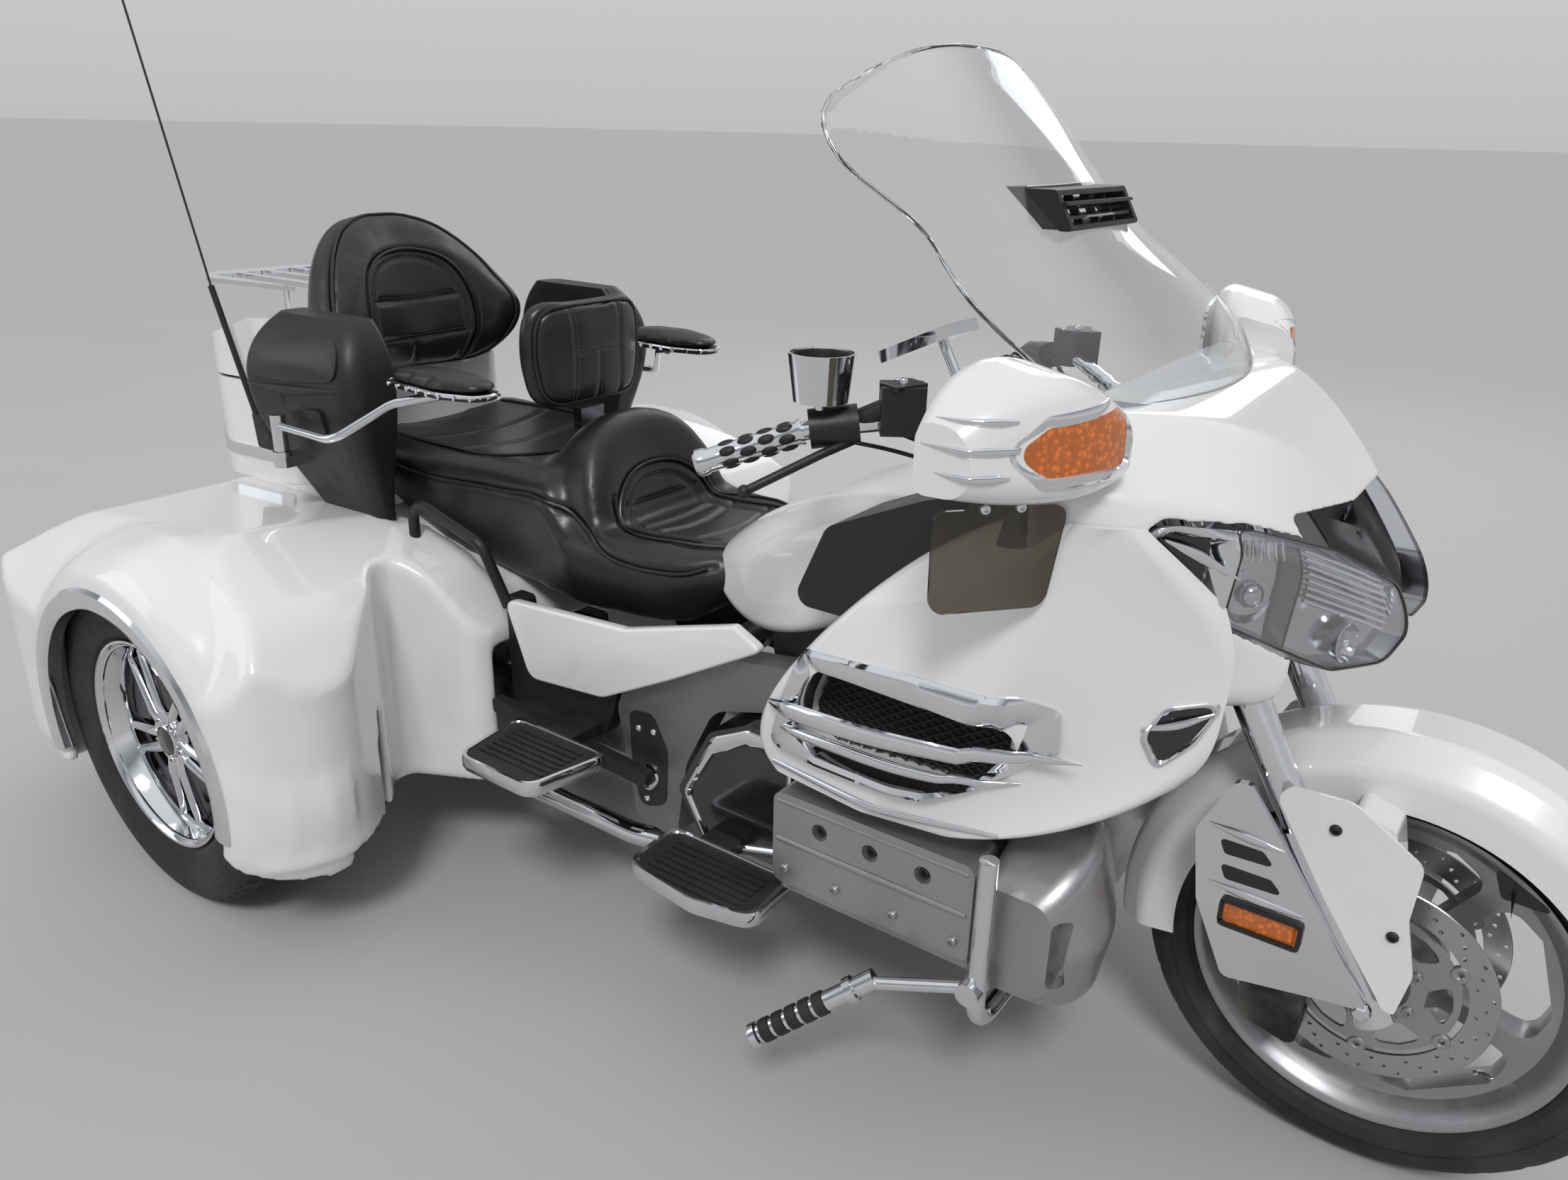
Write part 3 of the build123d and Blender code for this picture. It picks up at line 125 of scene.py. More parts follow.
class Bench:
    """The node tree of one material or of the world."""

    def __init__(self, tree: bpy.types.NodeTree) -> None:
        """Clear the tree and keep it."""
        tree.nodes.clear()
        self.tree = tree

    def node(self, kind: str, settings: dict[str, Any] | None = None, inputs: dict[Any, Any] | None = None,
             output: int | str = 0) -> Signal:
        """Add a node of any type.

        Args:
            kind: Node type.
            settings: Properties to set first; "stops" holds a ramp's rows of (place, colour).
            inputs: Values or signals by socket name or number.
            output: Name or number of the socket to give back.

        Returns:
            The chosen output.
        """
        made = self.tree.nodes.new(kind)
        for key, value in (settings or {}).items():
            if key == "stops":
                self._set_stops(made.color_ramp, value)
            else:
                setattr(made, key, value)
        for key, value in (inputs or {}).items():
            self.feed(made.inputs[key], value)
        return Signal(self, made.outputs[output])

    def feed(self, socket: bpy.types.NodeSocket, value: Any) -> None:
        """Link a signal to a socket, or set a plain value on it.

        Args:
            socket: Input socket of a node.
            value: Signal, number, colour or vector.
        """
        if isinstance(value, Signal):
            self.tree.links.new(value.socket, socket)
        elif isinstance(value, (tuple, list)) and len(value) == 3 and socket.type == "RGBA":
            socket.default_value = (*value, 1.0)
        else:
            socket.default_value = value

    @staticmethod
    def _set_stops(ramp: bpy.types.ColorRamp, stops: Sequence[tuple[float, Point]]) -> None:
        """Give a colour ramp its rows of (place, colour).

        Args:
            ramp: The node's colour ramp.
            stops: Rows of place and colour.
        """
        while len(ramp.elements) < len(stops):
            ramp.elements.new(0.5)
        for element, (place, color) in zip(ramp.elements, stops):
            element.position = place
            element.color = (*color, 1)

    def place(self) -> Signal:
        """Coordinates that stay with the piece, in metres."""
        return self.node("ShaderNodeTexCoord", output="Object")

    def noise(
            self, scale: float, detail: float = 3.0, roughness: float = 0.5,
            at: Signal | None = None) -> Signal:
        """Cloudy noise from 0 to 1.

        Args:
            scale: Features per metre.
            detail: Octaves.
            roughness: Weight of the fine octaves.
            at: Coordinates, or the piece's own.

        Returns:
            The noise value.
        """
        return self.node("ShaderNodeTexNoise", inputs={
            "Vector": at or self.place(), "Scale": scale, "Detail": detail, "Roughness": roughness})

    def cells(self, scale: float, feature: str = "F1", at: Signal | None = None) -> Signal:
        """Distance in a pattern of cells."""
        return self.node("ShaderNodeTexVoronoi", {"feature": feature},
                         {"Vector": at or self.place(), "Scale": scale}, "Distance")

    def mix(self, share: Any, first: Any, second: Any) -> Signal:
        """Blend two colours.

        Args:
            share: Weight of the second colour, from 0 to 1.
            first: Colour at 0.
            second: Colour at 1.

        Returns:
            The blend.
        """
        return self.node("ShaderNodeMix", {"data_type": "RGBA"}, {0: share, 6: first, 7: second}, 2)

    def height(self) -> Signal:
        """Height of the point over the ground."""
        return self.node("ShaderNodeSeparateXYZ", inputs={0: self.place()}, output="Z")

    def bump(self, relief: Signal, strength: float, distance: float) -> Signal:
        """Normal from a relief."""
        return self.node(
            "ShaderNodeBump", inputs={"Height": relief, "Strength": strength, "Distance": distance},
            output="Normal")


class Kind(Enum):
    """How a finish varies over its surface."""

    PAINT = "paint"
    METAL = "metal"
    CAST = "cast"
    PLASTIC = "plastic"
    LEATHER = "leather"
    RUBBER = "rubber"
    GLASS = "glass"
    SHEET = "sheet"
    LENS = "lens"
    FLOOR = "floor"


@dataclass(frozen=True)
class Finish:
    """One finish: its colour, gloss and the small detail of its surface."""

    name: str
    slot: str
    kind: Kind
    color: tuple[float, float, float]
    roughness: float = 0.4
    coat: float = 0.0
    grain: float = 600.0
    depth: float = 0.0002
    dust: float = 0.0
    clear: float = 0.0
    glow: float = 0.0

    def material(self) -> bpy.types.Material:
        """The material of this finish, made on first use.

        Returns:
            The material.
        """
        made = bpy.data.materials.get(self.name)
        if made is None:
            made = bpy.data.materials.new(self.name)
            made.use_nodes = True
            self._build(Bench(made.node_tree))
        return made

    def _build(self, bench: Bench) -> None:
        """Fill the material's node tree.

        Args:
            bench: Bench of the material's node tree.
        """
        build = {
            Kind.PAINT: self._paint, Kind.METAL: self._metal, Kind.CAST: self._cast,
            Kind.PLASTIC: self._plastic, Kind.LEATHER: self._leather, Kind.RUBBER: self._rubber,
            Kind.GLASS: self._glass, Kind.SHEET: self._sheet, Kind.LENS: self._lens,
            Kind.FLOOR: self._floor}[self.kind]
        surface = build(bench)
        out = bench.tree.nodes.new("ShaderNodeOutputMaterial")
        bench.feed(out.inputs["Surface"], surface)

    def _shader(self, bench: Bench, **sockets: Any) -> Signal:
        """Principled shader with this finish's plain values and the given sockets.

        Args:
            bench: Bench of the material.
            sockets: Inputs that are given.

        Returns:
            The shader's signal.
        """
        values = {"Base Color": self.color, "Roughness": self.roughness}
        values.update({name.replace("_", " "): value for name, value in sockets.items()})
        return bench.node("ShaderNodeBsdfPrincipled", inputs=values)

    def _dusted(self, bench: Bench, color: Any) -> Signal:
        """Colour with road dust that gathers near the ground.

        Args:
            bench: Bench of the material.
            color: The clean colour.

        Returns:
            The colour's signal.
        """
        low = 1 - bench.height().between(0.05, 0.75)
        share = low * bench.noise(9, 4).between(0.42, 0.75) * self.dust
        return bench.mix(share, color, (0.36, 0.33, 0.29))

    def _tone(self, bench: Bench, scale: float, amount: float) -> Signal:
        """The finish's colour, darker in soft patches."""
        dark = tuple(channel * (1 - amount) for channel in self.color)
        return bench.mix(bench.noise(scale, 4).between(0.3, 0.7), self.color, dark)

    def _paint(self, bench: Bench) -> Signal:
        """Pearl paint under a clear coat, with a faint orange peel.

        Args:
            bench: Bench of the material.

        Returns:
            The shader's signal.
        """
        flakes = bench.cells(2600).between(0.0, 0.6)
        color = bench.mix(flakes * 0.12, self._tone(bench, 3, 0.03), (0.93, 0.94, 0.96))
        gloss = self.roughness + 0.05 * bench.noise(14, 4).between(0.35, 0.75)
        relief = bench.bump(bench.noise(self.grain, 1), 0.05, self.depth)
        return self._shader(
            bench, Base_Color=self._dusted(bench, color), Roughness=gloss, Normal=relief,
            Coat_Weight=self.coat, Coat_Roughness=0.03)

    def _metal(self, bench: Bench) -> Signal:
        """Polished plating with faint smears and wiping marks.

        Args:
            bench: Bench of the material.

        Returns:
            The shader's signal.
        """
        smear = bench.noise(22, 5, 0.6).between(0.45, 0.8)
        gloss = self.roughness + 0.1 * smear
        color = self._dusted(bench, self._tone(bench, 6, 0.06))
        relief = bench.bump(bench.noise(self.grain, 2), 0.03, self.depth)
        return self._shader(bench, Base_Color=color, Roughness=gloss, Metallic=1.0, Normal=relief)

    def _cast(self, bench: Bench) -> Signal:
        """Painted or bare casting with a fine pebbled skin.

        Args:
            bench: Bench of the material.

        Returns:
            The shader's signal.
        """
        speckle = bench.noise(self.grain * 2.5, 2).between(0.35, 0.7)
        color = bench.mix(speckle * 0.25, self._tone(bench, 5, 0.12), tuple(0.75 * c for c in self.color))
        gloss = self.roughness + 0.12 * bench.noise(40, 4).between(0.3, 0.7)
        relief = bench.bump(bench.noise(self.grain, 3), 0.25, self.depth)
        return self._shader(
            bench, Base_Color=self._dusted(bench, color), Roughness=gloss, Metallic=0.75, Normal=relief,
            Coat_Weight=self.coat, Coat_Roughness=0.15)

    def _plastic(self, bench: Bench) -> Signal:
        """Moulded plastic with a sand-blasted grain.

        Args:
            bench: Bench of the material.

        Returns:
            The shader's signal.
        """
        gloss = self.roughness + 0.1 * bench.noise(30, 4).between(0.35, 0.7)
        relief = bench.bump(bench.noise(self.grain, 2, 0.7), 0.3, self.depth)
        return self._shader(
            bench, Base_Color=self._dusted(bench, self._tone(bench, 8, 0.2)), Roughness=gloss,
            Normal=relief, Coat_Weight=self.coat, Coat_Roughness=0.05)

    def _leather(self, bench: Bench) -> Signal:
        """Grained upholstery leather: pebbles, creases between them and a worn sheen.

        Args:
            bench: Bench of the material.

        Returns:
            The shader's signal.
        """
        warp = bench.node(
            "ShaderNodeVectorMath", {"operation": "MULTIPLY_ADD"},
            {0: bench.node(
                "ShaderNodeTexNoise", inputs={"Vector": bench.place(), "Scale": 60.0}, output="Color"),
             1: (0.004, 0.004, 0.004), 2: bench.place()})
        pebble = bench.cells(self.grain, "SMOOTH_F1", warp)
        crease = bench.noise(self.grain * 0.16, 4, 0.6, warp)
        relief = bench.bump(pebble * 0.7 + crease * 0.6, 0.55, self.depth)
        worn = bench.noise(7, 3).between(0.35, 0.7)
        gloss = self.roughness + 0.12 * worn + 0.1 * pebble
        return self._shader(
            bench, Base_Color=self._tone(bench, 12, 0.3), Roughness=gloss, Normal=relief,
            Coat_Weight=self.coat, Coat_Roughness=0.25)

    def _rubber(self, bench: Bench) -> Signal:
        """Rubber, greyed by dust in patches.

        Args:
            bench: Bench of the material.

        Returns:
            The shader's signal.
        """
        color = self._dusted(bench, self._tone(bench, 18, 0.25))
        gloss = self.roughness + 0.15 * bench.noise(35, 4).between(0.3, 0.75)
        relief = bench.bump(bench.noise(self.grain, 3, 0.6), 0.3, self.depth)
        return self._shader(bench, Base_Color=color, Roughness=gloss, Normal=relief)

    def _glass(self, bench: Bench) -> Signal:
        """Clear moulded sheet with faint wiping marks."""
        gloss = self.roughness + 0.02 * bench.noise(9, 5, 0.6).between(0.5, 0.8)
        return self._shader(bench, Roughness=gloss, Transmission_Weight=self.clear, IOR=1.49)

    def _sheet(self, bench: Bench) -> Signal:
        """Thin clear lens: mostly seen through, with a bright reflection."""
        gloss = self.roughness + 0.03 * bench.noise(12, 4).between(0.4, 0.8)
        return self._shader(bench, Roughness=gloss, Metallic=1.0, Alpha=1 - self.clear)

    def _lens(self, bench: Bench) -> Signal:
        """Coloured lens with moulded prisms behind a smooth face, and a painted glow in its own colour.

        Args:
            bench: Bench of the material.

        Returns:
            The shader's signal.
        """
        ridges = bench.cells(self.grain).between(0.1, 0.6)
        color = bench.mix(ridges, self.color, tuple(0.45 * c for c in self.color))
        relief = bench.bump(bench.cells(self.grain), 0.35, self.depth)
        # The emission is a painted glow in the lens colour; the fork's reflectors, which hold no lamp, glow
        # with it too.
        return self._shader(
            bench, Base_Color=color, Normal=relief, Transmission_Weight=self.clear, Coat_Weight=self.coat,
            Coat_Roughness=0.02, Emission_Color=self.color, Emission_Strength=self.glow)

    def _floor(self, bench: Bench) -> Signal:
        """Pale studio floor."""
        return self._shader(bench, Base_Color=self._tone(bench, 0.8, 0.02))


WHITE = Finish("pearl_white", "white_paint", Kind.PAINT, (0.8, 0.8, 0.79), 0.22, 1.0, 900, 0.0002, 0.12)
CHROME = Finish("bright_chrome", "chrome", Kind.METAL, (0.8, 0.81, 0.83), 0.05, 0, 300, 0.0001, 0.2)
SATIN = Finish("satin_silver", "silver_cast", Kind.CAST, (0.4, 0.4, 0.41), 0.28, 0.3, 900, 0.0002, 0.3)
WHEEL_GREY = Finish("wheel_silver", "silver_cast", Kind.CAST, (0.4, 0.4, 0.41), 0.32, 0.4, 700, 0.0002, 0.4)
FRAME_GREY = Finish("frame_grey", "grey_frame", Kind.CAST, (0.25, 0.25, 0.26), 0.38, 0.2, 700, 0.0003, 0.6)
DARK = Finish("dark_casting", "dark_metal", Kind.CAST, (0.035, 0.035, 0.037), 0.5, 0, 500, 0.0004, 0.8)
REFLECTOR = Finish("lamp_reflector", "chrome", Kind.METAL, (0.5, 0.51, 0.53), 0.1, 0, 200, 0.0001)
STEEL = Finish("ground_steel", "disc_steel", Kind.METAL, (0.5, 0.5, 0.51), 0.26, 0, 1200, 0.0002, 0.3)
BLACK = Finish(
    "moulded_black", "black_plastic", Kind.PLASTIC, (0.014, 0.014, 0.015), 0.4, 0, 1100, 0.0004, 0.06)
GLOSS_BLACK = Finish(
    "gloss_black", "black_plastic", Kind.PLASTIC, (0.008, 0.008, 0.009), 0.16, 0.8, 900, 0.0001, 0.06)
GRIP_RUBBER = Finish("soft_rubber", "rubber", Kind.RUBBER, (0.012, 0.012, 0.012), 0.5, 0, 900, 0.0004, 0.06)
TYRE = Finish("tyre_rubber", "tyre", Kind.RUBBER, (0.016, 0.016, 0.017), 0.62, 0, 700, 0.0005, 0.1)
LEATHER = Finish("black_leather", "leather", Kind.LEATHER, (0.011, 0.011, 0.012), 0.3, 0.25, 430, 0.0007)
PIPING = Finish("piping_leather", "leather", Kind.LEATHER, (0.009, 0.009, 0.01), 0.3, 0.2, 700, 0.0003)
THREAD = Finish("stitch_thread", "leather", Kind.RUBBER, (0.1, 0.1, 0.105), 0.6, 0, 2500, 0.0002)
CLEAR = Finish("clear_sheet", "clear_plastic", Kind.GLASS, (0.985, 0.992, 0.995), 0.0, clear=1.0)
LAMP_GLASS = Finish("clear_lens_sheet", "lamp_glass", Kind.SHEET, (0.92, 0.94, 0.96), 0.02, clear=0.84)
SMOKED = Finish("smoked_sheet", "smoked", Kind.GLASS, (0.2, 0.17, 0.13), 0.05, clear=0.85)
# The glow of the amber and red lenses is painted light, and the fork's reflectors carry it as well.
AMBER = Finish(
    "amber_lens", "amber", Kind.LENS, (0.9, 0.22, 0.012), 0.12, 1.0, 130, 0.001, glow=0.12, clear=0.25)
RED = Finish(
    "red_lens", "red_lens", Kind.LENS, (0.55, 0.035, 0.035), 0.12, 1.0, 110, 0.001, glow=0.06, clear=0.2)
MIRROR = Finish("mirror_glass", "mirror", Kind.METAL, (0.86, 0.87, 0.88), 0.02, 0, 100, 0.00005)
FLOOR = Finish("studio_floor", "white_paint", Kind.FLOOR, (0.47, 0.465, 0.455), 0.85)


class Form:
    """A surface that is still being shaped, before it becomes a piece."""

    def __init__(self, mesh: bpy.types.Mesh) -> None:
        """Keep the mesh."""
        self.mesh = mesh
        self._tree: BVHTree | None = None

    @classmethod
    def of(cls, points: Sequence[Point], faces: Sequence[Sequence[int]]) -> "Form":
        """Form from points and faces, its normals turned outward.

        Args:
            points: Places of the vertices.
            faces: Vertex numbers of each face.

        Returns:
            The form.
        """
        mesh = bpy.data.meshes.new("form")
        mesh.from_pydata([tuple(p) for p in points], [], [tuple(f) for f in faces])
        return cls(mesh)._bm(lambda bm: bmesh.ops.recalc_face_normals(bm, faces=bm.faces))

    @classmethod
    def rows(
            cls, rings: Sequence[Row], closed: bool = True, capped: bool = True,
            looped: bool = False) -> "Form":
        """Skin over rows of equally many points.

        Args:
            rings: Rows of points.
            closed: Whether each row closes on itself.
            capped: Whether the first and last rows are filled.
            looped: Whether the last row joins the first.

        Returns:
            The skin.
        """
        count, width = len(rings), len(rings[0])
        points = [p for ring in rings for p in ring]
        faces: list[tuple[int, ...]] = []
        for i in range(count if looped else count - 1):
            for j in range(width if closed else width - 1):
                a, b = i * width + j, i * width + (j + 1) % width
                c, d = ((i + 1) % count) * width + (j + 1) % width, ((i + 1) % count) * width + j
                faces.append((a, b, c, d))
        if capped and closed and not looped:
            faces += [tuple(range(width)), tuple(range((count - 1) * width, count * width))]
        return cls.of(points, faces)

    @classmethod
    def tube(cls, points: Sequence[Point], radius: float | Sequence[float], sides: int = 16,
             smooth: int = 6, cyclic: bool = False) -> "Form":
        """Round bar along a smooth line through points.

        Args:
            points: Points on the line.
            radius: One radius, or one for each point.
            sides: Corners of the section.
            smooth: Steps between two points; 0 keeps straight runs.
            cyclic: Whether the line closes on itself.

        Returns:
            The bar.
        """
        radii = [radius] * len(points) if isinstance(radius, (int, float)) else list(radius)
        line = curve_through([(*p, r) for p, r in zip(points, radii)], smooth, cyclic)
        spots = [Vector(p[:3]) for p in line]
        rings = []
        up = Vector((0.123, 0.456, 0.88))
        count = len(spots)
        for index, spot in enumerate(spots):
            behind = spots[index - 1] if index or cyclic else spot
            ahead = spots[(index + 1) % count] if index < count - 1 or cyclic else spot
            along = (ahead - behind).normalized()
            side = along.cross(up).normalized()
            up = side.cross(along).normalized()
            rings.append([
                spot + (side * cos(2 * pi * k / sides) + up * sin(2 * pi * k / sides)) * line[index][3]
                for k in range(sides)])
        if cyclic:
            return cls.rows(rings, capped=False, looped=True)
        return cls.rows(rings)

    @classmethod
    def turned(cls, profile: Sequence[tuple[float, float]], centre: Point, axis: Point = (0, 1, 0),
               steps: int = 48, closed: bool = True) -> "Form":
        """Solid turned about an axis.

        Args:
            profile: Rows of (radius, place along the axis).
            centre: Point on the axis.
            axis: Direction of the axis.
            steps: Steps round the axis.
            closed: Whether the profile closes on itself, as a ring's does.

        Returns:
            The solid.
        """
        turn = Vector((0, 0, 1)).rotation_difference(Vector(axis)).to_matrix()
        rings = []
        for k in range(steps):
            angle = 2 * pi * k / steps
            rings.append(
                [Vector(centre) + turn @ Vector((r * cos(angle), r * sin(angle), h)) for r, h in profile])
        made = cls.rows(rings, closed=closed, capped=False, looped=True)
        return made._bm(lambda bm: bmesh.ops.remove_doubles(bm, verts=bm.verts, dist=1e-6))

    @classmethod
    def plate(cls, rows: Sequence[Point], plane: str, low: float, high: float, steps: int = 5) -> "Form":
        """Plate with an outline of (first, second, corner radius) rows, between two levels.

        Args:
            rows: The outline's corners.
            plane: "xz", "xy" or "yz".
            low: First level along the remaining axis.
            high: Second level.
            steps: Steps in each rounded corner.

        Returns:
            The plate.
        """
        flat = rounded_outline(rows, steps)
        order = {
            "xz": lambda u, v, w: (u, w, v), "xy": lambda u, v, w: (u, v, w),
            "yz": lambda u, v, w: (w, u, v)}
        at = order[plane]
        return cls.rows([[at(u, v, w) for u, v in flat] for w in (low, high)])

    def _bm(self, work: Callable[[bmesh.types.BMesh], Any]) -> "Form":
        """Run work on the mesh's bmesh and keep the result.

        Args:
            work: What is done to the bmesh.

        Returns:
            This form.
        """
        bm = bmesh.new()
        bm.from_mesh(self.mesh)
        work(bm)
        bm.to_mesh(self.mesh)
        bm.free()
        return self

    def modified(self, kind: str, **settings: Any) -> "Form":
        """New form with one Blender modifier applied.

        Args:
            kind: Kind of modifier.
            settings: Its settings.

        Returns:
            The new form.
        """
        holder = bpy.data.objects.new("form", self.mesh)
        bpy.context.scene.collection.objects.link(holder)
        tool = holder.modifiers.new(kind, kind)
        for key, value in settings.items():
            setattr(tool, key, value)
        bpy.context.view_layer.update()
        evaluated = holder.evaluated_get(bpy.context.evaluated_depsgraph_get())
        mesh = bpy.data.meshes.new_from_object(evaluated)
        bpy.data.objects.remove(holder)
        return Form(mesh)

    def smoothed(self, levels: int = 2) -> "Form":
        """Catmull-Clark refinement."""
        return self.modified("SUBSURF", levels=levels, render_levels=levels)

    def bevelled(self, width: float, segments: int = 3, angle: float = 30) -> "Form":
        """Edges sharper than an angle rounded off."""
        return self.modified(
            "BEVEL", width=width, segments=segments, limit_method="ANGLE", angle_limit=radians(angle),
            use_clamp_overlap=True, harden_normals=False)

    def eased(self, voxel: float, passes: int, share: float) -> "Form":
        """Shell with its edges flowing into each other.

        Args:
            voxel: Grid of the new surface.
            passes: Smoothing passes.
            share: Share of the faces that is kept.

        Returns:
            The shell.
        """
        form = self.modified("REMESH", mode="VOXEL", voxel_size=voxel)
        return form.modified("SMOOTH", factor=0.5, iterations=passes).modified("DECIMATE", ratio=share)

    def __add__(self, other: "Form") -> "Form":
        """Both forms in one mesh.

        Args:
            other: The form that is joined on.

        Returns:
            The joined form.
        """
        bm = bmesh.new()
        bm.from_mesh(self.mesh)
        bm.from_mesh(other.mesh)
        mesh = bpy.data.meshes.new("form")
        bm.to_mesh(mesh)
        bm.free()
        return Form(mesh)

    def _cut(self, other: "Form", operation: str) -> "Form":
        """Boolean with another form.

        Args:
            other: The other form.
            operation: Kind of boolean.

        Returns:
            The result.
        """
        cutter = bpy.data.objects.new("cutter", other.mesh)
        bpy.context.scene.collection.objects.link(cutter)
        made = self.modified("BOOLEAN", object=cutter, operation=operation, solver="EXACT")
        bpy.data.objects.remove(cutter)
        return made

    def __sub__(self, other: "Form") -> "Form":
        """This form with the other cut away."""
        return self._cut(other, "DIFFERENCE")

    def moved(self, matrix: Matrix) -> "Form":
        """A copy moved by a matrix.

        Args:
            matrix: The move.

        Returns:
            The copy.
        """
        mesh = self.mesh.copy()
        mesh.transform(matrix)
        if matrix.determinant() < 0:
            mesh.flip_normals()
        return Form(mesh)

    def shifted(self, x: float = 0, y: float = 0, z: float = 0) -> "Form":
        """A copy moved along the axes."""
        return self.moved(Matrix.Translation((x, y, z)))

    def mirrored(self) -> "Form":
        """The form on the other side of the vehicle."""
        return self.moved(Matrix.Diagonal((1, -1, 1, 1)))

    def both(self) -> "Form":
        """The form and its mirror image."""
        return self + self.mirrored()

    def shaped(self, move: Callable[[Vector], Vector]) -> "Form":
        """Every vertex moved by a function.

        Args:
            move: New place of a point.

        Returns:
            This form.
        """
        for vertex in self.mesh.vertices:
            vertex.co = move(vertex.co.copy())
        return self

    def surface(self) -> BVHTree:
        """Search tree of the surface, made on first use and kept.

        Returns:
            The tree.
        """
        if self._tree is None:
            self._tree = BVHTree.FromPolygons(
                [v.co[:] for v in self.mesh.vertices], [p.vertices[:] for p in self.mesh.polygons])
        return self._tree


def curve_through(points: Sequence[Point], steps: int, cyclic: bool = False) -> list[tuple[float, ...]]:
    """Smooth line through points of any dimension.

    Args:
        points: The points.
        steps: Steps between two points; 0 gives the points back.
        cyclic: Whether the line closes on itself.

    Returns:
        Points on the line.
    """
    if steps < 1:
        return [tuple(p) for p in points]
    knots = np.array([tuple(p) for p in points], float)
    count = len(knots)
    line = []
    for i in range(count if cyclic else count - 1):
        if cyclic:
            a, b, c, d = (knots[(i + k) % count] for k in (-1, 0, 1, 2))
        else:
            b, c = knots[i], knots[i + 1]
            a = knots[i - 1] if i else 2 * b - c
            d = knots[i + 2] if i + 2 < count else 2 * c - b
        for k in range(steps):
            t = k / steps
            line.append(tuple(0.5 * (2 * b + (c - a) * t + (2 * a - 5 * b + 4 * c - d) * t * t
                                     + (3 * b - a - 3 * c + d) * t ** 3)))
    if not cyclic:
        line.append(tuple(knots[-1]))
    return line


def rounded_outline(rows: Sequence[Point], steps: int = 5) -> list[tuple[float, float]]:
    """Outline of (first, second, corner radius) rows with its corners rounded.

    Args:
        rows: The corners in order.
        steps: Steps in each corner.

    Returns:
        Points of the outline.
    """
    out: list[tuple[float, float]] = []
    count = len(rows)
    for i, (u, v, radius) in enumerate(rows):
        corner = Vector((u, v))
        back = Vector(rows[i - 1][:2]) - corner
        ahead = Vector(rows[(i + 1) % count][:2]) - corner
        half = back.angle(ahead) / 2
        reach = min(radius / max(tan(half), 1e-4), 0.47 * min(back.length, ahead.length)) if radius else 0
        if reach < 1e-5:
            out.append((u, v))
            continue
        start, end = corner + back.normalized() * reach, corner + ahead.normalized() * reach
        for k in range(steps + 1):
            t = k / steps
            spot = (1 - t) ** 2 * start + 2 * t * (1 - t) * corner * 0.93 + t * t * end
            spot += 2 * t * (1 - t) * 0.07 * (start + end) / 2
            out.append((spot.x, spot.y))
    return out


def table_curve(rows: Sequence[Point], x: float) -> float:
    """Value at a place on a smooth line through rows of (place, value).

    Args:
        rows: The rows, in rising order of place.
        x: The place, held within the rows.

    Returns:
        The value.
    """
    places, values = zip(*rows)
    if x <= places[0]:
        return values[0]
    if x >= places[-1]:
        return values[-1]
    i = max(k for k, p in enumerate(places) if p <= x)
    span = places[i + 1] - places[i]
    t = (x - places[i]) / span
    low = high = values[i + 1] - values[i]
    if i:
        low = (values[i + 1] - values[i - 1]) / (places[i + 1] - places[i - 1]) * span
    if i + 2 < len(rows):
        high = (values[i + 2] - values[i]) / (places[i + 2] - places[i]) * span
    return ((2 * t ** 3 - 3 * t * t + 1) * values[i] + (t ** 3 - 2 * t * t + t) * low
            + (3 * t * t - 2 * t ** 3) * values[i + 1] + (t ** 3 - t * t) * high)


def mirrored_line(half: Sequence[tuple[float, float]]) -> list[tuple[float, float]]:
    """Line of (y, other) points whose second half mirrors the first, which ends at y = 0."""
    return [*half, *((-y, other) for y, other in half[-2::-1])]


def piece(name: str, form: Form, finish: Finish, body: Body, replaces: Sequence[str] = (),
          sharp: float = 38.0) -> bpy.types.Object:
    """Turn a form into a piece of the vehicle.

    Args:
        name: The piece's name.
        form: Its surface, laid out from the front axle.
        finish: What it is made of.
        body: The body that it rides on.
        replaces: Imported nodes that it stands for.
        sharp: Edges over this angle stay sharp, in degrees.

    Returns:
        The piece.
    """
    mesh = form.mesh
    mesh.name = name
    mesh.transform(Matrix.Translation((AXLE_X, 0, 0)))
    mesh.materials.clear()
    mesh.materials.append(finish.material())
    mesh.polygons.foreach_set("material_index", [0] * len(mesh.polygons))
    mesh.shade_smooth()
    mesh.set_sharp_from_angle(angle=radians(sharp))
    made = bpy.data.objects.new(name, mesh)
    bpy.context.scene.collection.objects.link(made)
    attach(made, body.value)
    if replaces:
        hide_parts(*replaces)
    log.info("%s: %d faces on %s", name, len(mesh.polygons), body.value)
    return made


def joined(forms: Iterable[Form]) -> Form:
    """All forms in one mesh, in their order.

    Args:
        forms: The forms.

    Returns:
        The joined form.
    """
    made, *others = forms
    for other in others:
        made = made + other
    return made


def bolt(centre: Point, axis: Point, radius: float, height: float) -> Form:
    """Button-head bolt with a socket.

    Args:
        centre: Point on the surface that it stands on.
        axis: Outward direction.
        radius: Radius of the head.
        height: Height of the head.

    Returns:
        The bolt.
    """
    profile = [
        (0, -0.002), (radius, -0.002), (radius, height * 0.35), (radius * 0.86, height * 0.8),
        (radius * 0.62, height), (radius * 0.45, height), (radius * 0.42, height * 0.35),
        (0, height * 0.35)]
    return Form.turned(profile, centre, axis, 20, closed=False)


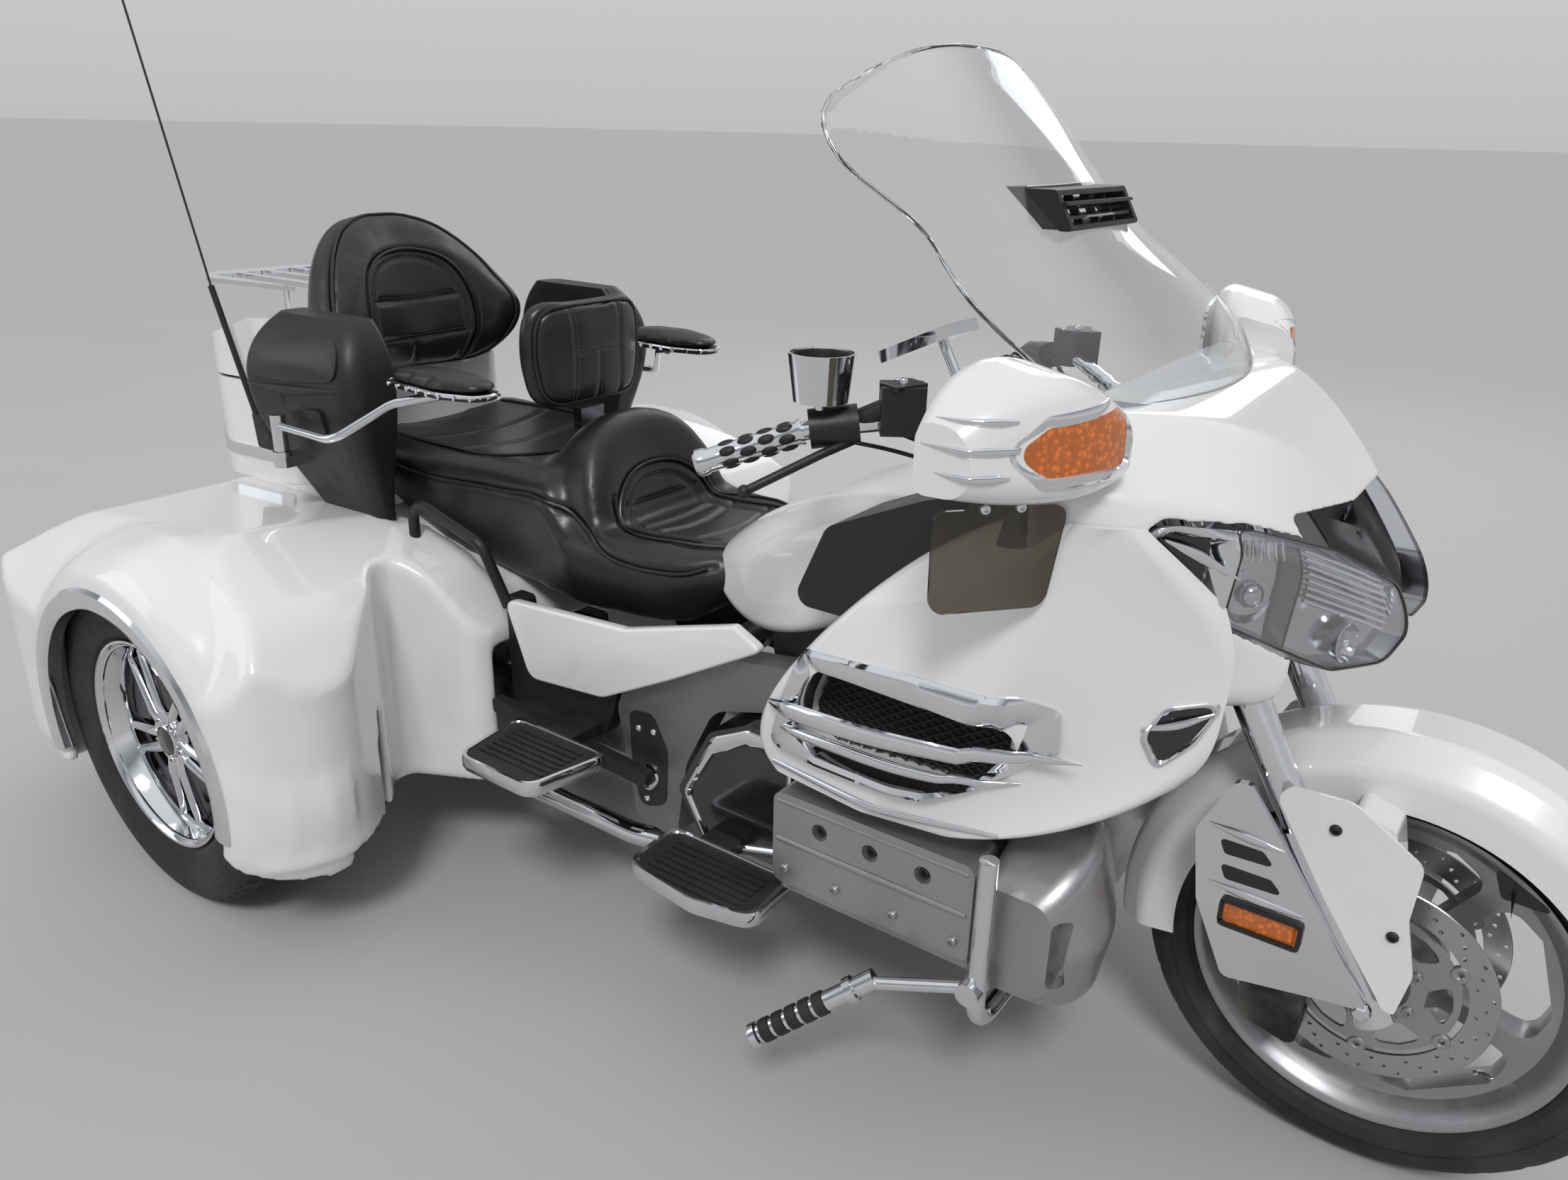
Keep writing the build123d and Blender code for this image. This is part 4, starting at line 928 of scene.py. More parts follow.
@dataclass
class Upholstery:
    """Tools for padded leather: swelling, sewn grooves, piping and stitches."""

    voxel: float = 0.006
    groove: float = 0.0035
    groove_width: float = 0.006
    piping: float = 0.0032
    stitch: float = 0.0065
    stitch_gap: float = 0.0045
    thread: float = 0.0007
    stretch_stiffness: float = 25
    bending_stiffness: float = 2
    frames: int = 20

    def swollen(self, form: Form, cap: float, pressure: float = 4.0) -> Form:
        """Blow a form up as stuffed cloth.

        Args:
            form: Slightly undersized form.
            cap: Furthest that a point may move.
            pressure: Air pressure of the simulation.

        Returns:
            The swollen form with one refinement.
        """
        base = form.modified("REMESH", mode="VOXEL", voxel_size=self.voxel)
        base = base.modified("SMOOTH", factor=0.5, iterations=6)
        holder = bpy.data.objects.new("cloth", base.mesh)
        bpy.context.scene.collection.objects.link(holder)
        cloth = holder.modifiers.new("cloth", "CLOTH")
        cloth.settings.use_pressure = True
        cloth.settings.uniform_pressure_force = pressure
        cloth.settings.effector_weights.gravity = 0
        cloth.settings.tension_stiffness = self.stretch_stiffness
        cloth.settings.compression_stiffness = self.stretch_stiffness
        cloth.settings.bending_stiffness = self.bending_stiffness
        for number in range(1, self.frames + 1):
            bpy.context.scene.frame_set(number)
        evaluated = holder.evaluated_get(bpy.context.evaluated_depsgraph_get())
        moved = np.zeros(len(base.mesh.vertices) * 3)
        evaluated.data.vertices.foreach_get("co", moved)
        rest = np.zeros(len(base.mesh.vertices) * 3)
        base.mesh.vertices.foreach_get("co", rest)
        step = (moved - rest).reshape(-1, 3)
        length = np.linalg.norm(step, axis=1, keepdims=True)
        step *= np.minimum(1, cap / np.maximum(length, 1e-9))
        bpy.data.objects.remove(holder)
        base.mesh.vertices.foreach_set("co", (rest.reshape(-1, 3) + step).ravel())
        bpy.context.scene.frame_set(1)
        return base.modified("SMOOTH", factor=0.5, iterations=4).smoothed(1)

    def projected(self, form: Form, line: Sequence[Point], ray: Point, steps: int = 10,
                  cyclic: bool = False) -> list[Vector]:
        """Smooth line dropped onto a form.

        Args:
            form: The cushion.
            line: Points in front of the surface.
            ray: Direction in which they drop onto it.
            steps: Steps between two points.
            cyclic: Whether the line closes on itself.

        Returns:
            Points on the surface.
        """
        tree = form.surface()
        found = []
        for spot in curve_through(line, steps, cyclic):
            hit = tree.ray_cast(Vector(spot), Vector(ray).normalized())[0]
            if hit is not None:
                found.append(hit)
        return found

    def sewn(self, form: Form, seams: Sequence[Sequence[Vector]]) -> Form:
        """Press grooves into a cushion along its seams.

        Args:
            form: The cushion.
            seams: Lines on its surface.

        Returns:
            The same cushion.
        """
        tree = kd_tree([spot for seam in seams for spot in densified(seam, self.groove_width / 3)])
        mesh = form.mesh
        places, normals = read_vectors(mesh.vertices, "co"), read_vectors(mesh.vertices, "normal")
        for index, spot in enumerate(places):
            distance = tree.find(spot)[2]
            if distance < 3 * self.groove_width:
                places[index] -= normals[index] * self.groove * exp(-(distance / self.groove_width) ** 2)
        mesh.vertices.foreach_set("co", places.ravel())
        return form

    def beaded(self, seam: Sequence[Vector], cyclic: bool = False) -> Form:
        """Piping along a seam."""
        return Form.tube(resampled(seam, 0.012), self.piping, 8, 0, cyclic)

    def stitched(self, form: Form, seam: Sequence[Vector]) -> Form:
        """Row of stitches at each side of a seam.

        Args:
            form: The cushion.
            seam: Line on its surface.

        Returns:
            The stitches.
        """
        tree = form.surface()
        line = resampled(seam, self.stitch)
        points: list[Vector] = []
        faces: list[tuple[int, ...]] = []
        for here, there in zip(line, line[1:]):
            along = (there - here).normalized()
            side = tree.find_nearest(here)[1].cross(along).normalized()
            for sign in (-1, 1):
                spot, up = tree.find_nearest((here + there) / 2 + side * sign * self.stitch_gap)[:2]
                wide, long = side * self.thread, along * self.stitch * 0.33
                first = len(points)
                points += [spot - long - wide, spot - long + wide, spot + long + wide, spot + long - wide,
                           spot - long * 0.7 + up * 0.0008, spot + long * 0.7 + up * 0.0008]
                faces += [(first, first + 1, first + 4), (first + 1, first + 2, first + 5, first + 4),
                          (first + 2, first + 3, first + 5), (first + 3, first, first + 4, first + 5)]
        return Form.of(points, faces)

    def threads(
            self, name: str, made: bpy.types.Object, seams: Iterable[Sequence[Vector]], body: Body) -> None:
        """Lay numbered rows of stitches on a finished cushion.

        Args:
            name: Start of the pieces' names.
            made: The cushion.
            seams: Lines on its surface.
            body: The body that it rides on.
        """
        surface = Form(made.data.copy()).shifted(-AXLE_X)
        for number, seam in enumerate(seams):
            piece(f"{name}_{number}", self.stitched(surface, seam), THREAD, body)


def read_vectors(items: Any, name: str) -> np.ndarray:
    """Array of one vector property of many mesh elements.

    Args:
        items: The mesh's elements.
        name: The property.

    Returns:
        One row per element.
    """
    values = np.zeros(len(items) * 3)
    items.foreach_get(name, values)
    return values.reshape(-1, 3)


def densified(line: Sequence[Vector], step: float) -> list[Vector]:
    """Line with points no further apart than a step.

    Args:
        line: The line's points.
        step: The longest gap.

    Returns:
        The points.
    """
    out = []
    for here, there in zip(line, line[1:]):
        count = max(1, int((there - here).length / step))
        out += [here.lerp(there, k / count) for k in range(count)]
    return [*out, line[-1]]


def resampled(line: Sequence[Vector], step: float) -> list[Vector]:
    """Line with evenly spaced points.

    Args:
        line: The line's points.
        step: Gap between two new points.

    Returns:
        The points.
    """
    out = [Vector(line[0])]
    left = step
    for here, there in zip(line, line[1:]):
        length = (there - here).length
        while length >= left > 0:
            here = here.lerp(there, left / length)
            length -= left
            out.append(here.copy())
            left = step
        left -= length
    return out


def kd_tree(spots: Sequence[Vector]) -> KDTree:
    """Search tree of points.

    Args:
        spots: The points.

    Returns:
        The tree.
    """
    tree = KDTree(len(spots))
    for index, spot in enumerate(spots):
        tree.insert(spot, index)
    tree.balance()
    return tree


REARWARD: Point = (-1, 0, 0)
CUSHION_EDGE = 70


def pillow(outline: Sequence[Point], place: Callable[[float, float, float], Point], thickness: float,
           rings: int = 10, power: float = 3.0) -> Form:
    """Crowned closed form with an outline.

    Args:
        outline: Points (first, second) round the form.
        place: Gives the point in space for (first, second, distance from the middle surface).
        thickness: Thickness at the middle.
        rings: Rings from the middle to the edge.
        power: Higher is flatter with a tighter edge.

    Returns:
        The form.
    """
    middle = np.mean(np.array(outline), axis=0)
    made = []
    shares = [sin(pi / 2 * k / rings) for k in range(1, rings + 1)]
    for side, order in ((1, shares), (-1, shares[-2::-1])):
        for share in order:
            rise = side * thickness / 2 * max(0.0, 1 - share ** power) ** (1 / 2)
            made.append([place(*(middle + (np.array(p) - middle) * share), rise) for p in outline])
    return Form.rows(made)


@dataclass
class RiderBackrest:
    """Rider's backrest: a split pad with piping round its face."""

    half_width: float = 0.15
    low: float = 0.872
    high: float = 1.07
    middle_x: float = -1.489
    ahead: float = -1.2
    thickness: float = 0.062
    swell: float = 0.007
    cloth: Upholstery = field(default_factory=lambda: Upholstery(voxel=0.0062))

    def build(self) -> None:
        """Build the pad, its seams and piping."""
        w, low, high = self.half_width, self.low, self.high
        middle = (low + high) / 2
        flat = rounded_outline([(-w + 0.02, low, 0.05), (w - 0.02, low, 0.05), (w, middle, 0.2),
                                (w - 0.012, high, 0.055), (-w + 0.012, high, 0.055), (-w, middle, 0.2)], 6)
        base = pillow(flat, lambda y, z, d: (self.middle_x - 0.9 * y * y + d, y, z), self.thickness, 10, 5)
        body = self.cloth.swollen(base, self.swell)
        rim = [(self.ahead, y * 0.9, middle + (z - middle) * 0.88) for y, z in flat]
        edge = self.cloth.projected(body, rim, REARWARD, 1, True)
        mid = middle + 0.004
        seams = [edge + edge[:1]]
        for line in (
                [(-0.062, low + 0.012), (-0.058, mid), (-0.06, high - 0.012)],
                [(0.062, low + 0.012), (0.058, mid), (0.06, high - 0.012)],
                [(-0.058, mid), (0, mid + 0.003), (0.058, mid)], [(0, mid), (0, low + 0.012)]):
            seams.append(self.cloth.projected(body, [(self.ahead, y, z) for y, z in line], REARWARD))
        body = self.cloth.sewn(body, seams)
        made = piece("rider_backrest_pad", body, LEATHER, Body.CHASSIS, ["rider_backrest"], CUSHION_EDGE)
        piece("rider_backrest_piping", self.cloth.beaded(edge, True), PIPING, Body.CHASSIS)
        self.cloth.threads("rider_backrest_stitches", made, seams[1:], Body.CHASSIS)


@dataclass
class PassengerBackrest:
    """Tall wrap-round backrest with an arched inner panel of three pads."""

    cloth: Upholstery = field(
        default_factory=lambda: Upholstery(voxel=0.008, groove=0.005, groove_width=0.0065))
    thickness: float = 0.105
    swell: float = 0.01
    middle_x: float = -2.043
    ahead: float = -1.6
    half: tuple[tuple[float, float], ...] = (
        (0.0, 1.192), (0.06, 1.188), (0.125, 1.165), (0.18, 1.115), (0.215, 1.06), (0.243, 1.0),
        (0.235, 0.95), (0.205, 0.905), (0.16, 0.872), (0.09, 0.862))
    half_panel: tuple[tuple[float, float], ...] = (
        (-0.098, 0.875), (-0.112, 0.96), (-0.104, 1.03), (-0.07, 1.082), (0.0, 1.1))
    cross_seams: tuple[tuple[tuple[float, float], ...], ...] = (
        ((-0.106, 1.022), (0.0, 1.015), (0.106, 1.022)), ((-0.112, 0.945), (0.0, 0.938), (0.112, 0.945)),
        ((0.0, 0.938), (0.0, 0.872)))

    def place(self, y: float, z: float, out: float) -> Point:
        """Point of the curved pad, which leans back and wraps forward at its sides.

        Args:
            y: Sideways place.
            z: Height.
            out: Distance in front of the middle surface.

        Returns:
            The point.
        """
        lean = -0.16 * (z - 0.95)
        wrap = 2.05 * y * y
        slope = 4.1 * y
        size = hypot(1, slope)
        return (self.middle_x + lean + wrap + out / size, y - out * slope / size, z)

    def dropped(self, form: Form, line: Sequence[tuple[float, float]], steps: int = 8,
                cyclic: bool = False) -> list[Vector]:
        """Smooth line through (y, z) points, dropped onto the pad's face."""
        return self.cloth.projected(form, [(self.ahead, y, z) for y, z in line], REARWARD, steps, cyclic)

    def build(self) -> None:
        """Build the pad, its panel, seams and piping."""
        half = list(self.half)
        ring = curve_through(half + [(0.0, 0.862)] + [(-y, z) for y, z in half[:0:-1]], 3, True)
        body = self.cloth.swollen(pillow(ring, self.place, self.thickness, 12, 6), self.swell)
        panel = mirrored_line(self.half_panel)
        outer = [(y * 1.17, z + (0.016 if z > 1.0 else 0)) for y, z in panel]
        seams = [self.dropped(body, line) for line in (panel, outer, *self.cross_seams)]
        rim = self.dropped(body, [(y * 0.93, 1.02 + (z - 1.02) * 0.93) for y, z in ring[::2]], 2, True)
        body = self.cloth.sewn(body, seams + [rim + rim[:1]])
        made = piece(
            "passenger_backrest_pad", body, LEATHER, Body.TRUNK_LID, ["passenger_backrest"], CUSHION_EDGE)
        beads = self.cloth.beaded(rim, True) + self.cloth.beaded(seams[1])
        piece("passenger_backrest_piping", beads, PIPING, Body.TRUNK_LID)
        self.cloth.threads("passenger_backrest_stitches", made, (seams[0], *seams[2:4]), Body.TRUNK_LID)


@dataclass
class Seat:
    """Two-up seat: the rider's dish with its arched lumbar wall, and the passenger's bench."""

    cloth: Upholstery = field(
        default_factory=lambda: Upholstery(voxel=0.0095, groove=0.0045, groove_width=0.007))
    swell: float = 0.006
    start: float = -1.958
    end: float = -0.998
    sections: int = 110
    widths: tuple[Point, ...] = (
        (-1.965, 0.252), (-1.7, 0.252), (-1.52, 0.216), (-1.32, 0.226), (-1.14, 0.205), (-1.04, 0.16),
        (-0.995, 0.1))
    bottoms: tuple[Point, ...] = (
        (-1.965, 0.735), (-1.85, 0.69), (-1.54, 0.572), (-1.13, 0.572), (-1.04, 0.625), (-0.995, 0.66))
    # Halves of the seams as (y, z) on the lumbar wall, (y, x) on top and (x, z) on the skirt.
    wall_arch: tuple[tuple[float, float], ...] = ((-0.128, 0.75), (-0.105, 0.8), (-0.06, 0.833), (0, 0.843))
    dish: tuple[tuple[float, float], ...] = (
        (-0.125, -1.31), (-0.155, -1.22), (-0.14, -1.12), (-0.08, -1.045), (0, -1.03))
    bench: tuple[tuple[float, float], ...] = ((-0.16, -1.92), (-0.18, -1.75), (-0.15, -1.58), (0, -1.525))
    skirt: tuple[tuple[float, float], ...] = (
        (-1.9, 0.772), (-1.7, 0.748), (-1.52, 0.742), (-1.4, 0.745), (-1.25, 0.675), (-1.12, 0.668),
        (-1.06, 0.685))

    def top(self, x: float, y: float) -> float:
        """Height of the seat's upper surface.

        Args:
            x: Place along the seat.
            y: Sideways place.

        Returns:
            The height.
        """
        dish = 0.684 + 0.1 * max(0, x + 1.22) + 0.55 * y * y * (1 if x < -1.05 else 0.6)
        bench = 0.772 + 0.35 * y * y + 0.05 * max(0, -x - 1.86)
        front = 1 / (1 + exp((x + 1.375) * -90)) if x > -1.5 else 0.0
        floor = bench + (dish - bench) * front
        arch = max(0.0, 1 - (abs(y) / 0.198) ** 2.6) ** 0.5
        crest = 0.655 + 0.212 * arch
        ahead = x - (-1.392 + 1.5 * y * y)
        fall = (ahead / (0.062 if ahead > 0 else 0.13)) ** 2
        wall = crest - 0.11 * min(fall, 4)
        blend = 0.012
        return max(floor, wall) + blend * exp(-abs(floor - wall) / blend) * 0.5

    def section(self, x: float) -> list[Point]:
        """Closed section of the seat.

        Args:
            x: Place along the seat.

        Returns:
            Points round the section.
        """
        half, low = table_curve(self.widths, x), table_curve(self.bottoms, x)
        ring: list[Point] = []
        for share in [sin(pi / 2 * k / 22) for k in range(-22, 23)]:
            y = share * half
            roll = max(0.0, (abs(share) - 0.72) / 0.28)
            ring.append((x, y, max(low + 0.03, self.top(x, y) - 0.055 * (1 - sqrt(max(0, 1 - roll ** 2))))))
        edge = ring[-1][2]
        ring += [(x, half * (1 - 0.03 * k), edge + (low - edge) * k / 4) for k in range(1, 5)]
        ring += [(x, half * s, low) for s in (0.6, 0.2, -0.2, -0.6)]
        edge = ring[0][2]
        return ring + [(x, -half * (1 - 0.03 * k), edge + (low - edge) * k / 4) for k in range(4, 0, -1)]

    def across(self, form: Form, half: Sequence[tuple[float, float]]) -> list[Vector]:
        """Seam dropped from above, from the (y, x) points of its right half."""
        return self.cloth.projected(form, [(x, y, 1) for y, x in mirrored_line(half)], (0, 0, -1))

    def on_wall(self, form: Form, line: Sequence[tuple[float, float]]) -> list[Vector]:
        """Seam of (y, z) points dropped onto the lumbar wall from the front."""
        return self.cloth.projected(form, [(-1.1, y, z) for y, z in line], (-1, 0, -0.25))

    def build(self) -> None:
        """Build the seat, its seams, piping and stitches."""
        cloth = self.cloth
        places = np.linspace(self.start, self.end, self.sections)
        body = cloth.swollen(Form.rows([self.section(float(x)) for x in places]), self.swell)
        wall = self.on_wall(body, mirrored_line([(-0.125, 0.705), *self.wall_arch]))
        inner = self.on_wall(
            body,
            [(y * 0.76, 0.7 + (z - 0.7) * 0.8) for y, z in mirrored_line([(-0.125, 0.7), *self.wall_arch])])
        bars = [self.on_wall(body, [(-0.093, z), (0, z - 0.004), (0.093, z)]) for z in (0.735, 0.775)]
        dish, bench = self.across(body, self.dish), self.across(body, self.bench)
        cross = [self.across(body, [(-0.13, x), (0, x + 0.02)]) for x in (-1.235, -1.15)]
        rows = [self.across(body, [(-0.16, x), (0, x + 0.015)]) for x in (-1.66, -1.78)]
        skirt = [cloth.projected(body, [(x, s * 0.6, z) for x, z in self.skirt], (0, -s, 0)) for s in (-1, 1)]
        body = cloth.sewn(body, [wall, inner, *bars, dish, *cross, bench, *rows, *skirt])
        made = piece("seat_cover", body, LEATHER, Body.CHASSIS, ["seat"], CUSHION_EDGE)
        piece(
            "seat_piping", joined(cloth.beaded(line) for line in (wall, dish, bench, *skirt)), PIPING,
            Body.CHASSIS)
        cloth.threads("seat_stitches", made, (inner, *bars, *cross, *rows), Body.CHASSIS)


@dataclass
class Armrest:
    """One passenger armrest: its padded top, the tray under it and its bright edge strip."""

    side: int
    cloth: Upholstery = field(default_factory=lambda: Upholstery(voxel=0.0052))
    swell: float = 0.005
    level: float = 0.9525
    thickness: float = 0.026
    tray: tuple[float, float] = (0.9323, 0.9425)
    corners: tuple[Point, ...] = (
        (-1.66, 0.262, 0.03), (-1.66, 0.326, 0.03), (-1.5, 0.342, 0.08), (-1.424, 0.32, 0.035),
        (-1.424, 0.268, 0.035), (-1.5, 0.248, 0.08))

    def build(self) -> None:
        """Build the pad, the tray under it and its bright edge."""
        s = self.side
        name, body = ("left", Body.ARM_LEFT) if s > 0 else ("right", Body.ARM_RIGHT)
        plan = rounded_outline([(x, s * y, r) for x, y, r in self.corners], 6)
        base = pillow(plan, lambda x, y, d: (x, y, self.level + max(d, -0.01)), self.thickness, 8, 4)
        top = self.cloth.swollen(base, self.swell)
        made = piece(f"armrest_cushion_{name}", top, LEATHER, body, [f"armrest_pad_{name}"], CUSHION_EDGE)
        piece(
            f"armrest_tray_{name}", Form.rows([[(x, y, z) for x, y in plan] for z in self.tray]), BLACK,
            body)
        ring = Form.tube([(x, y, 0.94) for x, y in plan[::2]], 0.0035, 8, 2, True)
        beads = [
            Form.turned(
                [(0, -0.002), (0.004, -0.002), (0.004, 0.002), (0, 0.0035)],
                (x, y + 0.004 * (1 if y * s > 0.29 else -1) * s, 0.938), (0, s, 0), 10, closed=False)
            for x, y in resample_plan(plan, 0.03)]
        piece(f"armrest_edge_{name}", joined([ring, *beads]), CHROME, body)


def resample_plan(plan: Sequence[Point], step: float) -> list[tuple[float, float]]:
    """Evenly spaced points of a flat outline."""
    line = [Vector((*p, 0)) for p in [*plan, plan[0]]]
    return [(p.x, p.y) for p in resampled(line, step)]


@dataclass
class Tyre:
    """One tyre with its tread and sidewall ribs."""

    name: str
    node: str
    body: Body
    centre: Point
    radius: float
    half: float
    rim: float
    rim_half: float
    flat: float
    pitch: float
    grooves: tuple[float, ...]
    steps: int = 300
    depth: float = 0.0045
    slant: float = 0.45

    def profile(self) -> list[tuple[float, float]]:
        """Half section from the crown to the bead, as (radius, sideways).

        Returns:
            The section's corners.
        """
        r, h, f = self.radius, self.half, self.flat
        knots = [
            (r, 0.0), (r - 0.0005, f * 0.6), (r - 0.003, f), (r - 0.012, f + (h - f) * 0.55),
            (r - 0.028, h - 0.004), (r - 0.045, h - 0.0003), ((r + self.rim) / 2 - 0.004, h - 0.0005),
            (self.rim + 0.014, h - 0.007), (self.rim + 0.006, self.rim_half - 0.003),
            (self.rim - 0.004, self.rim_half - 0.0085), (self.rim - 0.0125, self.rim_half - 0.012)]
        return [(p[0], p[1]) for p in curve_through(knots, 5)]

    def relief(self, around: float, side: float) -> float:
        """Depth of the tread.

        Args:
            around: Distance round the tyre.
            side: Distance from its middle.

        Returns:
            The depth below the crown.
        """
        edge = self.flat + (self.half - self.flat) * 0.55
        if abs(side) > edge:
            return 0.0
        for groove in self.grooves:
            if abs(abs(side) - groove) < 0.0035:
                return self.depth
        turn = (around + abs(side) * self.slant * (1 if side > 0 else -1)) % self.pitch
        inner = min(self.grooves) + 0.004 if self.grooves else 0.008
        return self.depth * 0.85 if turn < self.pitch * 0.16 and abs(side) > inner else 0.0

    def build(self) -> None:
        """Build the tyre."""
        half = self.profile()
        section = [(r, -y) for r, y in reversed(half)] + half[1:]
        crown, wall = self.radius - 0.02, self.radius - 0.03
        fine: list[tuple[float, float]] = []
        for (r0, y0), (r1, y1) in zip(section, section[1:]):
            count = max(1, round(hypot(r1 - r0, y1 - y0) / 0.0032)) if r0 > crown else 1
            fine += [(r0 + (r1 - r0) * k / count, y0 + (y1 - y0) * k / count) for k in range(count)]
        back, lip = self.radius - 0.022, self.rim_half - 0.02
        section = [*fine, section[-1], (back, lip), (back, -lip)]
        cx, cy, cz = self.centre
        rings = []
        for k in range(self.steps):
            angle = 2 * pi * k / self.steps
            ring = []
            for r, y in section:
                deep = self.relief(angle * self.radius, y) if r > crown else 0.0
                rib = 0.0008 if r < wall and int((r - self.rim) / 0.004) % 4 == 0 else 0.0
                ring.append((cx + (r - deep) * cos(angle), cy + y - rib * (1 if y > 0 else -1),
                             cz + (r - deep) * sin(angle)))
            rings.append(ring)
        piece(self.name, Form.rows(rings, looped=True, capped=False), TYRE, self.body, [self.node], 30)


def spin(form: Form, centre: Point, angle: float) -> Form:
    """A form turned about a cross-wise axle by an angle in degrees."""
    there = Matrix.Translation(centre)
    return form.moved(there @ Matrix.Rotation(radians(angle), 4, "Y") @ there.inverted())


@dataclass
class RearWheel:
    """Chrome rear wheel: dished rim, five pairs of pointed spokes and a dark cap."""

    side: int
    centre_x: float = -1.888
    centre_z: float = 0.314
    face: float = 0.72
    radius: float = 0.198
    spoke_rows: tuple[Point, ...] = (
        # radius, half width, height over the face, share of the pair's spread
        (0.03, 0.011, -0.028, 0.62), (0.06, 0.0105, -0.026, 0.8), (0.1, 0.0095, -0.03, 1.0),
        (0.15, 0.0085, -0.035, 1.22), (0.17, 0.004, -0.037, 1.32))

    def _at(self, r: float, across: float, y: float) -> Point:
        """Point at a radius, sideways offset and distance from the middle plane."""
        return (self.centre_x + r, self.side * y, self.centre_z + across)

    def lathe(self, rows: Sequence[tuple[float, float]], steps: int = 48, closed: bool = True) -> Form:
        """Rows of (radius, distance from the middle plane) turned about the axle."""
        profile = [(r, y * self.side) for r, y in rows]
        return Form.turned(profile, (self.centre_x, 0, self.centre_z), steps=steps, closed=closed)

    def spoke(self, offset: float) -> Form:
        """One ridged spoke, pointed at its outer end.

        Args:
            offset: Distance from the middle line of its pair.

        Returns:
            The spoke.
        """
        rings = []
        for r, half, y, spread in self.spoke_rows:
            mid, top = offset * spread, self.face + y
            rings.append([self._at(r, mid + half * share, top - drop) for share, drop in (
                (-1, 0.024), (-1, 0.006), (-0.35, 0), (0.35, 0), (1, 0.006), (1, 0.024))])
        return Form.rows(rings).bevelled(0.0015, 2)

    def build(self) -> None:
        """Build the rim, spokes, nuts and cap."""
        s = self.side
        name, body = ("left", Body.REAR_LEFT) if s > 0 else ("right", Body.REAR_RIGHT)
        centre = (self.centre_x, 0, self.centre_z)
        out, back = self.face, self.face - 0.194
        r = self.radius
        rim = [(r, out), (0.1935, out), (0.1905, out - 0.003), (0.187, out - 0.01), (0.176, out - 0.024),
               (0.17, out - 0.045), (0.168, out - 0.08), (0.172, out - 0.12), (0.184, back + 0.012),
               (0.19, back), (r, back), (r, back + 0.005), (0.186, back + 0.009), (0.186, back + 0.03),
               (0.176, back + 0.05), (0.176, out - 0.045), (0.186, out - 0.028), (0.186, out - 0.008),
               (r, out - 0.004)]
        pair = self.spoke(0.019) + self.spoke(-0.019)
        hub = [(0, out - 0.03), (0.05, out - 0.03), (0.052, out - 0.036), (0.052, out - 0.055),
               (0.046, out - 0.1), (0, out - 0.1)]
        nuts = []
        for number in range(5):
            angle = radians(54 + 72 * number)
            spot = (self.centre_x + 0.04 * cos(angle), s * (out - 0.031), self.centre_z + 0.04 * sin(angle))
            nuts.append(bolt(spot, (0, s, 0), 0.0065, 0.007))
        wheel = [self.lathe(rim, 96), *(spin(pair, centre, 18 + 72 * number) for number in range(5)),
                 self.lathe(hub, closed=False), *nuts]
        piece(f"rear_wheel_chrome_{name}", joined(wheel), CHROME, body, [f"rear_rim_{name}"])
        cap = [
            (0, out - 0.018), (0.021, out - 0.019), (0.026, out - 0.022), (0.028, out - 0.03),
            (0, out - 0.03)]
        piece(f"rear_wheel_cap_{name}", self.lathe(cap, closed=False), GLOSS_BLACK, body)
        ring = [(0.0275, out - 0.0215), (0.03, out - 0.0235), (0.031, out - 0.031), (0.0275, out - 0.031)]
        piece(f"rear_wheel_cap_ring_{name}", self.lathe(ring), CHROME, body)
        valve = Form.tube(
            [self._at(0.172, 0.02, out - 0.04), self._at(0.15, 0.022, out - 0.03)], [0.003, 0.0025], 10, 0)
        piece(f"rear_wheel_valve_{name}", spin(valve, centre, 200), GRIP_RUBBER, body)


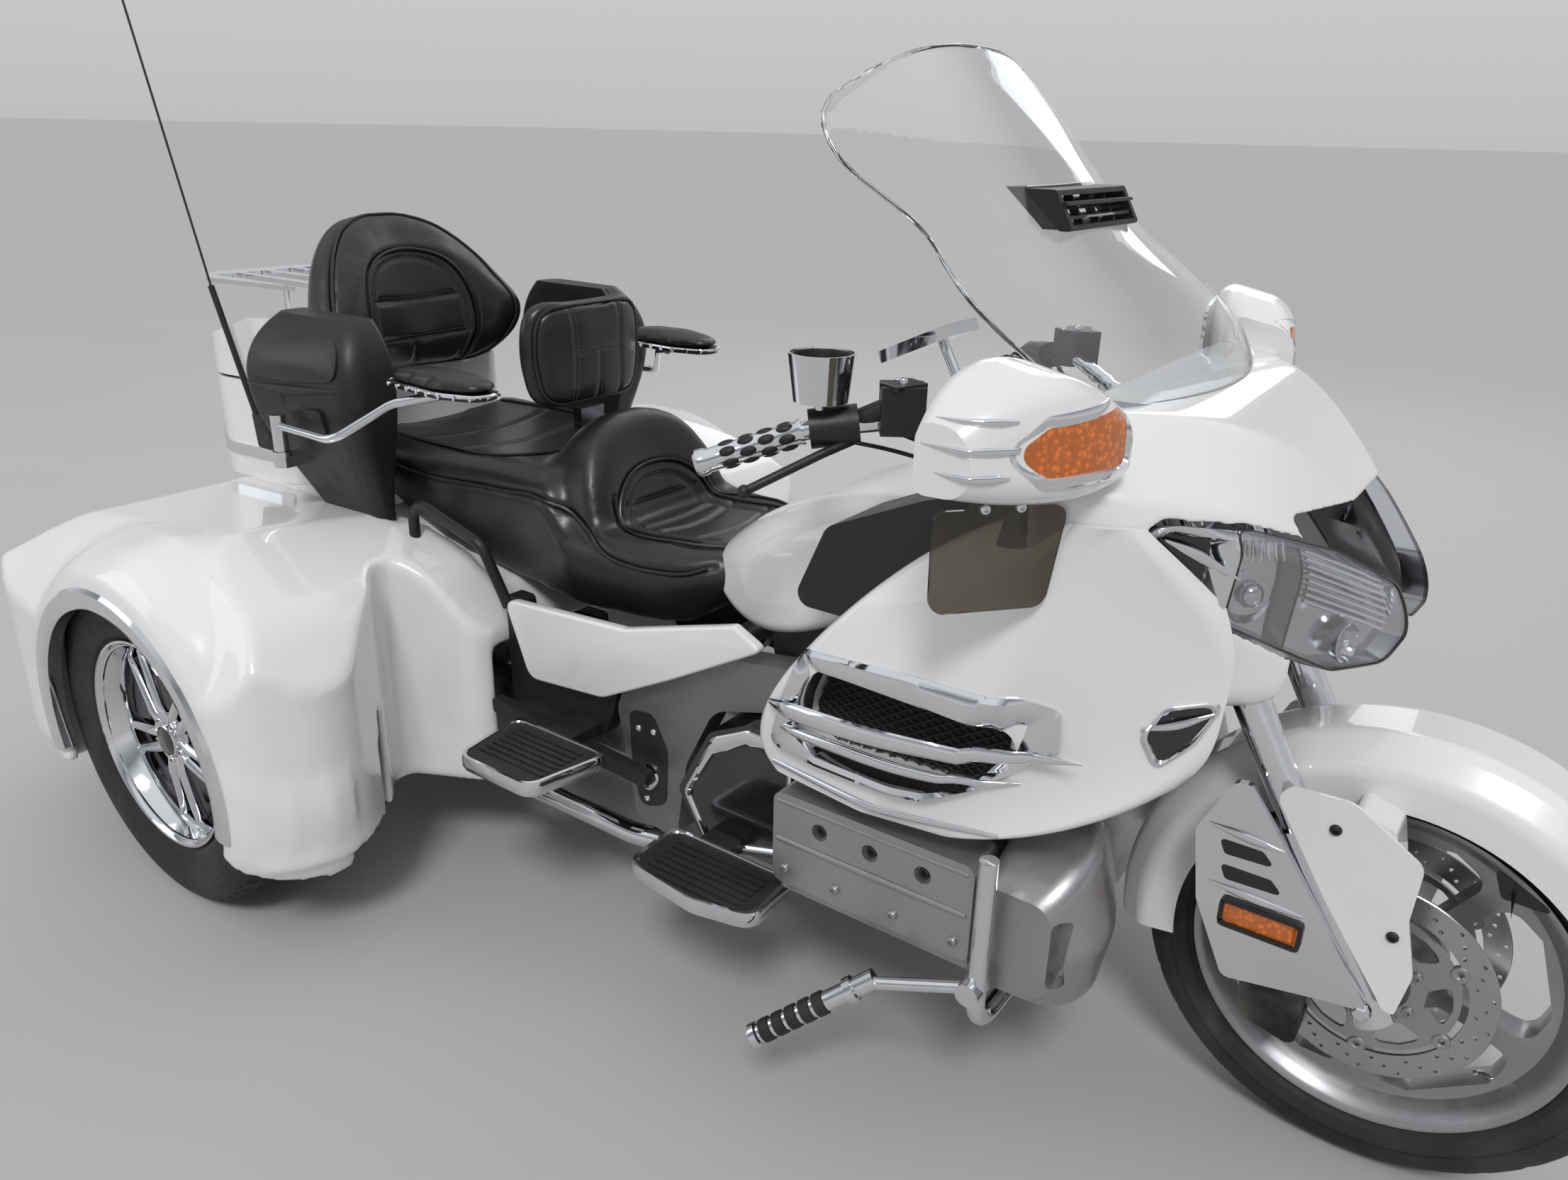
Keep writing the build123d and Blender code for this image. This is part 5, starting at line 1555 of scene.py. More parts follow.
@dataclass
class FrontWheel:
    """Cast front wheel with five broad spokes, and two drilled floating discs."""

    radius: float = 0.2415
    half: float = 0.053
    disc_y: float = 0.068
    disc_half: float = 0.0025
    centre: Point = (0.0, 0.0, 0.318)

    def window(self) -> Form:
        """Rounded opening between two spokes.

        Returns:
            The outline as (x, z) round the hub.
        """
        rows = [(0.088, 1.08, 0.014), (0.192, 1.03, 0.024), (0.202, 1.3, 0.0), (0.202, 1.84, 0.0),
                (0.192, 2.11, 0.024), (0.088, 2.06, 0.014), (0.08, 1.57, 0.05)]
        flat = [(r * cos(a), self.centre[2] + r * sin(a), c) for r, a, c in rows]
        return Form.plate(flat, "xz", -0.1, 0.1, 8)

    def casting(self) -> Form:
        """Rim barrel with the pierced web and the hub.

        Returns:
            The casting.
        """
        r, h = self.radius, self.half
        face = [(r, h), (r - 0.004, h), (r - 0.012, h - 0.006), (r - 0.022, h - 0.018), (r - 0.03, 0.022),
                (r - 0.036, 0.021), (0.07, 0.019)]
        well = [(r, h - 0.005), (r - 0.013, h - 0.009), (r - 0.013, h - 0.024), (r - 0.022, h - 0.034)]
        rim = [(a, -b) for a, b in face] + face[::-1] + well + [(a, -b) for a, b in well[::-1]]
        form = Form.turned(rim, self.centre, steps=120)
        window = self.window()
        cutter = joined([window, *(spin(window, self.centre, 72 * number) for number in range(1, 5))])
        form = (form - cutter).bevelled(0.005, 3, 40)
        side = [(0, 0.06), (0.034, 0.06), (0.036, 0.052), (0.044, 0.045), (0.072, 0.024)]
        hub = [(a, -b) for a, b in side] + [(0.076, 0.0)] + side[::-1]
        return form + Form.turned(hub, self.centre, steps=60, closed=False)

    def around(self, radius: float, angle: float, y: float = 0) -> Point:
        """Point at a radius and angle round the axle."""
        return (self.centre[0] + radius * cos(angle), y, self.centre[2] + radius * sin(angle))

    def disc_ring(self) -> Form:
        """Left braking ring with its holes.

        Returns:
            The ring.
        """
        y, t = self.disc_y, self.disc_half
        ring = Form.turned([(0.1135, y - t), (0.147, y - t), (0.148, y - t + 0.001), (0.148, y + t - 0.001),
                            (0.147, y + t), (0.1135, y + t)], self.centre, steps=120)
        hole = [(0, y - 0.01), (0.0029, y - 0.01), (0.0029, y + 0.01), (0, y + 0.01)]
        holes = [
            Form.turned(
                hole, self.around((0.122, 0.131, 0.14)[k % 3], 2 * pi * k / 54), steps=10, closed=False)
            for k in range(54)]
        return ring - joined(holes)

    def carrier(self) -> Form:
        """Left disc carrier with its windows, buttons and bolts.

        Returns:
            The carrier.
        """
        y, t = self.disc_y, self.disc_half
        blank = Form.turned(
            [(0.046, y - t), (0.105, y - t), (0.105, y + t), (0.046, y + t)], self.centre, steps=72)
        corners = [(0.066, -0.2, 0.008), (0.097, -0.36, 0.012), (0.097, 0.0, 0.012), (0.097, 0.36, 0.012),
                   (0.066, 0.2, 0.008)]
        window = Form.plate(
            [(r * cos(a), self.centre[2] + r * sin(a), c) for r, a, c in corners], "xz", y - 0.02, y + 0.02,
            4)
        windows = joined([window, *(spin(window, self.centre, 60 * number) for number in range(1, 6))])
        parts = [blank - windows]
        button = [(0.004, y - 0.0045), (0.0105, y - 0.0045), (0.0115, y - 0.003), (0.0115, y + 0.003),
                  (0.0105, y + 0.0045), (0.006, y + 0.0045), (0.004, y + 0.003)]
        for number in range(6):
            angle = radians(30 + 60 * number)
            parts.append(Form.turned(button, self.around(0.1085, angle), steps=20))
            parts.append(bolt(self.around(0.056, angle, y + t), (0, 1, 0), 0.0075, 0.005))
        return joined(parts)

    def build(self) -> None:
        """Build the wheel, discs and valve."""
        piece("front_wheel_casting", self.casting(), WHEEL_GREY, Body.FRONT_WHEEL, ["front_rim"])
        piece("front_disc_rings", self.disc_ring().both(), STEEL, Body.FRONT_WHEEL, ["front_discs"], 30)
        piece("front_disc_carriers", self.carrier().both(), WHEEL_GREY, Body.FRONT_WHEEL, (), 30)
        valve = Form.tube(
            [(0.205, -0.01, 0.318), (0.19, -0.014, 0.318), (0.178, -0.03, 0.318)], [0.004, 0.003, 0.0035],
            10, 3)
        piece("front_wheel_valve", spin(valve, self.centre, 38), CHROME, Body.FRONT_WHEEL)


def tyres() -> list[Tyre]:
    """The three tyres.

    Returns:
        The tyres, the front one first.
    """
    made = [Tyre(
        "front_tyre_tread", "front_tyre", Body.FRONT_WHEEL, (0, 0, 0.318), 0.318, 0.0637, 0.2415, 0.053,
        0.03, 0.062, (0.0,))]
    for name, body, side in (("left", Body.REAR_LEFT, 1), ("right", Body.REAR_RIGHT, -1)):
        made.append(Tyre(
            f"rear_tyre_tread_{name}", f"rear_tyre_{name}", body, (-1.888, side * 0.623, 0.314), 0.314,
            0.1062, 0.198, 0.097, 0.08, 0.034, (0.018, 0.052), 280, 0.006, 0.3))
    return made


def node_form(name: str) -> Form:
    """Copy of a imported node's surface, in the layout of the front axle.

    Args:
        name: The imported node.

    Returns:
        The copy.
    """
    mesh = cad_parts[name].data.copy()
    form = Form(mesh).shifted(-AXLE_X)
    return form._bm(lambda bm: bmesh.ops.remove_doubles(bm, verts=bm.verts, dist=1e-5))


@dataclass
class TrikeBody:
    """Wide rear body with fenders over the wheels, its door, arch lips, liners, strip and side covers."""

    voxel: float = 0.008
    passes: int = 8
    door_voxel: float = 0.006
    door_passes: int = 5
    kept: float = 0.36
    axle: Point = (-1.888, 0.0, 0.314)
    flare: tuple[Point, ...] = (
        # radius, distance from the middle plane
        (0.277, 0.745), (0.277, 0.763), (0.3, 0.765), (0.332, 0.757), (0.362, 0.735), (0.392, 0.7),
        (0.418, 0.64), (0.418, 0.6), (0.352, 0.6), (0.352, 0.722), (0.306, 0.736))
    lip: tuple[Point, ...] = (
        (0.271, 0.742), (0.27, 0.766), (0.275, 0.7705), (0.288, 0.7715), (0.302, 0.7705), (0.308, 0.764),
        (0.3, 0.752))
    liner: tuple[Point, ...] = ((0.331, 0.515), (0.331, 0.705), (0.336, 0.705), (0.336, 0.515))
    cover: tuple[Point, ...] = (
        (-1.452, 0.566, 0.02), (-1.396, 0.424, 0.03), (-1.215, 0.44, 0.06), (-1.06, 0.52, 0.05),
        (-0.872, 0.624, 0.01), (-0.93, 0.652, 0.012), (-1.16, 0.585, 0.06))
    cover_sides: tuple[float, float] = (0.2535, 0.274)

    def band(self, profile: Sequence[Point], low: float, high: float, steps: int) -> Form:
        """Profile carried round the rear axle, between two angles in degrees.

        Args:
            profile: Rows of (radius, distance from the middle plane).
            low: First angle.
            high: Last angle.
            steps: Steps between them.

        Returns:
            The left band.
        """
        rings = []
        for k in range(steps + 1):
            angle = radians(low + (high - low) * k / steps)
            ring = []
            for r, y in profile:
                r -= max(0.0, r - 0.345) * 0.45 * max(0.0, sin(angle))
                ring.append((self.axle[0] + r * cos(angle), y, self.axle[2] + r * sin(angle)))
            rings.append(ring)
        return Form.rows(rings)

    def build(self) -> None:
        """Build the body, the door, the lips, the liners, the strip and the covers."""
        swell = self.band(self.flare, -22, 202, 60)
        shell = (node_form("trike_body") + swell.both()).eased(self.voxel, self.passes, self.kept)
        piece("body_shell", shell, WHITE, Body.CHASSIS, ["trike_body"], 60)
        door = node_form("boot_lid").eased(self.door_voxel, self.door_passes, self.kept)
        piece("boot_door", door, WHITE, Body.BOOT_LID, ["boot_lid"], 50)
        piece("wheel_liners", self.band(self.liner, -14, 194, 40).both(), BLACK, Body.CHASSIS)
        strip = node_form("bright_trims")._bm(lambda bm: bmesh.ops.delete(
            bm, geom=[v for v in bm.verts if abs(v.co.y) > 0.5], context="VERTS"))
        bright = strip + self.band(self.lip, -12, 196, 80).both()
        piece("arch_lips_and_trunk_strip", bright, CHROME, Body.CHASSIS, ["bright_trims"])
        cover = Form.plate(self.cover, "xz", *self.cover_sides, 8).bevelled(0.007, 4)
        piece("side_cover_panels", cover.both(), WHITE, Body.CHASSIS, ["side_covers"], 50)


@dataclass
class PodDress:
    """Padded lids, latches and belts of the side pods."""

    belt: tuple[Point, ...] = (
        (-1.972, 0.905, 0, 0.003, 0.002), (-1.83, 0.912, 0.002, 0.007, 0.005),
        (-1.69, 0.925, 0, 0.003, 0.002))
    latch: tuple[Point, ...] = (
        (-1.8, 0.88, 0.01), (-1.752, 0.884, 0.01), (-1.752, 0.836, 0.01), (-1.798, 0.834, 0.01))
    lid: tuple[Point, ...] = (
        (-1.962, 0.925, 0.03), (-1.93, 0.985, 0.04), (-1.78, 1.018, 0.05), (-1.712, 1.000, 0.04),
        (-1.7, 0.94, 0.03), (-1.83, 0.926, 0.05))

    def build(self) -> None:
        """Build the belts, the latches and the lids' pads."""
        pod = Skin("side_pods")
        belt = pod.spear(self.belt, 8) + pod.patch(self.latch, 0.006, 0.008)
        piece("pod_belts_and_latches", belt.both(), BLACK, Body.CHASSIS)
        piece("pod_lid_pads", pod.patch(self.lid, 0.004, 0.006, 0.005).both(), PIPING, Body.CHASSIS)


class View(Enum):
    """Direction from which a trim is laid on a surface."""

    SIDE = "side"
    FRONT = "front"


@dataclass
class Skin:
    """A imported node's surface on the right side, on which trims are laid."""

    name: str
    view: View = View.SIDE
    floor: float = -9.0

    def __post_init__(self) -> None:
        """Build the search tree."""
        self.tree = node_form(self.name).surface()
        self.last = 0.3

    def point(self, u: float, v: float, level: float) -> Vector:
        """Point from the two coordinates of the view and its outward level."""
        return Vector((u, -level, v)) if self.view is View.SIDE else Vector((level, -u, v))

    def on(self, u: float, v: float, lift: float) -> Vector:
        """Point at a height over the surface."""
        return self.point(u, v, self.level(u, v) + lift)

    def level(self, u: float, v: float) -> float:
        """Outward level of the surface, or of its nearest edge where there is none.

        Args:
            u: First coordinate of the view.
            v: Second coordinate.

        Returns:
            The level, never under the floor.
        """
        far = self.point(u, v, 3.0)
        way = (self.point(u, v, 0.0) - far).normalized()
        spot = self.tree.ray_cast(far, way)[0]
        if spot is None:
            near = self.tree.find_nearest(self.point(u, v, self.last))[0]
            spot = far + way * (near - far).dot(way)
        self.last = 3.0 - (spot - far).length
        return max(self.floor, self.last)

    def patch(
            self, rows: Sequence[Point], lift: float, depth: float, swell: float = 0.0,
            steps: int = 5) -> Form:
        """Sheet that follows the surface inside an outline of (u, v, corner radius) rows.

        Args:
            rows: The outline's corners.
            lift: Height of its face over the surface.
            depth: Its thickness.
            swell: Extra height at the middle.
            steps: Steps in each corner.

        Returns:
            The sheet.
        """
        corners = rounded_outline(rows, steps)
        edge = dense_pair(corners, corners, 0.012)[0]
        cu, cv = (sum(p[k] for p in edge) / len(edge) for k in (0, 1))
        face, back = [], []
        for share in (0.0, 0.25, 0.5, 0.72, 0.88, 0.97, 1.0):
            spots = [(cu + (u - cu) * share, cv + (v - cv) * share) for u, v in edge]
            levels = [self.level(u, v) + lift + swell * (1 - share * share) for u, v in spots]
            face.append([self.point(u, v, level) for (u, v), level in zip(spots, levels)])
            back.append([self.point(u, v, level - depth) for (u, v), level in zip(spots, levels)])
        made = Form.rows(face + back[::-1], capped=False)
        made._bm(lambda bm: bmesh.ops.remove_doubles(bm, verts=bm.verts, dist=1e-6))
        return made._bm(lambda bm: bmesh.ops.recalc_face_normals(bm, faces=bm.faces))

    def frame(self, outer: Sequence[Point], inner: Sequence[Point], section: Sequence[tuple[float, float]],
              steps: int = 5) -> Form:
        """Moulding between two outlines with the same number of corners.

        Args:
            outer: Outer corners as (u, v, corner radius).
            inner: Inner corners.
            section: Rows of (share from outer to inner, height over the surface).
            steps: Steps in each corner.

        Returns:
            The moulding.
        """
        far, near = dense_pair(rounded_outline(outer, steps), rounded_outline(inner, steps), 0.01)
        bases = [self.level(u, v) for u, v in far]
        rings = []
        for share, lift in section:
            rings.append([self.point(a[0] + (b[0] - a[0]) * share, a[1] + (b[1] - a[1]) * share, base + lift)
                          for a, b, base in zip(far, near, bases)])
        return Form.rows(rings, capped=False, looped=True)

    def spear(self, rows: Sequence[Point], steps: int = 6, sides: int = 12) -> Form:
        """Flattened bar over the surface.

        Args:
            rows: Rows of (u, v, lift, half height, half depth).
            steps: Steps between two rows.
            sides: Corners of the section.

        Returns:
            The bar.
        """
        rings = []
        for u, v, lift, tall, deep in curve_through(rows, steps):
            base = self.level(u, v) + lift
            turns = [2 * pi * k / sides for k in range(sides)]
            rings.append([self.point(u, v + tall * sin(turn), base + deep * cos(turn)) for turn in turns])
        return Form.rows(rings)

    def stud(self, u: float, v: float, radius: float, height: float) -> Form:
        """Button bolt standing on the surface."""
        return bolt(self.on(u, v, 0), self.point(0, 0, 1.0), radius, height)


MOULDING = [
    (0.0, -0.003), (0.0, 0.002), (0.18, 0.005), (0.6, 0.006), (0.95, 0.003), (1.0, -0.004), (0.9, -0.006)]


def dense_pair(outer: Sequence[Point], inner: Sequence[Point],
               gap: float) -> tuple[list[tuple[float, float]], list[tuple[float, float]]]:
    """Two matching outlines with their long edges split alike.

    Args:
        outer: First outline.
        inner: Second outline, with as many points.
        gap: Longest edge kept.

    Returns:
        Both outlines.
    """
    first, second = [], []
    for i, (a, c) in enumerate(zip(outer, inner)):
        b, d = outer[(i + 1) % len(outer)], inner[(i + 1) % len(inner)]
        parts = max(1, round(hypot(b[0] - a[0], b[1] - a[1]) / gap))
        for k in range(parts):
            t = k / parts
            first.append((a[0] + (b[0] - a[0]) * t, a[1] + (b[1] - a[1]) * t))
            second.append((c[0] + (d[0] - c[0]) * t, c[1] + (d[1] - c[1]) * t))
    return first, second


def inside(rows: Sequence[Point], u: float, v: float) -> bool:
    """Whether a point lies inside an outline.

    Args:
        rows: The outline's corners, by their first two numbers.
        u: First coordinate of the point.
        v: Second coordinate.

    Returns:
        True inside.
    """
    within = False
    for i, (a, b, *_) in enumerate(rows):
        c, d, *_ = rows[i - 1]
        if (b > v) != (d > v) and u < (c - a) * (v - b) / (d - b) + a:
            within = not within
    return within


def shrunk(rows: Sequence[Point], by: float) -> list[Point]:
    """Outline drawn toward its middle.

    Args:
        rows: Corners as (u, v, corner radius).
        by: Distance that each corner moves.

    Returns:
        The smaller outline.
    """
    cu, cv = (sum(p[k] for p in rows) / len(rows) for k in (0, 1))
    out = []
    for u, v, r in rows:
        reach = hypot(u - cu, v - cv)
        out.append((u - (u - cu) * by / reach, v - (v - cv) * by / reach, r))
    return out


@dataclass
class Windshield:
    """Waisted clear shield, open at its vent, with the strip along its base."""

    thickness: float = 0.005
    across: int = 44
    stations: tuple[Point, ...] = (
        # middle z, middle x, edge z, edge x, half width
        (1.048, -0.309, 1.078, -0.4, 0.296),
        (1.075, -0.322, 1.1, -0.418, 0.334),
        (1.11, -0.348, 1.122, -0.442, 0.35),
        (1.15, -0.39, 1.15, -0.482, 0.353),
        (1.18, -0.428, 1.18, -0.524, 0.35),
        (1.21, -0.47, 1.21, -0.563, 0.336),
        (1.24, -0.51, 1.24, -0.594, 0.324),
        (1.27, -0.543, 1.268, -0.628, 0.324),
        (1.3, -0.575, 1.294, -0.662, 0.338),
        (1.335, -0.608, 1.322, -0.698, 0.355),
        (1.37, -0.64, 1.35, -0.722, 0.359),
        (1.403, -0.67, 1.374, -0.74, 0.346),
        (1.433, -0.697, 1.392, -0.75, 0.322),
        (1.456, -0.716, 1.404, -0.755, 0.296),
        (1.47, -0.727, 1.412, -0.757, 0.272),
    )

    vent: tuple[Point, ...] = (
        (-0.114, 1.252, 0.01), (0.114, 1.252, 0.01), (0.114, 1.294, 0.01), (-0.114, 1.294, 0.01))
    strip: tuple[Point, ...] = (
        (-0.008, -0.004), (0.001, -0.009), (0.004, -0.003), (0.001, 0.004), (-0.008, 0.003))
    slat: tuple[Point, ...] = ((0.002, 0), (0, 0.0022), (-0.012, 0.003), (-0.012, 0))
    slat_x: float = -0.512
    slat_half: float = 0.106

    def rows(self) -> list[list[Point]]:
        """Front face.

        Returns:
            Rows of points from the base to the top.
        """
        made = []
        for zm, xm, ze, xe, half in curve_through(self.stations, 3):
            shares = [2 * k / self.across - 1 for k in range(self.across + 1)]
            made.append([(xm + (xe - xm) * u * u, half * u, zm + (ze - zm) * abs(u) ** 2.4) for u in shares])
        return made

    def slat_at(self, z: float) -> Form:
        """Bright slat of the vent at a height.

        Args:
            z: Height of the slat.

        Returns:
            The slat.
        """
        x = self.slat_x + (z - 1.25) * -1.02
        places = [self.slat_half * (k / 8 - 1) for k in range(17)]
        return Form.rows([[(x - 0.72 * y * y + a, y, z + b) for a, b in self.slat] for y in places])

    def build(self) -> None:
        """Build the sheet, its base strip, its rounded edge and the vent's slats."""
        face = self.rows()
        back = [[(x - self.thickness, y, z) for x, y, z in row] for row in face]
        sheet = Form.rows([row + other[::-1] for row, other in zip(face, back)])
        hole = Form.plate(self.vent, "yz", -0.7, -0.45)
        piece("windshield_sheet", sheet - hole, CLEAR, Body.CHASSIS, ["windshield"], 45)
        base = [(x + 0.003, y, z + 0.004) for x, y, z in face[0]]
        strip = Form.rows([[(x + a, y, z + b) for a, b in self.strip] for x, y, z in base])
        piece("windshield_base_strip", strip, CHROME, Body.CHASSIS)
        edge = [row[0] for row in face] + face[-1][1:] + [row[-1] for row in reversed(face)][1:]
        rim = Form.tube([(x - self.thickness / 2, y, z) for x, y, z in edge[::2]], 0.0029, 8, 0)
        piece("windshield_rounded_edge", rim, CLEAR, Body.CHASSIS)
        slats = joined(self.slat_at(z) for z in (1.263, 1.273, 1.283))
        piece("windshield_vent_slats", slats, CHROME, Body.CHASSIS)


@dataclass
class HeadLamps:
    """Twin lamps: clear lens, bowls, ribbed parts, divider and seal, and a dark bay with a bright spear."""

    lens: tuple[Point, ...] = (
        (0.07, 0.806, 0.02), (0.077, 0.871, 0.02), (0.15, 0.92, 0.06), (0.25, 0.955, 0.03),
        (0.264, 0.955, 0.006), (0.264, 0.841, 0.006), (0.205, 0.802, 0.06), (0.15, 0.769, 0.02),
        (0.088, 0.772, 0.02))
    bay: tuple[Point, ...] = (
        (0.266, 0.957, 0.008), (0.327, 0.966, 0.014), (0.338, 0.936, 0.024), (0.3, 0.868, 0.04),
        (0.266, 0.844, 0.008))
    bay_inner: tuple[Point, ...] = (
        (0.274, 0.944, 0.01), (0.316, 0.951, 0.012), (0.324, 0.934, 0.02), (0.294, 0.882, 0.03),
        (0.274, 0.866, 0.008))
    spear: tuple[Point, ...] = (
        (0.318, 0.944, -0.01, 0.002, 0.002), (0.3, 0.93, 0, 0.0065, 0.005),
        (0.284, 0.915, 0.003, 0.006, 0.005), (0.262, 0.898, 0.002, 0.0012, 0.001))
    outer_lamp: Point = (0.232, 0.872)
    outer_axis: Point = (0.8, -0.5, 0.1)
    inner_lamp: Point = (0.132, 0.803)
    inner_axis: Point = (0.93, -0.34, 0.1)
    ribs: int = 8
    rib_pitch: float = 0.0085
    flutes: int = 6
    flute_pitch: float = 0.008
    flute_length: float = 0.022

    def bowls(self, skin: Skin) -> Form:
        """Reflecting floor, wall and bowls of the right lamp.

        Args:
            skin: The lamp's surface.

        Returns:
            The bowls.
        """
        inner = shrunk(self.lens, 0.003)
        floor = skin.patch(inner, -0.026, 0.004, -0.004)
        wall = skin.frame(self.lens, inner, [(0, -0.004), (1, -0.004), (1, -0.03), (0, -0.03)])
        spot = skin.on(*self.outer_lamp, -0.012)
        cup = Form.turned(
            [(0, 0.004), (0.009, 0.003), (0.014, -0.002), (0.016, -0.01), (0, -0.01)], spot,
            self.outer_axis, 24, closed=False)
        halo = Form.turned(
            [(0.03, -0.012), (0.033, -0.008), (0.036, -0.012), (0.033, -0.014)], spot, self.outer_axis, 36)
        low = Form.turned(
            [(0, -0.016), (0.012, -0.014), (0.019, -0.007), (0.022, 0), (0.0245, -0.001), (0.023, -0.01)],
            skin.on(*self.inner_lamp, -0.006), self.inner_axis, 36)
        return joined([floor, wall, cup, halo, low])

    def ribbing(self, skin: Skin) -> Form:
        """Bulb cap, long ribs and short flutes of the right lamp.

        Args:
            skin: The lamp's surface.

        Returns:
            The ribs.
        """
        parts = [Form.turned([(0, 0), (0.005, -0.001), (0.007, -0.005), (0.007, -0.014), (0, -0.014)],
                             skin.on(*self.inner_lamp, -0.006), self.inner_axis, 20, closed=False)]
        for k in range(self.ribs):
            line = [(0.094 + 0.0192 * step, 0.924 - self.rib_pitch * k - (0.096 - 0.0192 * step) * 0.5)
                    for step in range(6)]
            parts.append(Form.tube([skin.on(u, v, -0.009) for u, v in line], 0.0024, 8, 2))
        for k in range(self.flutes):
            u = 0.212 + self.flute_pitch * k
            top = 0.936 + (u - 0.212) * 0.1
            parts.append(
                Form.tube(
                    [skin.on(u, top, -0.01), skin.on(u, top - self.flute_length, -0.012)], 0.0018, 8, 0))
        return joined(parts)

    def divider(self, skin: Skin) -> Form:
        """Dark wall between the right lamp's two parts.

        Args:
            skin: The lamp's surface.

        Returns:
            The wall.
        """
        rings = []
        for k in range(9):
            v = 0.802 + 0.126 * k / 8
            level = skin.level(0.2, v)
            rings.append([skin.point(u, v, level - drop) for u, drop in (
                (0.197, 0.004), (0.203, 0.004), (0.204, 0.027), (0.196, 0.027))])
        return Form.rows(rings)

    def build(self) -> None:
        """Build both lamps."""
        skin = Skin("head_lamps", View.FRONT)
        lens = skin.patch(self.lens, -0.0005, 0.003)
        piece("head_lamp_lenses", lens.both(), LAMP_GLASS, Body.CHASSIS, ["head_lamps"], 50)
        piece("head_lamp_reflectors", self.bowls(skin).both(), REFLECTOR, Body.CHASSIS, (), 40)
        piece("head_lamp_ribs", self.ribbing(skin).both(), CHROME, Body.CHASSIS)
        piece("head_lamp_dividers", self.divider(skin).both(), GLOSS_BLACK, Body.CHASSIS)
        bezel = skin.frame(shrunk(self.bay, 0.0015), self.bay_inner, [
            (0, -0.006), (0, 0.0015), (0.3, 0.003), (0.8, 0.001), (1, -0.006), (1, -0.026), (0.5, -0.026)])
        piece("head_lamp_bay_bezels", (bezel + skin.spear(self.spear)).both(), CHROME, Body.CHASSIS)
        seam = skin.frame(
            shrunk(self.lens, 0.0002), shrunk(self.lens, 0.0028),
            [(0, -0.004), (0, 0.0008), (1, 0.0008), (1, -0.004)])
        piece("head_lamp_seals", seam.both(), GLOSS_BLACK, Body.CHASSIS)
        piece("head_lamp_bays", skin.patch(self.bay_inner, -0.022, 0.004).both(), GLOSS_BLACK, Body.CHASSIS)


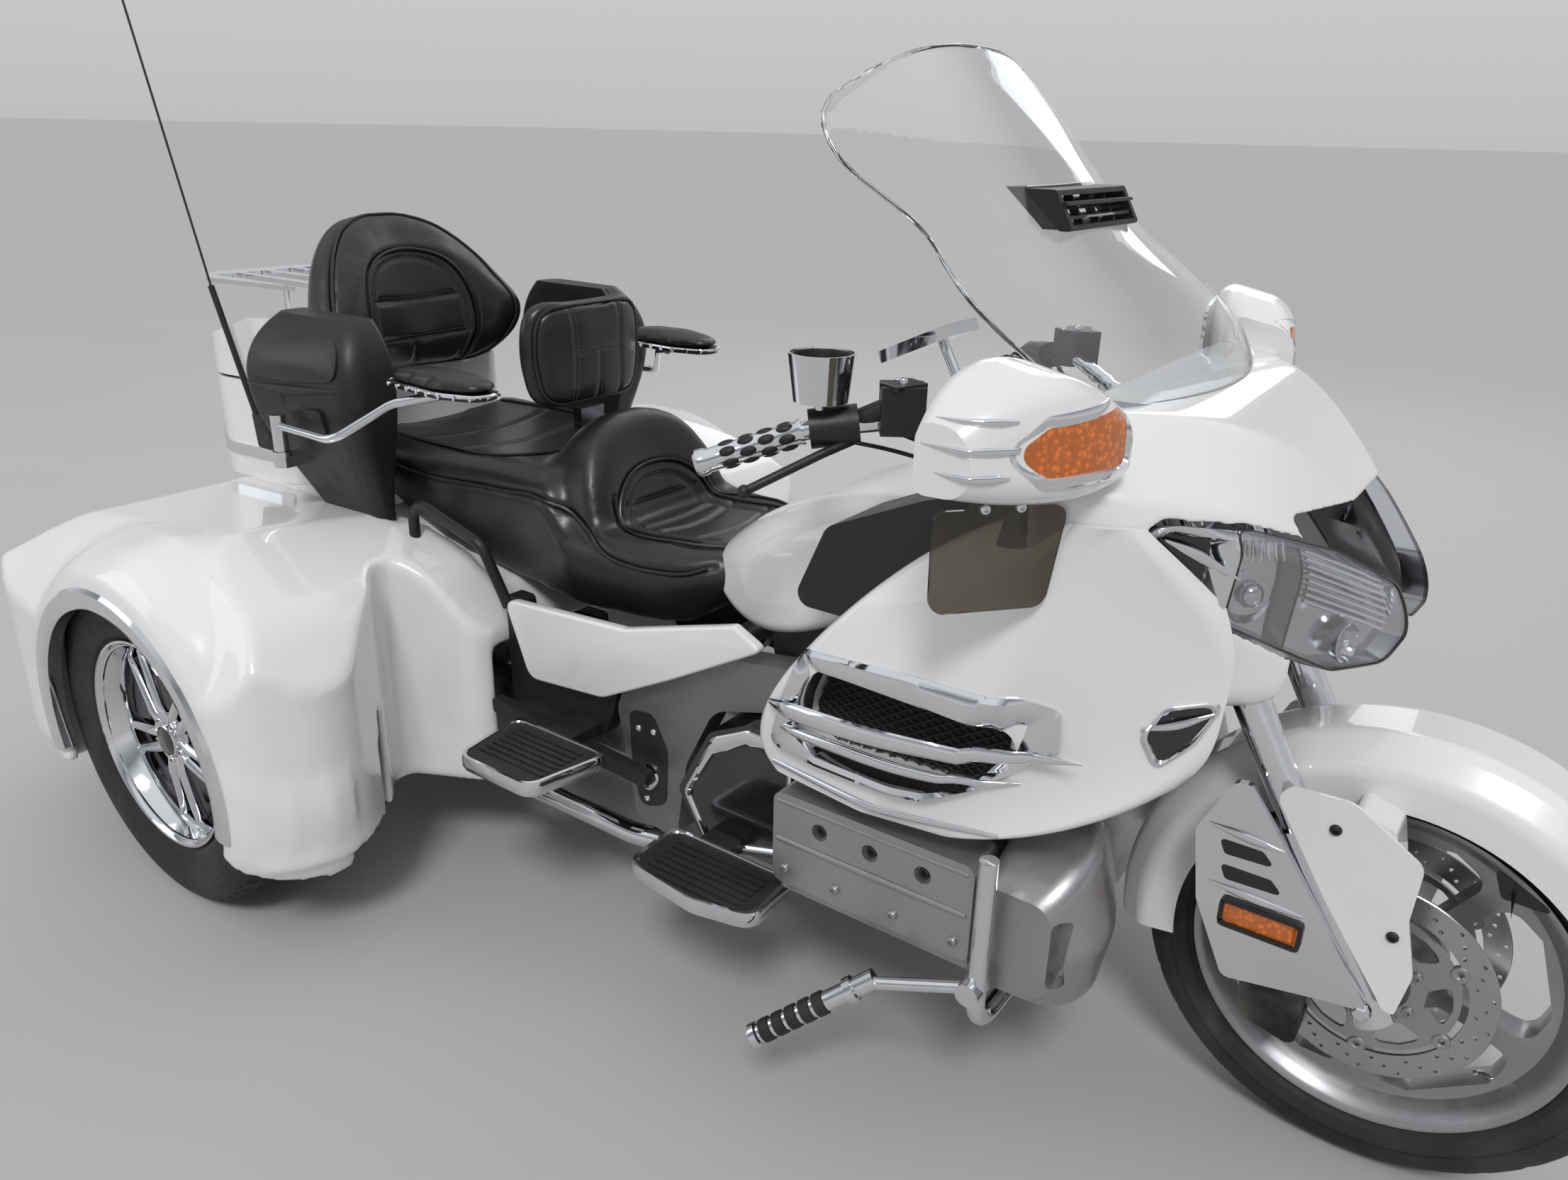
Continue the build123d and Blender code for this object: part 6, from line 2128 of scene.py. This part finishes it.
@dataclass
class FairingVents:
    """Louvred side vents: bright frame, two blades, diamond mesh, and the small inset ahead of them."""

    outer: tuple[Point, ...] = (
        (-0.78, 0.548, 0.02), (-0.752, 0.64, 0.04), (-0.722, 0.714, 0.012), (-0.56, 0.728, 0.05),
        (-0.405, 0.736, 0.03), (-0.365, 0.722, 0.02), (-0.36, 0.668, 0.015), (-0.45, 0.594, 0.04),
        (-0.515, 0.556, 0.03), (-0.69, 0.547, 0.02))
    inner: tuple[Point, ...] = (
        (-0.728, 0.588, 0.012), (-0.718, 0.64, 0.02), (-0.7, 0.688, 0.01), (-0.56, 0.69, 0.03),
        (-0.436, 0.686, 0.02), (-0.424, 0.676, 0.01), (-0.424, 0.656, 0.01), (-0.472, 0.586, 0.03),
        (-0.52, 0.574, 0.02), (-0.69, 0.567, 0.01))
    inset: tuple[Point, ...] = (
        (-0.284, 0.697, 0.02), (-0.262, 0.738, 0.02), (-0.2, 0.75, 0.012), (-0.224, 0.69, 0.03),
        (-0.262, 0.65, 0.012))

    spears: tuple[tuple[Point, ...], ...] = (
        ((-0.772, 0.622, 0.004, 0.004, 0.003), (-0.72, 0.63, 0.022, 0.013, 0.006),
         (-0.6, 0.638, 0.03, 0.013, 0.007), (-0.47, 0.648, 0.022, 0.011, 0.006),
         (-0.39, 0.657, 0.013, 0.008, 0.005), (-0.33, 0.664, 0.004, 0.001, 0.001)),
        ((-0.765, 0.59, 0.002, 0.003, 0.003), (-0.7, 0.597, 0.017, 0.008, 0.006),
         (-0.56, 0.6, 0.022, 0.008, 0.006), (-0.45, 0.607, 0.01, 0.005, 0.004),
         (-0.405, 0.611, 0.003, 0.001, 0.001)),
        ((-0.774, 0.522, 0.002, 0.004, 0.003), (-0.6, 0.52, 0.002, 0.006, 0.004),
         (-0.425, 0.528, 0.001, 0.003, 0.002)))
    inset_spear: tuple[Point, ...] = (
        (-0.282, 0.706, 0.003, 0.002, 0.002), (-0.245, 0.716, 0.006, 0.006, 0.004),
        (-0.212, 0.732, 0.003, 0.002, 0.002))
    mesh_level: float = 0.34
    mesh_pitch: float = 0.0125
    mesh_slope: float = 0.62
    wire: float = 0.0014

    def wires(self) -> Iterable[Form]:
        """Wires of the diamond mesh behind the opening.

        Yields:
            One wire at a time.
        """
        for turn in (1, -1):
            for k in range(-40, 40):
                run: list[Point] = []
                for step in range(120):
                    u = -0.74 + step * 0.003
                    v = 0.63 + turn * (u + 0.57) * self.mesh_slope + k * self.mesh_pitch
                    if inside(self.inner, u, v):
                        run.append((u, -self.mesh_level - 0.001 * turn, v))
                    elif run:
                        break
                if len(run) > 2:
                    yield Form.tube([run[0], run[-1]], self.wire, 6, 0)

    def build(self) -> None:
        """Build the vents and the insets."""
        skin = Skin("lower_fairings", View.SIDE, 0.36)
        ring = skin.frame(self.outer, self.inner, [
            (0, -0.004), (0, 0.003), (0.15, 0.01), (0.45, 0.013), (0.85, 0.01), (1, 0.002), (1, -0.03),
            (0.9, -0.03)])
        corner, floor = Skin("lower_fairings"), shrunk(self.inset, 0.008)
        bright = joined([ring, *(skin.spear(rows) for rows in self.spears),
                         corner.frame(self.inset, floor, MOULDING), corner.spear(self.inset_spear)])
        piece("fairing_vent_brightwork", bright.both(), CHROME, Body.CHASSIS, ["vent_trims"], 35)
        piece("fairing_vent_diamonds", joined(self.wires()).both(), BLACK, Body.CHASSIS)
        piece("fairing_inset_floors", corner.patch(floor, 0.0012, 0.002).both(), GLOSS_BLACK, Body.CHASSIS)


@dataclass
class MirrorTrim:
    """Bright bezels round the amber lenses, three spears beside each, and the deflectors' bolts."""

    bezel_outer: tuple[Point, ...] = (
        (0.348, 1.02, 0.016), (0.474, 1.021, 0.02), (0.512, 1.06, 0.02), (0.467, 1.097, 0.02),
        (0.348, 1.107, 0.016))
    bezel_inner: tuple[Point, ...] = (
        (0.357, 1.034, 0.012), (0.468, 1.036, 0.018), (0.494, 1.06, 0.016), (0.462, 1.081, 0.014),
        (0.357, 1.091, 0.012))
    seal: tuple[Point, ...] = (
        (0.3465, 1.012, 0.02), (0.478, 1.013, 0.02), (0.52, 1.06, 0.02), (0.47, 1.104, 0.02),
        (0.3465, 1.114, 0.02))
    # Height, start and end of each spear.
    spears: tuple[Point, ...] = ((1.092, -0.395, -0.47), (1.064, -0.385, -0.482), (1.036, -0.395, -0.465))
    deflector: Point = (-0.43, -0.44, 0.984)
    deflector_out: Point = (0.766, -0.643, 0)

    def build(self) -> None:
        """Build the trims on both mirrors."""
        front = Skin("mirror_shells", View.FRONT, -0.5)
        parts = [front.frame(self.bezel_outer, self.bezel_inner, [
            (0, -0.003), (0, 0.002), (0.3, 0.0045), (0.8, 0.004), (1, -0.004), (0.6, -0.005)])]
        side = Skin("mirror_shells", View.SIDE)
        for z, start, end in self.spears:
            span = end - start
            parts.append(side.spear([
                (start, z, 0, 0.002, 0.003), (start + span * 0.2, z, 0.001, 0.0048, 0.005),
                (start + span * 0.6, z + 0.001, 0.001, 0.003, 0.0035), (end, z + 0.002, 0, 0.0006, 0.001)]))
        x, y, z = self.deflector
        ahead, across, _ = self.deflector_out
        for offset in (-0.021, 0.021):
            spot = (x - offset * across + 0.0025 * ahead, y + offset * ahead + 0.0025 * across, z)
            parts.append(bolt(spot, self.deflector_out, 0.0065, 0.006))
        piece("mirror_brightwork", joined(parts).both(), CHROME, Body.CHASSIS)
        seal = front.frame(
            self.seal, self.bezel_outer, [(0, -0.002), (0.5, 0.0008), (1, 0.0008), (1, -0.002)])
        piece("mirror_lamp_seals", seal.both(), WHITE, Body.CHASSIS)


@dataclass
class ForkDress:
    """Guard louvres, amber reflectors, fender bolts and insets, and axle nuts."""

    slots: tuple[tuple[Point, ...], ...] = (
        ((-0.206, 0.503, 0.006), (-0.15, 0.503, 0.006), (-0.132, 0.485, 0.006), (-0.196, 0.482, 0.006)),
        ((-0.2, 0.466, 0.006), (-0.134, 0.466, 0.006), (-0.116, 0.448, 0.006), (-0.19, 0.445, 0.006)))
    rim: tuple[Point, ...] = (
        (-0.19, 0.376, 0.008), (-0.084, 0.376, 0.008), (-0.084, 0.419, 0.008), (-0.19, 0.419, 0.008))
    reflector: tuple[Point, ...] = (
        (-0.184, 0.382, 0.005), (-0.09, 0.382, 0.005), (-0.09, 0.413, 0.005), (-0.184, 0.413, 0.005))
    fender_inset: tuple[Point, ...] = ((0.096, 0.548, 0.006), (0.176, 0.506, 0.006), (0.112, 0.508, 0.006))
    fender_studs: tuple[Point, ...] = ((-0.074, 0.563), (0.014, 0.442))
    ridges: tuple[tuple[Point, ...], ...] = (
        (
            (-0.222, 0.52, 0, 0.002, 0.001), (-0.17, 0.516, 0.002, 0.006, 0.003),
            (-0.125, 0.512, 0, 0.002, 0.001)),
        (
            (-0.21, 0.434, 0, 0.002, 0.001), (-0.15, 0.43, 0.002, 0.006, 0.003),
            (-0.088, 0.428, 0, 0.002, 0.001)))
    nut: tuple[Point, ...] = ((0, 0.01), (0.009, 0.01), (0.0125, 0.007), (0.0135, -0.001), (0, -0.001))

    def build(self) -> None:
        """Build the fork's small pieces."""
        guard, fender = Skin("fork_guards"), Skin("front_fender")
        dark = [guard.patch(rows, 0.0006, 0.002) for rows in self.slots]
        dark.append(guard.frame(self.rim, self.reflector, [(0, -0.001), (0, 0.006), (1, 0.006), (1, -0.001)]))
        dark.append(fender.patch(self.fender_inset, 0.0006, 0.002))
        dark += [fender.stud(x, z, 0.0075, 0.004) for x, z in self.fender_studs]
        piece("fork_dark_details", joined(dark).both(), BLACK, Body.STEERING)
        piece("fork_reflectors", guard.patch(self.reflector, 0.005, 0.005).both(), AMBER, Body.STEERING)
        nut = Form.turned(self.nut, (0, -0.146, 0.318), (0, -1, 0), 6, closed=False)
        bright = joined([*(guard.spear(rows) for rows in self.ridges), nut])
        piece("fork_brightwork", bright.both(), CHROME, Body.STEERING)


@dataclass
class BarDress:
    """Cushioned grips, cables, the reservoir's knob and the cup's dark liner."""

    inner: Point = (-0.745, -0.337, 1.003)
    outer: Point = (-0.862, -0.422, 0.955)
    sleeve_start: float = 0.017
    pad_rows: int = 4
    pads_round: int = 6
    pad_pitch: float = 0.0262
    # Radius and route of each cable.
    cables: tuple[tuple[float, tuple[Point, ...]], ...] = (
        (0.0035, ((-0.702, -0.3, 1.022), (-0.668, -0.262, 0.996), (-0.615, -0.224, 0.972),
                  (-0.56, -0.19, 0.95))),
        (0.003, ((-0.712, -0.318, 0.988), (-0.672, -0.268, 0.972), (-0.615, -0.236, 0.956),
                  (-0.56, -0.2, 0.938))))
    lid: tuple[Point, ...] = (
        (-0.676, 0.302, 0.006), (-0.64, 0.317, 0.006), (-0.622, 0.266, 0.006), (-0.66, 0.248, 0.006))
    cup: tuple[Point, ...] = (
        (0, -0.02), (0.034, -0.02), (0.0385, 0.024), (0.0395, 0.0285), (0.037, 0.0285), (0.0355, 0.024),
        (0.032, -0.017), (0, -0.017))

    def grip(self) -> tuple[Form, Form]:
        """Right grip.

        Returns:
            The bright sleeve and the rubber pads.
        """
        start, end = Vector(self.inner), Vector(self.outer)
        along = (end - start).normalized()
        side = along.cross(Vector((0, 0, 1))).normalized()
        over = side.cross(along).normalized()
        low, span = self.sleeve_start, (end - start).length - 0.006
        sleeve = Form.turned([
            (0.0132, low), (0.0175, low), (0.0178, low + 0.004), (0.016, low + 0.007), (0.016, span),
            (0.018, span + 0.003), (0.0182, span + 0.014), (0.015, span + 0.018), (0.006, span + 0.0185),
            (0, span + 0.017)], start, along, 32, closed=False)
        ball = [(0, 1), (0.5, 0.866), (0.866, 0.5), (1, 0), (0.866, -0.5), (0, -1)]
        pads = []
        for row in range(self.pad_rows):
            for k in range(self.pads_round):
                angle = 2 * pi * (k + 0.5 * (row % 2)) / self.pads_round
                out = side * cos(angle) + over * sin(angle)
                middle = start + along * (low + 0.022 + row * self.pad_pitch) + out * 0.015
                turn = Matrix((along * 0.012, along.cross(out) * 0.0066, out * 0.0042)).transposed().to_4x4()
                pad = Form.turned(ball, (0, 0, 0), (0, 0, 1), 14, closed=False)
                pads.append(pad.moved(Matrix.Translation(middle) @ turn))
        return sleeve, joined(pads)

    def build(self) -> None:
        """Build the bar's small pieces."""
        sleeve, pads = self.grip()
        knob = bolt((-0.65, -0.283, 1.0642), (0, 0, 1), 0.006, 0.008)
        screw = bolt((-0.668, -0.268, 1.0642), (0, 0, 1), 0.0035, 0.003)
        piece("grip_sleeves", (sleeve + (knob + screw)).both(), CHROME, Body.STEERING, ["grips"])
        piece("grip_pads", pads.both(), GRIP_RUBBER, Body.STEERING)
        cables = joined(Form.tube(route, radius, 10, 8) for radius, route in self.cables)
        lid = Form.plate(self.lid, "xy", 1.06, 1.066)
        piece("bar_cables", (cables.mirrored() + lid).both(), BLACK, Body.STEERING)
        cup = Form.turned(self.cup, (-0.74, -0.335, 1.07), (0, 0, 1), 40, closed=False)
        piece("cup_liner", cup, BLACK, Body.STEERING)


@dataclass
class EngineDress:
    """Ribs and bolts of the cylinder covers, the frame's inset plates, caps and the side panels' swoosh."""

    ribs: tuple[tuple[Point, ...], ...] = (
        (
            (-0.768, 0.392, 0, 0.004, 0.003), (-0.61, 0.392, 0.001, 0.005, 0.003),
            (-0.458, 0.392, 0, 0.004, 0.003)),
        ((-0.768, 0.456, 0, 0.003, 0.002), (-0.458, 0.456, 0, 0.003, 0.002)))
    cover_bolts: tuple[float, ...] = (-0.752, -0.664, -0.568, -0.474)
    plugs: tuple[float, ...] = (-0.694, -0.61, -0.526)
    plug: tuple[Point, ...] = (
        (0, 0.362), (0.0085, 0.362), (0.0085, 0.366), (0.006, 0.368), (0.0045, 0.368), (0.0045, 0.364),
        (0, 0.364))
    inset: tuple[Point, ...] = (
        (-1.172, 0.425, 0.02), (-1.118, 0.432, 0.02), (-1.086, 0.37, 0.03), (-1.09, 0.262, 0.03),
        (-1.15, 0.24, 0.02), (-1.168, 0.33, 0.03))
    cap_outer: tuple[Point, ...] = (
        (-1.158, 0.3, 0.02), (-1.126, 0.34, 0.02), (-1.098, 0.314, 0.02), (-1.128, 0.274, 0.02))
    cap_inner: tuple[Point, ...] = (
        (-1.148, 0.302, 0.014), (-1.127, 0.328, 0.014), (-1.108, 0.312, 0.014), (-1.129, 0.286, 0.014))
    frame_bolts: tuple[Point, ...] = ((-1.15, 0.395), (-1.116, 0.398), (-1.134, 0.262))
    swoosh_outer: tuple[Point, ...] = (
        (-1.02, 0.338, 0.02), (-0.968, 0.25, 0.02), (-0.8, 0.296, 0.02), (-0.8, 0.49, 0.02),
        (-0.888, 0.492, 0.02), (-0.96, 0.456, 0.03))
    swoosh_inner: tuple[Point, ...] = (
        (-1.006, 0.34, 0.02), (-0.962, 0.262, 0.02), (-0.812, 0.304, 0.02), (-0.812, 0.466, 0.02),
        (-0.886, 0.464, 0.02), (-0.952, 0.43, 0.03))

    def build(self) -> None:
        """Build the engine's small pieces."""
        cover, plate = Skin("cylinder_covers", View.SIDE, 0.35), Skin("frame", View.SIDE, 0.2)
        ribs = [cover.spear(rows) for rows in self.ribs]
        ribs += [cover.stud(x, 0.345, 0.0075, 0.006) for x in self.cover_bolts]
        piece("engine_cover_details", joined(ribs).both(), SATIN, Body.CHASSIS)
        dark = [Form.turned(self.plug, (x, 0, 0.428), (0, -1, 0), 20, closed=False) for x in self.plugs]
        dark.append(plate.patch(self.inset, 0.0015, 0.003))
        piece("engine_dark_details", joined(dark).both(), BLACK, Body.CHASSIS)
        caps = [plate.frame(self.cap_outer, self.cap_inner, [
            (0, 0.001), (0, 0.005), (0.5, 0.007), (1, 0.004), (1, 0.001)])]
        caps += [plate.stud(x, z, 0.0065, 0.005) for x, z in self.frame_bolts]
        piece("frame_caps_and_bolts", joined(caps).both(), CHROME, Body.CHASSIS)
        panel = Skin("engine_side_panels", View.SIDE, 0.25)
        swoosh = panel.frame(self.swoosh_outer, self.swoosh_inner, MOULDING)
        piece("engine_panel_swoosh", swoosh.both(), CHROME, Body.CHASSIS)


@dataclass
class StepsDress:
    """Bright rims and ribbed rubbers of the boards, and the rubber rings of the highway pegs."""

    # Level and outline of each board.
    boards: tuple[tuple[float, tuple[Point, ...]], ...] = (
        (0.28, ((-1.005, 0.33, 0.02), (-1.000, 0.445, 0.03), (-0.86, 0.462, 0.06), (-0.76, 0.44, 0.03),
                 (-0.77, 0.33, 0.02))),
        (0.364, ((-1.37, 0.33, 0.02), (-1.35, 0.48, 0.03), (-1.18, 0.48, 0.03), (-1.15, 0.33, 0.02))))
    rim: tuple[Point, ...] = (
        (1.0, -0.012), (1.03, -0.006), (1.035, 0.006), (1.015, 0.0145), (0.95, 0.0145), (0.93, 0.0115),
        (0.94, -0.012))
    ribs: int = 7
    rib_pitch: float = 0.0145
    rib_width: float = 0.007
    peg_start: Point = (-0.56, 0.425, 0.275)
    peg_end: Point = (-0.7, 0.52, 0.165)
    rings: int = 5
    ring_pitch: float = 0.022
    ring: tuple[Point, ...] = (
        (0.0138, 0), (0.0168, 0.002), (0.0172, 0.009), (0.0168, 0.016), (0.0138, 0.018))
    peg_tip: tuple[Point, ...] = (
        (0.0138, -0.008), (0.0178, -0.006), (0.0178, 0.003), (0.01, 0.007), (0, 0.0075))
    collar: tuple[Point, ...] = ((0.0138, 0.01), (0.0185, 0.012), (0.0185, 0.024), (0.0138, 0.026))

    def board(self, level: float, rows: Sequence[Point]) -> tuple[Form, list[Form]]:
        """Trims of one board.

        Args:
            level: Height of the board.
            rows: Its outline as (x, y, corner radius).

        Returns:
            The bright rim and the rubber ribs.
        """
        edge = rounded_outline(rows, 6)
        cx, cy = (sum(p[k] for p in edge) / len(edge) for k in (0, 1))
        rings = [[(cx + (x - cx) * s, cy + (y - cy) * s, level + h) for x, y in edge] for s, h in self.rim]
        low, high = min(p[0] for p in edge) + 0.03, max(p[0] for p in edge) - 0.03
        ribs = []
        for k in range(self.ribs):
            y = 0.352 + self.rib_pitch * k
            flat = [
                (x, side, 0.003)
                for x, side in ((low, y), (high, y), (high, y + self.rib_width), (low, y + self.rib_width))]
            ribs.append(Form.plate(flat, "xy", level + 0.011, level + 0.0145, 3))
        return Form.rows(rings, capped=False, looped=True), ribs

    def build(self) -> None:
        """Build the rims, rubbers and rings."""
        bright, rubbers = [], []
        for level, rows in self.boards:
            rim, ribs = self.board(level, rows)
            bright.append(rim)
            rubbers += ribs
        start, end = Vector(self.peg_start), Vector(self.peg_end)
        along = (end - start).normalized()
        rubbers += [
            Form.turned(self.ring, start + along * (0.078 + self.ring_pitch * k), along, 24, closed=False)
            for k in range(self.rings)]
        bright.append(Form.turned(self.peg_tip, end - along * 0.006, along, 28, closed=False))
        bright.append(Form.turned(self.collar, start + along * 0.02, along, 28, closed=False))
        piece("board_rims_and_peg_ends", joined(bright).both(), CHROME, Body.CHASSIS)
        piece("board_and_peg_rubbers", joined(rubbers).both(), GRIP_RUBBER, Body.CHASSIS)


@dataclass
class Hood:
    """Upper fairing with its creases eased, and the dark slot on its crest."""

    voxel: float = 0.0038
    passes: int = 16
    kept: float = 0.35
    slot: tuple[Point, ...] = (
        (-0.012, 0.888, 0.003), (0.024, 0.905, 0.003), (0.034, 0.914, 0.003), (0.01, 0.908, 0.003))

    def build(self) -> None:
        """Build the hood and its slot."""
        shell = node_form("upper_fairing").eased(self.voxel, self.passes, self.kept)
        piece("hood_shell", shell, WHITE, Body.CHASSIS, ["upper_fairing"], 60)
        slot = Skin("upper_fairing", View.FRONT).patch(self.slot, 0.0012, 0.003)
        piece("hood_slot", slot, GLOSS_BLACK, Body.CHASSIS)


BUILDERS: list[Any] = [
    Seat(), PassengerBackrest(), RiderBackrest(), Armrest(-1), Armrest(1), *tyres(), RearWheel(1),
    RearWheel(-1), FrontWheel(), TrikeBody(), PodDress(), Hood(), Windshield(), HeadLamps(), FairingVents(),
    MirrorTrim(), ForkDress(), BarDress(), EngineDress(), StepsDress()]


NODE_FINISHES: dict[Finish, str] = {
    WHITE: "upper_fairing lower_fairings mirror_shells tank_shelter side_covers trike_body trunk_shell"
           " front_fender trunk_lid boot_lid",
    CHROME: "vent_trims crash_bars exhaust_pipes bright_trims pad_brackets fork fork_guards handlebar"
            " bar_fittings rear_rim_left rear_rim_right luggage_rack armrest_arm_left armrest_arm_right",
    SATIN: "cylinder_covers engine_cowls belly_pan",
    WHEEL_GREY: "front_rim",
    FRAME_GREY: "frame",
    DARK: "engine_block rear_axle front_calipers",
    STEEL: "front_discs",
    BLACK: "vent_meshes windshield_vent dash inner_panels rear_side_panels grab_rails side_pods antenna"
           " bar_controls",
    GLOSS_BLACK: "engine_side_panels",
    GRIP_RUBBER: "floorboards grips",
    TYRE: "front_tyre rear_tyre_left rear_tyre_right",
    LEATHER: "seat rider_backrest passenger_backrest armrest_pad_left armrest_pad_right",
    CLEAR: "windshield",
    LAMP_GLASS: "head_lamps",
    SMOKED: "wind_deflectors",
    AMBER: "mirror_lamps",
    RED: "tail_lamps",
    MIRROR: "mirror_glass",
}


def dress_nodes() -> None:
    """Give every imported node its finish."""
    for finish, names in NODE_FINISHES.items():
        for name in names.split():
            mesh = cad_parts[name].data
            mesh.materials.clear()
            mesh.materials.append(finish.material())
            mesh.polygons.foreach_set("material_index", [0] * len(mesh.polygons))


@dataclass
class Studio:
    """Camera, floor and soft light."""

    lens: float = 36 * 1649 / 2212
    eye: Point = (0.08, -1.569, 1.362)
    heading: float = 35.22
    pitch: float = 21.55
    roll: float = 1.26
    sky: float = 0.82
    key: float = 1.35

    def camera(self) -> None:
        """Camera at the photograph's place and angle."""
        a, e, r = radians(self.heading), radians(self.pitch), radians(self.roll)
        ahead = Vector((-sin(a) * cos(e), cos(a) * cos(e), -sin(e)))
        right = Vector((cos(a), sin(a), 0))
        up = right.cross(ahead)
        side = right * cos(r) + up * sin(r)
        top = up * cos(r) - right * sin(r)
        data = bpy.data.cameras.new("camera")
        data.sensor_width = 36
        data.lens = self.lens
        camera = bpy.data.objects.new("camera", data)
        bpy.context.scene.collection.objects.link(camera)
        rows = [
            [side[i], top[i], -ahead[i], (Vector(self.eye) + Vector((AXLE_X, 0, 0)))[i]] for i in range(3)]
        camera.matrix_world = Matrix([*rows, [0, 0, 0, 1]])
        bpy.context.scene.camera = camera

    def floor(self) -> None:
        """Wide pale floor."""
        mesh = bpy.data.meshes.new("floor")
        mesh.from_pydata([(-300, -300, 0), (300, -300, 0), (300, 300, 0), (-300, 300, 0)], [], [(0, 1, 2, 3)])
        mesh.materials.append(FLOOR.material())
        made = bpy.data.objects.new("floor", mesh)
        bpy.context.scene.collection.objects.link(made)

    def light(self) -> None:
        """Graded world, a soft key and two fills."""
        world = bpy.data.worlds.new("studio")
        world.use_nodes = True
        bpy.context.scene.world = world
        bench = Bench(world.node_tree)
        level = bench.node(
            "ShaderNodeSeparateXYZ", inputs={0: bench.node("ShaderNodeTexCoord", output="Generated")},
            output="Z")
        grade = bench.node("ShaderNodeValToRGB", {"stops": [
            (0.0, (0.5, 0.49, 0.48)), (0.49, (0.62, 0.62, 0.62)), (0.56, (0.72, 0.73, 0.74)),
            (0.66, (0.42, 0.43, 0.45)), (0.74, (0.26, 0.275, 0.3)), (0.84, (0.86, 0.88, 0.91)),
            (1.0, (0.95, 0.96, 0.98))]}, {"Fac": level * 0.5 + 0.5})
        shade = bench.node("ShaderNodeBackground", inputs={"Color": grade, "Strength": self.sky})
        out = bench.tree.nodes.new("ShaderNodeOutputWorld")
        bench.feed(out.inputs["Surface"], shade)
        sun = bpy.data.lights.new("key", "SUN")
        sun.energy = self.key
        sun.angle = radians(14)
        self.aim(sun, (2.2, -3.4, 5.2))
        for name, spot, size, power, tint in (
                ("fill", (-4.5, -4.0, 3.0), 3.0, 30, (0.92, 0.95, 1.0)),
                ("rim", (-1.0, 4.5, 3.6), 3.0, 40, (0.95, 0.97, 1.0))):
            data = bpy.data.lights.new(name, "AREA")
            data.energy = power
            data.size = size
            data.color = tint
            self.aim(data, spot)

    def aim(self, data: bpy.types.Light, spot: Point) -> None:
        """Place a light and point it at the vehicle.

        Args:
            data: The light.
            spot: Its place.
        """
        lamp = bpy.data.objects.new(data.name, data)
        bpy.context.scene.collection.objects.link(lamp)
        lamp.location = spot
        lamp.rotation_mode = "QUATERNION"
        lamp.rotation_quaternion = (Vector((0.1, 0, 0.5)) - Vector(spot)).to_track_quat("-Z", "Y")

    def build(self) -> None:
        """Build the studio."""
        bpy.context.scene.view_settings.view_transform = "Standard"
        self.camera()
        self.floor()
        self.light()


def main() -> None:
    """Build the vehicle's pieces in order."""
    logging.basicConfig(level=logging.INFO, format="%(relativeCreated)d ms %(message)s")
    Studio().build()
    dress_nodes()
    for builder in BUILDERS:
        builder.build()


if __name__ == "__main__":
    main()
